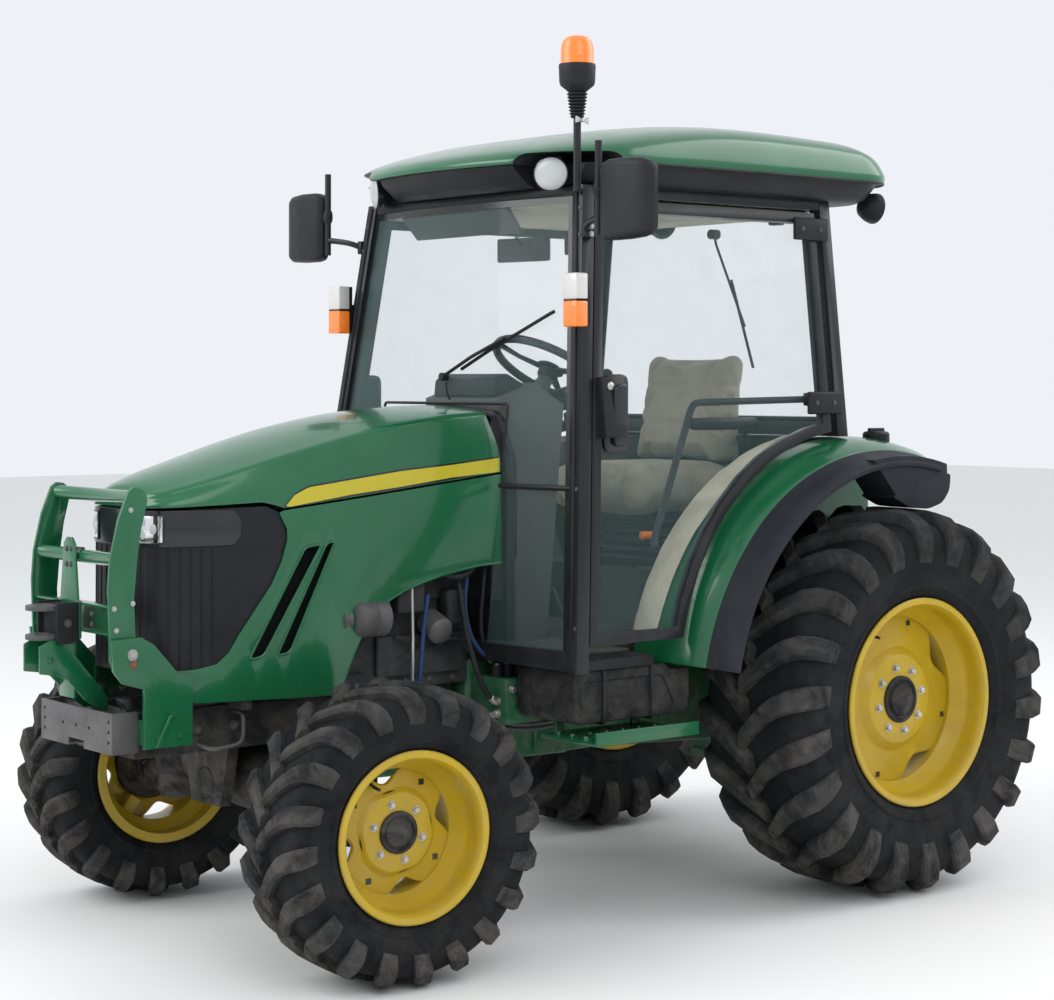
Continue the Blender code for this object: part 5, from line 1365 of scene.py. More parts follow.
# ---- cab -----------------------------------------------------------------------------------------
CAB_LOW, CAB_LOW_Y, CAB_TOP, CAB_TOP_Y = 0.84, 0.7, 2.2, 0.551
PILLAR, A_LOW_X, A_TOP_X, B_X = 0.046, 1.24, 1.09, 0.08
REAR_RADIUS, WHEELBASE = 0.606, 1.865


def side_y(z):
    """The cab's outer side plane at a height."""
    return CAB_LOW_Y + (CAB_TOP_Y - CAB_LOW_Y) * (z - CAB_LOW) / (CAB_TOP - CAB_LOW)


def post_x(z):
    """Front face of the front pillars at a height."""
    return A_LOW_X + (A_TOP_X - A_LOW_X) * (z - CAB_LOW) / (CAB_TOP - CAB_LOW)


def screen_x(y, z):
    """Outer face of the windscreen."""
    half = side_y(z) - PILLAR - 0.0006
    return post_x(z) - 0.01 + 0.05 * (1.0 - (y / half) ** 2)


class MESH_OT_tractor_cab_frame(bpy.types.Operator):
    """Pillars and rings of the cab, with seals, signal lamps, screws and the bar under the windscreen"""

    bl_idname = "mesh.tractor_cab_frame"
    bl_label = "Cab frame"

    def execute(self, context):
        shapes = [eased_copy("cab_frame", "black enamel", 0.004, 2, 40.0)]
        for _, side in SIDES:
            run = [(post_x(z) + 0.001, side * (side_y(z) - 0.024), z) for z in spread(0.86, 2.19, 6)]
            add(shapes, "black trim", rail("pillar seal", run, 0.0055, 0.01, 2))
            x, y = post_x(1.85), side_y(1.85)
            for low, high, material in ((1.8535, 1.9315, "white lens"), (1.7735, 1.8505, "orange lens")):
                add(shapes, material, block("signal lens", (x + 0.018, side * (y - 0.0115), low),
                    (x + 0.063, side * (y + 0.0535), high), 0.006, 3))
            add(shapes, "black trim", block("signal seam", (x + 0.012, side * (y - 0.01), 1.85),
                (x + 0.0605, side * (y + 0.052), 1.854), 0.001, 1))
            for z in (0.9, 1.3, 2.05, 2.13):
                add(shapes, "dark steel", bolt("pillar screw", (post_x(z) + 0.0005, side * (side_y(z) - 0.01),
                    z), (1.0, 0.0, 0.1), 0.0045, 0.003))
        bar_y = 0.318
        for _, side in SIDES:
            run = [(screen_x(y, 1.3) + 0.004, side * y, 1.3) for y in spread(bar_y,
                side_y(1.3) - PILLAR + 0.004, 8)]
            add(shapes, "black trim", rail("lower bar", run, 0.0085, 0.01, 2))
        stand_in("cab_frame", shapes, "cab_frame_finished", 32.0)
        return {"FINISHED"}


class MESH_OT_tractor_windows(bpy.types.Operator):
    """Bowed windscreen with dark bands, and the rear window in its seal"""

    bl_idname = "mesh.tractor_windows"
    bl_label = "Windscreen and rear window"

    def execute(self, context):
        low, high = 0.8305, CAB_TOP - 0.032
        rows = []
        for z in spread(low, high, 30):
            half = side_y(z) - PILLAR - 0.0006
            rows.append([(screen_x(y, z), y, z) for y in spread(-half, half, 41)])
        pane_shape = thicken(skin("pane", rows), 0.006, -1.0)
        cut(pane_shape, block("hood notch", (1.0, -0.318, 0.5), (1.5, 0.318, 1.546), 0.0))
        shapes = [coated(pane_shape, "window")]
        band = trim().glass_edge + 0.008
        for _, side in SIDES:
            rows = []
            for z in spread(low, high, 30):
                half = side_y(z) - PILLAR - 0.0006
                rows.append([(screen_x(y, z) + 0.0006, side * y, z) for y in spread(half - band, half, 4)])
            add(shapes, "window edge", thicken(skin("band", rows), 0.0008, 0.0))
        rows = []
        for z in (high - 0.02, high):
            half = side_y(z) - PILLAR - 0.0006
            rows.append([(screen_x(y, z) + 0.0006, y, z) for y in spread(-half, half, 30)])
        add(shapes, "window edge", thicken(skin("top band", rows), 0.0008, 0.0))
        seal = [(screen_x(y, 1.546) + 0.001, y, 1.546) for y in spread(-0.318, 0.318, 14)]
        seal = [(screen_x(-0.318, 1.36) + 0.001, -0.318, 1.36)] + seal + [(screen_x(0.318, 1.36) + 0.001,
            0.318, 1.36)]
        add(shapes, "black trim", rail("hood seal", seal, 0.0045, 0.012, 2))
        stand_in("windscreen", shapes, "windscreen_pane", 40.0)
        x = B_X - PILLAR / 2
        low, high = 1.4825, 2.1695
        corners = [(-(side_y(low) - PILLAR), low), (side_y(low) - PILLAR, low), (side_y(high) - PILLAR, high),
            (-(side_y(high) - PILLAR), high)]
        shapes = [coated(plate("rear pane", [(y * 0.998, z) for y, z in corners], "X", x - 0.006, x),
            "window")]
        edge = [(x - 0.004, y * 0.985, z + (0.008 if z < 1.8 else -0.008))
            for y, z in rounded(corners, 0.04, 5)]
        add(shapes, "black trim", rail("rear seal", edge + edge[:1], 0.0085, 0.01, 2))
        for _, side in SIDES:
            add(shapes, "black trim", block("rear hinge", (x - 0.03, side * 0.3, 2.135),
                (x + 0.004, side * 0.345, 2.165), 0.004))
        add(shapes, "black trim", block("rear handle", (x - 0.04, -0.07, 1.5), (x - 0.004, 0.07, 1.522),
            0.006), rail("rear wiper", [(x - 0.02, 0.02, 2.12), (x - 0.024, 0.02, 2.09),
                                        (x - 0.016, 0.17, 1.8)], 0.0045),
            rail("rear blade", [(x - 0.011, 0.11, 1.96), (x - 0.011, 0.215, 1.66)], 0.005),
            bar("wiper motor", (x + 0.002, 0.02, 2.12), (x - 0.034, 0.02, 2.12), 0.017))
        stand_in("rear_window", shapes, "rear_window_pane", 40.0)
        return {"FINISHED"}


class MESH_OT_tractor_doors(bpy.types.Operator):
    """Rear-hinged doors: frame, pane, hinge covers, lever handle with its lock, and grab rail"""

    bl_idname = "mesh.tractor_doors"
    bl_label = "Doors"

    def execute(self, context):
        for word, side in SIDES:
            shapes = [eased_copy("door_" + word, "black enamel", 0.0035, 2, 35.0)]
            for z in (1.545, 2.105):
                y = side_y(z) + 0.006
                cover = block("hinge cover", (0.06, side * (y - 0.004), z - 0.036),
                    (0.215, side * (y + 0.009), z + 0.036), 0.006, 3)
                add(shapes, "black trim", cover)
                for x in (0.1, 0.18):
                    add(shapes, "dark steel", bolt("hinge screw", (x, side * (y + 0.009), z),
                        (0.0, side, 0.0), 0.006, 0.004))
            y = side_y(1.52)
            plate_shape = plate("handle plate", rounded([(0.985, 1.405), (1.08, 1.405), (1.08, 1.635),
                (0.985, 1.635)], 0.028), "Y",
                                side * (y - 0.002), side * (y + 0.012), 0.003)
            grip = plate("handle grip", rounded([(0.998, 1.425), (1.05, 1.418), (1.054, 1.6), (1.004, 1.61)],
                0.018), "Y",
                         side * (y + 0.01), side * (y + 0.03), 0.006, 3)
            lock = turned_on("lock", [(0.0, 0.0), (0.0125, 0.0), (0.0125, 0.75), (0.01, 1.0), (0.0, 1.0)],
                (1.062, side * (y + 0.008), 1.6),
                             (1.062, side * (y + 0.024), 1.6), 20)
            add(shapes, "gloss black", plate_shape, grip)
            add(shapes, "bright steel", lock)
            run = [(0.125, 0.56, 1.556), (0.145, 0.548, 1.556), (0.64, 0.548, 1.548), (0.85, 0.6, 1.135),
                (0.862, 0.618, 1.11)]
            add(shapes, "black trim", rail("grab rail", [(x, side * y, z) for x, y, z in run], 0.0115, 0.03))
            foot = block("rail foot", (0.1, side * 0.545, 1.535), (0.15, side * 0.585, 1.577), 0.005)
            add(shapes, "black trim", foot)
            stand_in("door_" + word, shapes, "door_frame_" + word, 32.0)
            solid = eased_copy("door_glass_" + word, "window", 0.0)
            stand_in("door_glass_" + word, [solid], "door_pane_" + word, 30.0)
        return {"FINISHED"}


ROOF_LEVELS = ((0.0, 0.006, 0.19), (0.0, 0.0, 0.19), (0.012, -0.003, 0.19), (0.03, -0.003, 0.19),
    (0.05, 0.003, 0.19),
               (0.07, 0.01, 0.19), (0.088, 0.021, 0.185), (0.1, 0.032, 0.18), (0.113, 0.052, 0.175),
               (0.124, 0.075, 0.17),
               (0.134, 0.108, 0.16), (0.142, 0.15, 0.15), (0.15, 0.205, 0.135), (0.156, 0.27, 0.12),
               (0.1585, 0.4, 0.1))
ROOF_DROOP = ((-0.25, 0.72), (-0.1, 0.92), (0.15, 1.02), (0.5, 1.03), (0.9, 0.8), (1.1, 0.58), (1.27, 0.36))
ROOF_LOW = 2.266


def corner_ring(x0, x1, half, radius, z, count=10, per_side=8):
    """A rectangle with round corners in plan, with points along its straight sides."""
    ring = []
    places = ((x1 - radius, half - radius, 0), (x0 + radius, half - radius, 90),
        (x0 + radius, -half + radius, 180), (x1 - radius, -half + radius, 270))
    for i, (cx, cy, start) in enumerate(places):
        ring += arc((cx, cy), radius, start, start + 90, count)
        nx, ny, turn = places[(i + 1) % 4]
        after = (nx + radius * math.cos(math.radians(turn)), ny + radius * math.sin(math.radians(turn)))
        here = ring[-1]
        for share in [k / per_side for k in range(1, per_side)]:
            ring.append((here[0] + (after[0] - here[0]) * share, here[1] + (after[1] - here[1]) * share))
    return [(x, y, z) for x, y in ring]


def bowed(ring):
    """Draws a roof ring's front corners back, so that its front edge is an arch in plan."""
    return [(x - 0.16 * (abs(y) / 0.64) ** 2 * max(0.0, (x - 0.6) / 0.665), y, z) for x, y, z in ring]


def work_lamp(aimed, housing, foot, thick):
    """An oval lamp: its glass, its housing and the foot that holds it."""
    oval = aimed @ Matrix.Diagonal((1.0, 0.9, 1.0, 1.0))
    glass = [(0.0, 0.019), (0.02, 0.0185), (0.036, 0.0165), (0.048, 0.0125), (0.0545, 0.006), (0.0545, 0.0),
        (0.0, 0.0)]
    can = [(0.0, -0.052), (0.022, -0.052), (0.04, -0.04), (0.053, -0.016), (0.0575, 0.001), (0.0575, 0.006),
        (0.0545, 0.007), (0.053, 0.001),
           (0.0, 0.001)]
    shapes = [coated(moved(spun("lamp glass", glass, 40, "Z"), oval), "clear lens")]
    add(shapes, housing, moved(spun("lamp can", can, 40, "Z"), oval))
    add(shapes, "black trim", rail("lamp foot", foot, thick))
    return shapes


class MESH_OT_tractor_roof(bpy.types.Operator):
    """Moulded green roof over its dark liner, with lamp recesses at the corners"""

    bl_idname = "mesh.tractor_roof"
    bl_label = "Roof and work lamps"

    def execute(self, context):
        rings = []
        for rise, shrink, corner in ROOF_LEVELS:
            ring = corner_ring(-0.25 + shrink * 0.8, 1.265 - shrink, 0.64 - shrink, corner, ROOF_LOW)
            rings.append(bowed([(x, y, z + rise * along(ROOF_DROOP, x)) for x, y, z in ring]))
        shell = coated(loft("shell", rings), "green enamel")
        shell.data.materials.append(finish("black trim"))
        recess = ((1.0, 0.37, 2.19), (1.42, 0.78, 2.298))
        for _, side in SIDES:
            lo, hi = recess
            cut(shell, block("recess", (lo[0], side * lo[1], lo[2]), (hi[0], side * hi[1], hi[2]), 0.035, 5))
        for face in shell.data.polygons:
            x, y, z = face.center
            inside = x > recess[0][0] - 0.002 and abs(y) > recess[0][1] - 0.002 and z < recess[1][2] + 0.001
            face.material_index = 1 if (inside and not (face.normal.z > 0.2)) or face.normal.z < -0.9 else 0
        seam = bowed(corner_ring(-0.247, 1.262, 0.6405, 0.19, ROOF_LOW - 0.0005))
        lip = coated(rail("roof lip", seam + seam[:1], 0.0045, 0.001, 2), "black trim")
        keep(lip, block("lip reach", (-0.4, -0.7, 2.2), (0.998, 0.7, 2.4), 0.0))
        stand_in("roof", [soften(shell, 0.0025, 2, 50.0), lip], "roof_shell", 40.0)
        levels = ((-0.15, 1.15, 0.575, 0.14, 2.2003), (-0.18, 1.176, 0.592, 0.145, 2.212),
            (-0.215, 1.225, 0.612, 0.165, 2.25),
                  (-0.225, 1.235, 0.618, 0.17, 2.2657))
        liner = loft("liner", [bowed(corner_ring(*level)) for level in levels])
        for _, side in SIDES:
            cut(liner, block("lamp room", (1.085, side * 0.345, 2.15), (1.42, side * 0.78, 2.298), 0.02, 3))
        shapes = [coated(liner, "black trim")]
        for _, side in SIDES:
            ahead = aim((1.128, side * 0.452, 2.236), (2.128, side * 0.452 + side * 0.45, 2.16))
            behind = aim((-0.215, side * 0.52, 2.192), (-1.215, side * 0.72, 2.05))
            ahead_foot = [(1.1, side * 0.452, 2.236), (1.098, side * 0.452, 2.29)]
            behind_foot = [(-0.2, side * 0.517, 2.195), (-0.17, side * 0.51, 2.245)]
            shapes += work_lamp(ahead, "gloss black", ahead_foot, 0.009)
            shapes += work_lamp(behind, "black trim", behind_foot, 0.01)
        stand_in("roof_liner", shapes, "roof_liner_and_lamps", 36.0)
        return {"FINISHED"}


class MESH_OT_tractor_mirrors(bpy.types.Operator):
    """Bent arms, mirror heads and their glass"""

    bl_idname = "mesh.tractor_mirrors"
    bl_label = "Mirrors"

    def execute(self, context):
        def ring(y, x0, x1, z0, z1, radius):
            return [(x, y, z) for x, z in rounded([(x0, z0), (x1, z0), (x1, z1), (x0, z1)], radius, 5)]

        foot = (post_x(2.06) - 0.012, side_y(2.06) + 0.01, 2.06)
        route = [foot, (1.12, 0.605, 2.075), (1.14, 0.655, 2.085), (1.155, 0.697, 2.09)]
        shapes = [coated(pipe("mirror arm", route, 0.0098, 3, 8), "black enamel"),
                  coated(rail("mirror stem", [(1.155, 0.697, 2.04), (1.155, 0.697, 2.314)], 0.0105, 0.01),
                         "black enamel")]
        head = [ring(0.7165, 1.146, 1.16, 2.045, 2.225, 0.006), ring(0.72, 1.138, 1.168, 2.032, 2.238, 0.012),
            ring(0.735, 1.13, 1.178, 2.024, 2.248, 0.018),
                ring(0.76, 1.126, 1.184, 2.02, 2.254, 0.022), ring(0.83, 1.125, 1.186, 2.02, 2.255, 0.024),
                ring(0.89, 1.125, 1.18, 2.024, 2.251, 0.024),
                ring(0.915, 1.127, 1.17, 2.034, 2.241, 0.018), ring(0.926, 1.13, 1.16, 2.045, 2.23, 0.012),
                ring(0.93, 1.134, 1.152, 2.056, 2.219, 0.006)]
        add(shapes, "black trim", loft("mirror head", head))
        glass = plate("mirror glass", rounded([(0.734, 2.036), (0.914, 2.036), (0.914, 2.24), (0.734, 2.24)],
            0.02, 5), "X", 1.1238, 1.1275, 0.001, 1)
        add(shapes, "mirror face", glass)
        z = 2.062
        add(shapes, "black enamel", block("clamp", (post_x(z) - 0.04, side_y(z) + 0.0006, 2.04),
            (post_x(z) + 0.006, side_y(z) + 0.022, 2.084), 0.004))
        for z in (2.05, 2.074):
            add(shapes, "bright steel", bolt("clamp bolt", (post_x(z) - 0.018, side_y(z) + 0.022, z),
                (0.0, 1.0, 0.0), 0.0065, 0.005))
        add(shapes, "black trim", turned_on("knuckle", [(0.0, 0.0), (0.013, 0.0), (0.016, 0.3), (0.016, 0.7),
            (0.013, 1.0), (0.0, 1.0)], (1.155, 0.697, 2.15), (1.155, 0.697, 2.19), 20),
            bar("head pin", (1.155, 0.697, 2.17), (1.155, 0.722, 2.17), 0.009))
        both_sides("mirror_assembly", shapes, "chassis", "mirror_{}", 35.0)
        return {"FINISHED"}


class MESH_OT_tractor_beacon(bpy.types.Operator):
    """Flashing lamp: clamped post, corrugated neck, dark base and amber dome"""

    bl_idname = "mesh.tractor_beacon"
    bl_label = "Beacon"

    def execute(self, context):
        place = Matrix.Translation((1.2, 0.655, 0.0))
        foot = [(post_x(2.185) + 0.0073, 0.535, 2.185), (1.165, 0.61, 2.185), (1.2, 0.655, 2.185),
            (1.2, 0.655, 2.23)]
        shapes = [coated(rail("foot", foot, 0.0095, 0.03), "black enamel"),
                  coated(bar("post", (1.2, 0.655, 2.165), (1.2, 0.655, 2.392), 0.0112), "black enamel")]
        neck = [(0.0, 2.38), (0.018, 2.38), (0.0205, 2.384)]
        for i in range(7):
            z = 2.388 + i * 0.0095
            wide = 0.0215 + i * 0.0012
            neck += [(wide - 0.004, z), (wide + 0.0015, z + 0.003), (wide + 0.0015, z + 0.0056),
                (wide - 0.004, z + 0.0086)]
        neck += [(0.034, 2.462), (0.049, 2.474), (0.0525, 2.484), (0.0535, 2.515), (0.0545, 2.53),
            (0.053, 2.536), (0.0, 2.536)]
        add(shapes, "black trim", moved(spun("base", neck, 48, "Z"), place))
        dome = [(0.0, 2.53), (0.0515, 2.53), (0.0515, 2.538), (0.049, 2.541), (0.0488, 2.575), (0.047, 2.592),
            (0.042, 2.605), (0.033, 2.614),
                (0.02, 2.6185), (0.0, 2.62)]
        add(shapes, "orange lens", moved(spun("dome", dome, 48, "Z"), place))
        for turn in (0.0, math.pi):
            wing = plate("wing", rounded([(0.004, -0.004), (0.024, -0.012), (0.026, 0.01), (0.004, 0.004)],
                0.004), "X", -0.0015, 0.0015, 0.001, 1)
            spot = Matrix.Translation((1.2, 0.655 + 0.022, 2.372)) @ Matrix.Rotation(turn, 4,
                "Y") @ Matrix.Rotation(math.radians(90), 4, "Z")
            add(shapes, "bright steel", moved(wing, spot))
        add(shapes, "bright steel", bar("nut", (1.2, 0.664, 2.372), (1.2, 0.684, 2.372), 0.0065, 12))
        stand_in("beacon", shapes, "beacon_lamp", 34.0)
        return {"FINISHED"}


# ---- fenders -------------------------------------------------------------------------------------
def swept(name, section, start, end, steps=64):
    """A closed section of (radius, y) carried round the rear wheel's middle, angles in degrees."""
    rings = []
    for angle in spread(start, end, steps):
        c, s = math.cos(math.radians(angle)), math.sin(math.radians(angle))
        rings.append([(radius * c, y, REAR_RADIUS + radius * s) for radius, y in section])
    return loft(name, rings)


class MESH_OT_tractor_fenders(bpy.types.Operator):
    """Arched fenders with inner walls, dark flares, rear lamps and the filler cap"""

    bl_idname = "mesh.tractor_fenders"
    bl_label = "Fenders"

    def execute(self, context):
        outer = [(0.83, 0.462), (0.83, 0.56), (0.8285, 0.6), (0.824, 0.64), (0.816, 0.678), (0.805, 0.71),
            (0.793, 0.735),
                 (0.788, 0.745)]
        section = outer + [(0.7805, 0.745), (0.785, 0.733), (0.797, 0.707), (0.808, 0.674), (0.816, 0.636),
            (0.8205, 0.598),
                           (0.822, 0.56), (0.822, 0.462)]
        shell = soften(swept("fender shell", section, 11.0, 107.0), 0.0015, 2, 50.0)
        points = arc((0.0, REAR_RADIUS), 0.8285, 11.0, 107.0, 64)
        wall = plate("fender wall", points + [(points[-1][0], points[0][1])], "Y", 0.46, 0.47, 0.0015)
        both_sides("fender_pressed", [coated(shell, "green enamel"), coated(wall, "green enamel")], "chassis",
            "fender_{}", 40.0)
        section = [(0.7875, 0.7455), (0.779, 0.765), (0.7735, 0.788), (0.769, 0.812), (0.762, 0.832),
            (0.752, 0.844), (0.74, 0.846),
                   (0.7385, 0.842), (0.749, 0.834), (0.757, 0.824), (0.762, 0.808), (0.766, 0.786),
                   (0.7705, 0.762), (0.779, 0.7455)]
        shapes = [coated(soften(swept("flare", section, 11.0, 104.0), 0.001, 1, 60.0), "flare rubber")]
        pod = arc((0.0, REAR_RADIUS), 0.772, 80, 106, 10)
        pod += rounded([(-0.232, 1.32), (-0.226, 1.262), (-0.19, 1.222), (-0.12, 1.205), (-0.03, 1.214),
            (0.05, 1.25)], 0.018, 3)
        add(shapes, "flare rubber", plate("lamp pod", pod, "Y", 0.7, 0.838, 0.022, 4))
        for low, high, material in ((1.3, 1.335, "orange lens"), (1.258, 1.297, "red lens")):
            add(shapes, material, block("rear lens", (-0.2375, 0.728, low), (-0.219, 0.812, high), 0.004, 3))
        both_sides("fender_flare_moulded", shapes, "chassis", "fender_flare_{}", 40.0)
        cap = spun("cap", [(0.0, -0.012), (0.041, -0.012), (0.044, -0.006), (0.044, 0.022), (0.039, 0.028),
            (0.031, 0.03), (0.0, 0.03)], 40, "Z")
        lug = block("cap grip", (-0.036, -0.007, 0.026), (0.036, 0.007, 0.041), 0.004)
        place = Matrix.Translation((-0.138, 0.6, 1.42))
        shapes = [coated(moved(item, place), "black trim") for item in (cap, lug)]
        dress(joined("filler_cap", shapes), None, "chassis")
        return {"FINISHED"}


# ---- inside the cab ------------------------------------------------------------------------------
def blown(name, solid, swell):
    """A cushion's cover: its solid drawn in a little, remeshed, blown up as cloth and capped."""
    pad = eased_copy(solid, "seat cloth", 0.03, 4, 30.0)
    pad.name = name
    low, high = [Vector(corner) for corner in (pad.bound_box[0], pad.bound_box[6])]
    middle = (low + high) / 2
    for vertex in pad.data.vertices:
        vertex.co = middle + (vertex.co - middle) * 0.94
    modify(pad, "REMESH", mode="VOXEL", voxel_size=0.006)
    before = [vertex.co.copy() for vertex in pad.data.vertices]
    only(pad)
    cloth = pad.modifiers.new("Cloth", "CLOTH")
    cloth.settings.use_pressure = True
    cloth.settings.uniform_pressure_force = 4.0
    cloth.settings.effector_weights.gravity = 0.0
    cloth.settings.mass = 0.25
    cloth.settings.quality = 5
    for number in range(1, 21):
        bpy.context.scene.frame_set(number)
    bpy.ops.object.modifier_apply(modifier=cloth.name)
    bpy.context.scene.frame_set(1)
    for vertex, start in zip(pad.data.vertices, before):
        move = vertex.co - start
        if move.length > swell:
            vertex.co = start + move.normalized() * swell
    modify(pad, "SMOOTH", factor=0.5, iterations=4)
    return modify(pad, "SUBSURF", levels=1, render_levels=1)


def pressed_seams(pad, lines, axis, depth=0.007, width=0.012):
    """Presses sewn channels into a blown cushion, along planes across an axis."""
    which = "XYZ".index(axis)
    middle = sum((vertex.co for vertex in pad.data.vertices), Vector()) / len(pad.data.vertices)
    for vertex in pad.data.vertices:
        for line in lines:
            off = (vertex.co[which] - line) / width
            dip = depth * math.exp(-off * off)
            if dip > 1e-5:
                inwards = middle - vertex.co
                inwards[which] = 0.0
                vertex.co = vertex.co + inwards.normalized() * dip
    return pad


class MESH_OT_tractor_seat(bpy.types.Operator):
    """Cloth-covered cushion and back on a sprung base"""

    bl_idname = "mesh.tractor_seat"
    bl_label = "Seat"

    def execute(self, context):
        swell = trim().cushion_swell
        cushion = pressed_seams(blown("seat_cushion_cover", "seat_cushion", swell), (-0.15, 0.15), "Y")
        pressed_seams(cushion, (0.3, 0.44), "X", 0.004)
        piece = dress(coated(cushion, "seat cloth"), None, "chassis", ["seat_cushion"], 60.0)
        back = pressed_seams(blown("seat_back_cover", "seat_back", swell), (-0.14, 0.14), "Y")
        pressed_seams(back, (1.47, 1.6), "Z", 0.004)
        piece = dress(coated(back, "seat cloth"), None, "chassis", ["seat_back"], 60.0)
        shapes = [eased_copy("seat_base", "black trim", 0.006)]
        for i in range(5):
            z = 1.02 + i * 0.03
            fold = block("bellows", (0.1 - i * 0.004, -0.182, z), (0.462 + i * 0.004, 0.182, z + 0.018),
                0.008, 3)
            add(shapes, "flare rubber", fold)
        for side in (1.0, -1.0):
            add(shapes, "black trim", bar("arm pivot", (0.12, side * 0.225, 1.42), (0.12, side * 0.262, 1.42),
                0.018))
        lever = rail("seat lever", [(0.4, 0.19, 1.11), (0.43, 0.23, 1.11), (0.52, 0.235, 1.115)], 0.008)
        knob = bar("lever knob", (0.515, 0.235, 1.115), (0.575, 0.235, 1.118), 0.014, 16, 0.005)
        add(shapes, "black trim", lever)
        add(shapes, "orange knob", knob)
        rest = block("arm rest", (0.12, 0.268, 1.455), (0.4, 0.318, 1.495), 0.014, 4)
        add(shapes, "black trim", rest, rail("arm link", [(0.12, 0.24, 1.42), (0.15, 0.29, 1.47)], 0.012))
        buckle = block("buckle", (0.18, 0.248, 1.25), (0.215, 0.262, 1.34), 0.005)
        add(shapes, "black trim", buckle)
        stand_in("seat_base", shapes, "seat_base_finished")
        return {"FINISHED"}


# (reach, half width, underside, top) of a steering wheel spoke
SPOKE = ((0.03, 0.016, -0.006, 0.004), (0.11, 0.012, -0.01, -0.001), (0.186, 0.017, -0.005, 0.005))


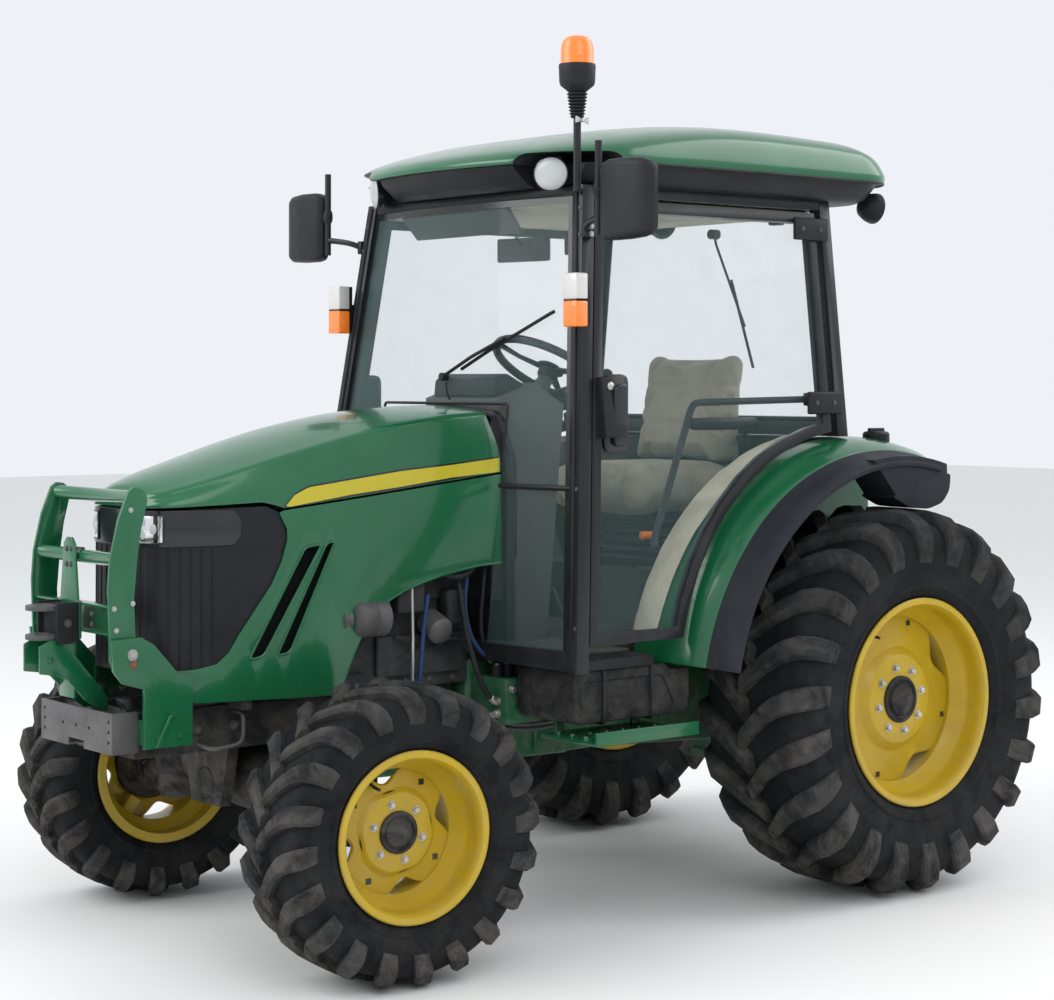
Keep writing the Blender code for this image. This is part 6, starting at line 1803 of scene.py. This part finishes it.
class MESH_OT_tractor_controls(bpy.types.Operator):
    """Dashboard with its column, steering wheel, side console with joystick, pedals and mat"""

    bl_idname = "mesh.tractor_controls"
    bl_label = "Controls"

    def execute(self, context):
        shapes = [eased_copy("dashboard", "grey moulding", 0.01, 3, 30.0)]
        hood = plate("instrument hood", [(0.87, 1.545), (1.0, 1.61), (1.06, 1.64), (1.11, 1.62),
            (1.115, 1.56)], "Y", -0.16, 0.16, 0.012, 3)
        add(shapes, "black trim", hood)
        dial = aim((0.905, 0.0, 1.583), (0.855, 0.0, 1.683))
        for y, radius in ((-0.08, 0.038), (0.0, 0.046), (0.08, 0.038)):
            face = spun("dial", [(0.0, 0.0), (radius, 0.0), (radius, 0.006), (radius * 0.9, 0.007),
                (radius * 0.88, 0.003), (0.0, 0.003)], 28, "Z")
            add(shapes, "gloss black", moved(face, Matrix.Translation((0.0, y, 0.0)) @ dial))
        for y in (-0.12, 0.12):
            add(shapes, "black trim", rail("stalk", [(0.83, y * 0.2, 1.56), (0.8, y, 1.59),
                (0.79, y * 1.35, 1.6)], 0.006))
        for y, x in ((-0.15, 0.9), (-0.09, 0.9), (0.15, 0.88)):
            add(shapes, "black castings", rail("pedal arm", [(0.935, y, 1.02), (x + 0.005, y, 0.92)], 0.008))
            pad = moved(block("pedal", (-0.012, -0.036, -0.05), (0.0, 0.036, 0.05), 0.004),
                Matrix.Translation((x, y, 0.915)) @ Matrix.Rotation(math.radians(25), 4, "Y"))
            add(shapes, "floor mat", pad)
        stand_in("dashboard", shapes, "dashboard_finished")
        lean = math.radians(-32.0)
        place = Matrix.Translation((0.76, 0.0, 1.65)) @ Matrix.Rotation(lean, 4, "Y")
        ring = [(0.19 + 0.0138 * math.cos(math.radians(a)), 0.0138 * math.sin(math.radians(a)))
            for a in range(0, 360, 30)]
        shapes = [coated(moved(spun("wheel ring", ring, 72, "Z"), place), "black trim")]
        boss = spun("boss", [(0.0, -0.03), (0.03, -0.03), (0.034, -0.022), (0.034, -0.004), (0.046, 0.002),
            (0.046, 0.009), (0.036, 0.015), (0.0, 0.018)], 32, "Z")
        add(shapes, "black trim", moved(boss, place))
        for turn in (90, 210, 330):
            spoke = loft("spoke", [[(x, -wide, low), (x, wide, low), (x, wide, high), (x, -wide, high)]
                for x, wide, low, high in SPOKE])
            soften(spoke, 0.003, 2)
            add(shapes, "black trim", moved(spoke, place @ Matrix.Rotation(math.radians(turn), 4, "Z")))
        knob = spun("spinner", [(0.0, 0.012), (0.01, 0.012), (0.012, 0.024), (0.019, 0.036), (0.019, 0.05),
            (0.012, 0.058), (0.0, 0.06)], 24, "Z")
        add(shapes, "black trim", moved(knob, place @ Matrix.Translation((-0.095, 0.164, 0.0))))
        stand_in("steering_wheel", shapes, "steering_wheel_finished")
        shapes = [eased_copy("console_right", "grey moulding", 0.01, 3, 40.0)]
        boot = [(0.0, 0.0), (0.036, 0.0), (0.036, 0.006)]
        for i in range(6):
            boot += [(0.032 - i * 0.0035, 0.01 + i * 0.009), (0.024 - i * 0.002, 0.0145 + i * 0.009)]
        boot += [(0.01, 0.07), (0.0, 0.07)]
        stick = aim((0.48, -0.36, 1.402), (0.5, -0.36, 1.57))
        add(shapes, "flare rubber", moved(spun("boot", boot, 28, "Z"), stick))
        grip = spun("grip", [(0.0, 0.13), (0.012, 0.13), (0.019, 0.142), (0.021, 0.165), (0.018, 0.185),
            (0.023, 0.2), (0.022, 0.216), (0.012, 0.224), (0.0, 0.225)], 24, "Z")
        add(shapes, "black trim", moved(grip, stick))
        for x, material in ((0.3, "red plastic"), (0.35, "orange knob"), (0.4, "black trim"),
                (0.56, "stripe yellow")):
            z = 1.424 if x < 0.5 else 1.398
            add(shapes, "bright steel", rail("lever", [(x, -0.32, z - 0.012), (x + 0.012, -0.32, z + 0.055)],
                0.005))
            add(shapes, material, bar("knob", (x + 0.011, -0.32, z + 0.05), (x + 0.017, -0.32, z + 0.084),
                0.013, 16, 0.005))
        panel_shape = plate("switch panel", [(0.11, 1.424), (0.24, 1.434), (0.235, 1.446), (0.112, 1.436)],
            "Y", -0.44, -0.34, 0.003)
        add(shapes, "black trim", panel_shape)
        stand_in("console_right", shapes, "console_finished")
        shapes = [eased_copy("cab_floor", "black trim", 0.004)]
        mat = plate("mat", rounded([(0.49, -0.44), (0.905, -0.44), (0.905, -0.56), (1.13, -0.56),
            (1.13, 0.56), (0.905, 0.56), (0.905, 0.44), (0.49, 0.44)], 0.02), "Z",
                    0.7995, 0.8085, 0.002, 1)
        add(shapes, "floor mat", mat)
        for i in range(14):
            x = 0.51 + i * 0.028
            add(shapes, "floor mat", block("mat rib", (x, -0.425, 0.808), (x + 0.01, 0.425, 0.8115), 0.0012,
                1))
        for y in (-0.25, 0.25):
            add(shapes, "floor mat", block("platform pad", (0.38, y - 0.15, 0.998), (0.478, y + 0.15, 1.006),
                0.002))
        stand_in("cab_floor", shapes, "cab_floor_finished")
        return {"FINISHED"}


class MESH_OT_tractor_lining(bpy.types.Operator):
    """Creased lining over the wheel arches, headlining, sun visor, inner mirror and screen wiper"""

    bl_idname = "mesh.tractor_lining"
    bl_label = "Lining and wiper"

    def execute(self, context):
        rows = []
        for angle in spread(16.0, 88.0, 60):
            c, s = math.cos(math.radians(angle)), math.sin(math.radians(angle))
            row = []
            for y in spread(0.452, 0.56, 9):
                crease = 0.004 * noise.noise(Vector((angle * 0.35, y * 26.0,
                    3.0))) + 0.003 * noise.noise(Vector((angle * 0.9, y * 60.0, 9.0)))
                radius = 0.838 + 0.004 + crease + 0.006 * math.sin((y - 0.452) / 0.108 * math.pi)
                row.append((radius * c, y, REAR_RADIUS + radius * s))
            rows.append(row)
        cover = thicken(skin("arch cover", rows), 0.006, -1.0)
        both_sides("arch_cover", [coated(modify(cover, "SUBSURF", levels=1, render_levels=1),
            "beige lining")], "chassis", None, 60.0)
        lining = block("headlining", (0.085, -0.5, 2.15), (1.04, 0.5, 2.169), 0.006)
        shapes = [coated(lining, "beige lining")]
        visor = plate("sun visor", [(1.05, 2.165), (1.062, 2.15), (1.0, 2.08), (0.992, 2.086)], "Y", -0.4,
            0.15, 0.003)
        add(shapes, "grey moulding", visor)
        add(shapes, "black trim", rail("mirror arm", [(1.02, 0.1, 2.14), (0.98, 0.1, 2.07),
            (0.96, 0.1, 2.045)], 0.005))
        place = Matrix.Translation((0.95, 0.1, 2.03)) @ Matrix.Rotation(math.radians(12), 4, "Z")
        shell = block("inner mirror", (-0.008, -0.105, -0.038), (0.008, 0.105, 0.038), 0.007, 3)
        add(shapes, "black trim", moved(shell, place))
        face = block("inner glass", (-0.0095, -0.098, -0.031), (-0.0075, 0.098, 0.031), 0.0008, 1)
        add(shapes, "mirror face", moved(face, place))
        dress(joined("headlining", shapes), None, "chassis")
        off = 0.013
        pivot = (screen_x(0.02, 1.628) + 0.012, 0.02, 1.628)
        elbow = [(screen_x(y, z) + off + lift, y, z) for y, z, lift in ((0.02, 1.628, 0.006),
            (0.16, 1.69, 0.01), (0.3, 1.745, 0.008))]
        blade = [(screen_x(y, z) + 0.0085, y, z) for y, z in ((0.1, 1.652), (0.24, 1.716), (0.36, 1.768),
            (0.47, 1.818), (0.48, 1.822))]
        shapes = [coated(rail("wiper arm", elbow, 0.0055, 0.02), "black trim"),
                  coated(pipe("wiper blade", blade, 0.0058, 2, 6), "black trim"),
                  coated(bar("wiper pivot", (pivot[0] - 0.012, pivot[1], pivot[2]),
                             (pivot[0] + 0.014, pivot[1], pivot[2]), 0.013), "black trim")]
        hose = [(screen_x(y, z) + lift, y, z) for y, z, lift in ((0.03, 1.61, 0.01), (0.05, 1.575, 0.016),
            (0.056, 1.556, 0.008))]
        add(shapes, "hose", pipe("washer hose", hose, 0.003, 2, 6))
        dress(joined("screen_wiper", shapes), None, "chassis")
        return {"FINISHED"}


# ---- tanks, steps and what shows under the body --------------------------------------------------
class MESH_OT_tractor_steps(bpy.types.Operator):
    """Tanks under the cab floor with a pressed recess, and green steps with a raised rim"""

    bl_idname = "mesh.tractor_steps"
    bl_label = "Tanks and steps"

    def execute(self, context):
        for word, side in SIDES:
            outline = rounded([(0.762, 0.612), (1.188, 0.612), (1.199, 0.642), (1.199, 0.7665),
                (0.836, 0.7665), (0.821, 0.747), (0.741, 0.747), (0.741, 0.641)], 0.012, 3)
            tank = plate("tank", outline, "Y", side * 0.376, side * 0.64, 0.006, 3)
            cut(tank, plate("recess", rounded([(0.8, 0.64), (1.16, 0.64), (1.168, 0.735), (0.85, 0.735)],
                0.02, 4), "Y", side * 0.633, side * 0.7))
            shapes = [coated(soften(tank, 0.0015, 1, 50.0), "black castings")]
            for x in (0.9, 1.09):
                strap = rail("strap", [(x, side * 0.39, 0.6095), (x, side * 0.6445, 0.6095),
                    (x, side * 0.6445, 0.7655)], 0.0055, 0.006, 1)
                add(shapes, "black enamel", strap)
            stand_in("tank_" + word, shapes, "tank_finished_" + word, 32.0)
            shapes = [eased_copy("step_" + word, "green enamel", 0.0018)]
            for x in spread(0.83, 1.155, 6):
                for y in spread(0.52, 0.7, 4):
                    stud = turned_on("grip stud", [(0.0, 0.0), (0.009, 0.0), (0.0072, 1.0), (0.0052, 1.0),
                        (0.0046, 0.4), (0.0, 0.4)],
                                     (x, side * y, 0.5718), (x, side * y, 0.5765), 12)
                    add(shapes, "green enamel", stud)
            for x in (0.83, 1.13):
                add(shapes, "dark steel", bolt("hanger bolt", (x + 0.015, side * 0.512, 0.592),
                    (0.0, side, 0.0), 0.0075, 0.006))
            stand_in("step_" + word, shapes, "step_finished_" + word, 32.0)
        return {"FINISHED"}


class MESH_OT_tractor_hydraulics(bpy.types.Operator):
    """Valve block with its solenoids, hoses, pipes and fittings beside the clutch housing"""

    bl_idname = "mesh.tractor_hydraulics"
    bl_label = "Hydraulics"

    def execute(self, context):
        shapes = [eased_copy("valve_block", "green castings", 0.004)]
        for x in (1.125, 1.165, 1.205):
            add(shapes, "bright steel", bolt("port plug", (x, 0.36, 0.69), (0.0, 1.0, 0.0), 0.011, 0.012))
            add(shapes, "black trim", bar("solenoid", (x, 0.285, 0.7185), (x, 0.285, 0.756), 0.015, 20))
            add(shapes, "bright steel", bolt("solenoid nut", (x, 0.285, 0.756), (0.0, 0.0, 1.0), 0.008,
                0.005))
        for z in (0.615, 0.652):
            add(shapes, "bright steel", bolt("port plug", (1.23, 0.32, z), (1.0, 0.0, 0.0), 0.012, 0.012))
        ring = turned_on("end cap", [(0.0, 0.0), (0.034, 0.0), (0.034, 0.6), (0.026, 1.0), (0.0, 1.0)],
            (0.968, 0.3, 0.645), (0.948, 0.3, 0.645), 28)
        add(shapes, "green castings", ring)
        stand_in("valve_block", shapes, "valve_block_finished")
        shapes = []
        runs = (((1.24, 0.32, 0.652), (1.285, 0.33, 0.69), (1.33, 0.315, 0.82), (1.33, 0.27, 0.96),
            (1.32, 0.23, 1.06)),
                ((1.24, 0.32, 0.615), (1.3, 0.32, 0.6), (1.42, 0.29, 0.64), (1.56, 0.23, 0.68)),
                ((1.15, 0.25, 0.758), (1.25, 0.262, 0.8), (1.3, 0.258, 0.9), (1.29, 0.246, 1.04)),
                ((1.19, 0.24, 0.758), (1.24, 0.255, 0.85), (1.24, 0.262, 0.98), (1.225, 0.255, 1.06)))
        for i, run in enumerate(runs):
            add(shapes, "hose" if i != 2 else "blue hose", pipe("hose", run, 0.0085 if i < 2 else 0.0065, 3,
                8))
            add(shapes, "bright steel", bar("ferrule", run[0], Vector(run[0]).lerp(Vector(run[1]), 0.45),
                0.011 if i < 2 else 0.0085, 14))
        for y, z in ((0.208, 0.56), (0.196, 0.545)):
            add(shapes, "dark steel", pipe("steel pipe", [(1.23, y, 0.6), (1.1, y + 0.005, z), (0.8, y, z),
                (0.5, y - 0.01, z + 0.04)], 0.006, 3, 8))
        dress(joined("hydraulic_hoses", shapes), None, "chassis", (), 40.0)
        return {"FINISHED"}


class MESH_OT_tractor_engine(bpy.types.Operator):
    """Engine block with the alternator, filter, pump and pipes that show through the arch"""

    bl_idname = "mesh.tractor_engine"
    bl_label = "Engine and what hangs on it"

    def execute(self, context):
        shapes = [eased_copy("engine_block", "block castings", 0.008, 2, 30.0)]
        for _, side in SIDES:
            face = side * 0.2
            for low_x, high_x, low_z, high_z, out in ((1.27, 1.87, 1.09, 1.15, 0.022),
                    (1.3, 1.85, 0.96, 1.06, 0.016), (1.28, 1.6, 0.74, 0.86, 0.018),
                                                      (1.64, 1.88, 0.76, 0.9, 0.012)):
                add(shapes, "block castings", block("boss", (low_x, face - side * 0.004, low_z),
                    (high_x, face + side * out, high_z), 0.006))
            for x in spread(1.31, 1.84, 7):
                add(shapes, "dark steel", bolt("block bolt", (x, face + side * 0.022, 1.105),
                    (0.0, side, 0.0), 0.0085, 0.006), bolt("sump bolt", (x, side * 0.1995, 0.722),
                                                           (0.0, side, 0.0), 0.0065, 0.005))
            for x in (1.36, 1.49, 1.62):
                add(shapes, "bright steel", rail("injector pipe", [(x, face + side * 0.02, 1.07),
                    (x + 0.015, face + side * 0.04, 1.12), (x + 0.01, face + side * 0.022, 1.165)], 0.004))
        can = turned_on("oil filter", [(0.0, 0.0), (0.036, 0.0), (0.041, 0.05), (0.041, 0.85), (0.034, 0.97),
            (0.0, 1.0)], (1.42, 0.222, 0.9), (1.42, 0.3, 0.868), 32)
        add(shapes, "dark steel", can)
        body = [(0.0, 0.0), (0.04, 0.0), (0.056, 0.08), (0.056, 0.36), (0.052, 0.4), (0.056, 0.44),
            (0.056, 0.9), (0.044, 1.0), (0.0, 1.0)]
        add(shapes, "dark steel", turned_on("alternator", body, (1.6, 0.255, 0.925), (1.725, 0.255, 0.925),
            36))
        wheel = [(0.0, 0.0), (0.02, 0.0), (0.034, 0.15), (0.034, 0.3), (0.028, 0.5), (0.034, 0.7),
            (0.034, 0.85), (0.022, 1.0), (0.0, 1.0)]
        add(shapes, "dark steel", turned_on("pulley", wheel, (1.727, 0.255, 0.925), (1.765, 0.255, 0.925),
            28))
        add(shapes, "block castings", block("filter bowl", (1.3, 0.205, 0.88), (1.372, 0.262, 0.99), 0.014,
            4), block("pump", (1.46, 0.205, 0.93), (1.56, 0.268, 1.02), 0.01, 3),
            block("mount", (1.28, 0.15, 0.56), (1.42, 0.215, 0.64), 0.01, 3))
        add(shapes, "bright steel", rail("dipstick tube", [(1.505, 0.262, 0.7), (1.508, 0.27, 0.83),
            (1.512, 0.268, 1.04)], 0.0048))
        add(shapes, "blue hose", pipe("drain hose", [(1.47, 0.235, 0.56), (1.475, 0.255, 0.7),
            (1.465, 0.262, 0.86), (1.44, 0.25, 0.98)], 0.007, 3, 8))
        add(shapes, "hose", pipe("heater hose", [(1.255, 0.262, 1.08), (1.33, 0.27, 1.03),
            (1.4, 0.262, 1.045), (1.47, 0.235, 1.085)], 0.012, 3, 8),
            pipe("loom", [(1.262, 0.24, 0.78), (1.33, 0.246, 0.84), (1.43, 0.24, 0.82), (1.56, 0.244, 0.86)],
                 0.006, 2, 8))
        stand_in("engine_block", shapes, "engine_finished", 35.0)
        return {"FINISHED"}


class MESH_OT_tractor_front_axle(bpy.types.Operator):
    """Cast axle beam, final drives, track rod, steering cylinder and the frame's rails"""

    bl_idname = "mesh.tractor_front_axle"
    bl_label = "Front axle and frame"

    def execute(self, context):
        shapes = [eased_copy("front_axle", "black castings", 0.004, 2, 50.0)]
        for i in range(10):
            turn = 2 * math.pi * i / 10
            at = (WHEELBASE + 0.082 * math.cos(turn), -0.092, 0.455 + 0.078 * math.sin(turn))
            add(shapes, "dark steel", bolt("case bolt", at, (0.0, -1.0, 0.0), 0.0085, 0.006))
        add(shapes, "black castings", bar("steering cylinder", (1.695, -0.155, 0.43), (1.695, 0.155, 0.43),
            0.03, 28, 0.004))
        add(shapes, "bright steel", bar("cylinder rod", (1.695, -0.3, 0.43), (1.695, 0.3, 0.43), 0.013, 20))
        for y in (-0.15, 0.15):
            add(shapes, "black castings", bar("gland", (1.695, y - 0.012, 0.43), (1.695, y + 0.012, 0.43),
                0.034, 28, 0.003), block("cylinder stay", (1.7, y * 0.7 - 0.02, 0.418),
                                         (1.83, y * 0.7 + 0.02, 0.444), 0.005))
            add(shapes, "hose", pipe("steering hose", [(1.69, y * 0.8, 0.46), (1.66, y * 0.9, 0.52),
                (1.62, y * 0.9, 0.6)], 0.0065, 3, 8))
        stand_in("front_axle", shapes, "front_axle_finished")
        for word, side in SIDES:
            shapes = [eased_copy("knuckle_" + word, "black castings", 0.003, 2, 45.0)]
            pin = Matrix.Translation((WHEELBASE, side * 0.475, 0.0)) @ Matrix.Rotation(math.radians(-6.0), 4,
                "Z")
            for i in range(8):
                turn = 2 * math.pi * i / 8
                screw = bolt("cover bolt", (0.044 * math.cos(turn), 0.044 * math.sin(turn), 0.5845),
                    (0.0, 0.0, 1.0), 0.006, 0.004)
                add(shapes, "dark steel", moved(screw, pin))
                turn += 0.3
                nut = bolt("flange bolt", (0.064 * math.cos(turn), side * 0.112,
                    0.402 + 0.064 * math.sin(turn)), (0.0, side, 0.0), 0.006, 0.005)
                add(shapes, "dark steel", moved(nut, pin))
            ball = turned_on("ball joint", [(0.0, 0.0), (0.014, 0.0), (0.02, 0.25), (0.02, 0.75),
                (0.013, 1.0), (0.0, 1.0)], (-0.142, side * -0.034, 0.396),
                             (-0.142, side * -0.034, 0.428), 24)
            add(shapes, "black castings", moved(ball, pin))
            stand_in("knuckle_" + word, shapes, "final_drive_" + word)
        shapes = [eased_copy("front_frame", "black castings", 0.004)]
        for _, side in SIDES:
            for x in (1.34, 1.42, 2.06, 2.18, 2.3):
                add(shapes, "dark steel", bolt("rail bolt", (x, side * 0.165, 0.64), (0.0, side, 0.0), 0.01,
                    0.008))
            guard = rail("pipe guard", [(2.06, side * 0.165, 0.68), (2.06, side * 0.215, 0.68),
                (2.06, side * 0.215, 0.595), (2.16, side * 0.215, 0.585),
                                        (2.18, side * 0.165, 0.6)], 0.006)
            add(shapes, "dark steel", guard)
        stand_in("front_frame", shapes, "front_frame_finished")
        return {"FINISHED"}


class MESH_OT_tractor_drive_line(bpy.types.Operator):
    """Clutch housing, gearbox, rear axle, drawbar and drive shafts"""

    bl_idname = "mesh.tractor_drive_line"
    bl_label = "Gearbox and rear axle"

    def execute(self, context):
        shapes = [eased_copy("transmission_case", "green castings", 0.01, 3, 20.0)]
        for _, side in SIDES:
            for x in spread(0.23, 1.2, 9):
                wide = straight(((0.2, 0.17), (0.7, 0.15), (0.95, 0.17), (1.15, 0.185), (1.25, 0.19)), x)
                add(shapes, "dark steel", bolt("case bolt", (x, side * (wide - 0.001), 0.69),
                    (0.0, side, 0.0), 0.009, 0.006))
            for x in (0.42, 0.96):
                add(shapes, "green castings", plate("case rib", [(x, 0.46), (x + 0.014, 0.46),
                    (x + 0.014, 0.72), (x, 0.72)], "Y", side * 0.12, side * 0.182, 0.003))
        add(shapes, "green castings", bar("drive shaft", (0.7, 0.0, 0.425), (1.64, 0.0, 0.44), 0.02, 24),
            bar("shaft cover", (1.18, 0.0, 0.4325), (1.64, 0.0, 0.44), 0.034, 28, 0.006))
        stand_in("transmission_case", shapes, "gearbox_finished", 32.0)
        shapes = [eased_copy("rear_axle", "green castings", 0.004, 2, 40.0)]
        for _, side in SIDES:
            for i in range(8):
                turn = 2 * math.pi * i / 8
                at = (0.128 * math.cos(turn), side * 0.19, REAR_RADIUS + 0.128 * math.sin(turn))
                add(shapes, "dark steel", bolt("housing bolt", at, (0.0, side, 0.0), 0.0095, 0.007))
            for y, z in ((0.085, 0.905), (0.085, 0.78), (0.085, 0.665)):
                add(shapes, "dark steel", bolt("cover bolt", (-0.2605, side * y, z), (-1.0, 0.0, 0.0), 0.0085,
                    0.006))
        splines = 6
        for i in range(splines):
            turn = 2 * math.pi * i / splines
            key = block("spline", (-0.398, -0.003, 0.0155), (-0.33, 0.003, 0.02), 0.0008, 1)
            add(shapes, "bright steel", moved(key, Matrix.Translation((0.0, 0.0,
                0.56)) @ Matrix.Rotation(turn, 4, "X")))
        for y in (-0.09, 0.09):
            for z, which in ((0.842, "red plastic"), (0.806, "stripe yellow")):
                body = turned_on("coupler", [(0.0, 0.0), (0.019, 0.0), (0.019, 0.5), (0.016, 0.6),
                    (0.016, 0.95), (0.0, 1.0)], (-0.258, y * 0.55, z), (-0.31, y * 0.55, z), 24)
                add(shapes, "bright steel", body)
                add(shapes, which, bar("dust cap", (-0.311, y * 0.55, z), (-0.322, y * 0.55, z), 0.0165, 20))
        add(shapes, "black trim", bar("trailer socket", (-0.262, -0.005, 0.72), (-0.285, -0.005, 0.72), 0.024,
            24))
        top = [(-0.262, 0.69), (-0.3, 0.69), (-0.318, 0.715), (-0.3, 0.742), (-0.262, 0.742)]
        for y in (-0.038, 0.038):
            add(shapes, "green castings", plate("top link ear", top, "Y", y - 0.006, y + 0.006, 0.002))
        add(shapes, "bright steel", bar("top link pin", (-0.298, -0.058, 0.716), (-0.298, 0.058, 0.716), 0.01,
            18))
        add(shapes, "grey moulding", block("number plate", (-0.374, -0.12, 1.16), (-0.37, 0.12, 1.23), 0.0015,
            1))
        for y in (-0.06, 0.06):
            add(shapes, "black enamel", rail("plate stay", [(-0.371, y, 1.162), (-0.33, y, 1.08),
                (-0.262, y, 0.925)], 0.006))
        stand_in("rear_axle", shapes, "rear_axle_finished", 32.0)
        return {"FINISHED"}


class MESH_OT_tractor_linkage(bpy.types.Operator):
    """Lower links, lift arms and lift rods with their adjusters"""

    bl_idname = "mesh.tractor_linkage"
    bl_label = "Rear linkage"

    def execute(self, context):
        slope = Matrix.Rotation(math.radians(-6.0), 4, "Y")
        for word, side in SIDES:
            pivot = Matrix.Translation((-0.1, side * 0.215, 0.4)) @ slope
            shapes = [eased_copy("lower_link_" + word, "black castings", 0.004, 2, 40.0)]
            collar = turned_on("ball", [(0.0, 0.0), (0.024, 0.0), (0.032, 0.3), (0.032, 0.7), (0.024, 1.0),
                (0.0, 1.0)], (-0.8, -0.0235, 0.0), (-0.8, 0.0235, 0.0), 28)
            cut(collar, bar("ball bore", (-0.8, -0.1, 0.0), (-0.8, 0.1, 0.0), 0.0112, 24))
            add(shapes, "bright steel", moved(collar, pivot))
            stand_in("lower_link_" + word, shapes, "lower_link_finished_" + word)
            stand_in("lift_arm_" + word, [eased_copy("lift_arm_" + word, "green castings", 0.004, 2, 40.0)],
                "lift_arm_finished_" + word)
            back = slope @ Vector((-0.34, 0.0, 0.0))
            low = Vector((-0.1, side * 0.185, 0.4)) + back
            high = Vector((-0.12, side * 0.185, 0.9)) + back
            shapes = [eased_copy("lift_rod_" + word, "black castings", 0.0015, 2, 40.0)]
            steps = []
            for i in range(16):
                share = 0.3 + i * 0.014
                steps += [(0.0112, share), (0.0135, share + 0.0045), (0.0112, share + 0.009)]
            screw = [(0.0, 0.29), (0.0112, 0.29)] + steps + [(0.0112, 0.54), (0.0, 0.54)]
            add(shapes, "bright steel", turned_on("screw", screw, low, high, 24))
            turnbuckle = [(0.0, 0.54), (0.018, 0.54), (0.02, 0.56), (0.02, 0.84), (0.014, 0.88), (0.0, 0.88)]
            add(shapes, "black castings", turned_on("adjuster", turnbuckle, low, high, 28))
            stand_in("lift_rod_" + word, shapes, "lift_rod_finished_" + word)
        return {"FINISHED"}


# ---- panel and registration ----------------------------------------------------------------------
OPERATORS = (
    MESH_OT_tractor_rear_wheels, MESH_OT_tractor_front_wheels, SCENE_OT_tractor_stage, MESH_OT_tractor_hood,
    MESH_OT_tractor_side_panels, MESH_OT_tractor_grille, MESH_OT_tractor_cowl, MESH_OT_tractor_guard,
    MESH_OT_tractor_coupler, MESH_OT_tractor_bumper, MESH_OT_tractor_cab_frame, MESH_OT_tractor_windows,
    MESH_OT_tractor_doors, MESH_OT_tractor_roof, MESH_OT_tractor_mirrors, MESH_OT_tractor_beacon,
    MESH_OT_tractor_fenders, MESH_OT_tractor_seat, MESH_OT_tractor_controls, MESH_OT_tractor_lining,
    MESH_OT_tractor_steps, MESH_OT_tractor_hydraulics, MESH_OT_tractor_engine, MESH_OT_tractor_front_axle,
    MESH_OT_tractor_drive_line, MESH_OT_tractor_linkage,
)


class VIEW3D_PT_tractor(bpy.types.Panel):
    """The tractor's sizes, colours and pieces"""

    bl_idname = "VIEW3D_PT_tractor"
    bl_label = "Cab tractor"
    bl_space_type = "VIEW_3D"
    bl_region_type = "UI"
    bl_category = "Tractor"

    def draw(self, context):
        column = self.layout.column(align=True)
        for group in (paint(), tread(), trim()):
            for key in group.bl_rna.properties.keys():
                if key not in ("rna_type", "name"):
                    column.prop(group, key)
        for kind in OPERATORS:
            column.operator(kind.bl_idname, text=kind.bl_label)


GROUPS = (("tractor_paint", TractorPaint), ("tractor_tread", TractorTread), ("tractor_trim", TractorTrim))


def register():
    for key, group in GROUPS:
        bpy.utils.register_class(group)
        setattr(bpy.types.Scene, key, PointerProperty(type=group))
    for kind in (*OPERATORS, VIEW3D_PT_tractor):
        bpy.utils.register_class(kind)


def unregister():
    for kind in reversed((*OPERATORS, VIEW3D_PT_tractor)):
        bpy.utils.unregister_class(kind)
    for key, group in reversed(GROUPS):
        delattr(bpy.types.Scene, key)
        bpy.utils.unregister_class(group)


def main():
    """Makes every piece in order."""
    register()
    for kind in OPERATORS:
        family, word = kind.bl_idname.split(".")
        getattr(getattr(bpy.ops, family), word)()


if __name__ == "__main__":
    main()
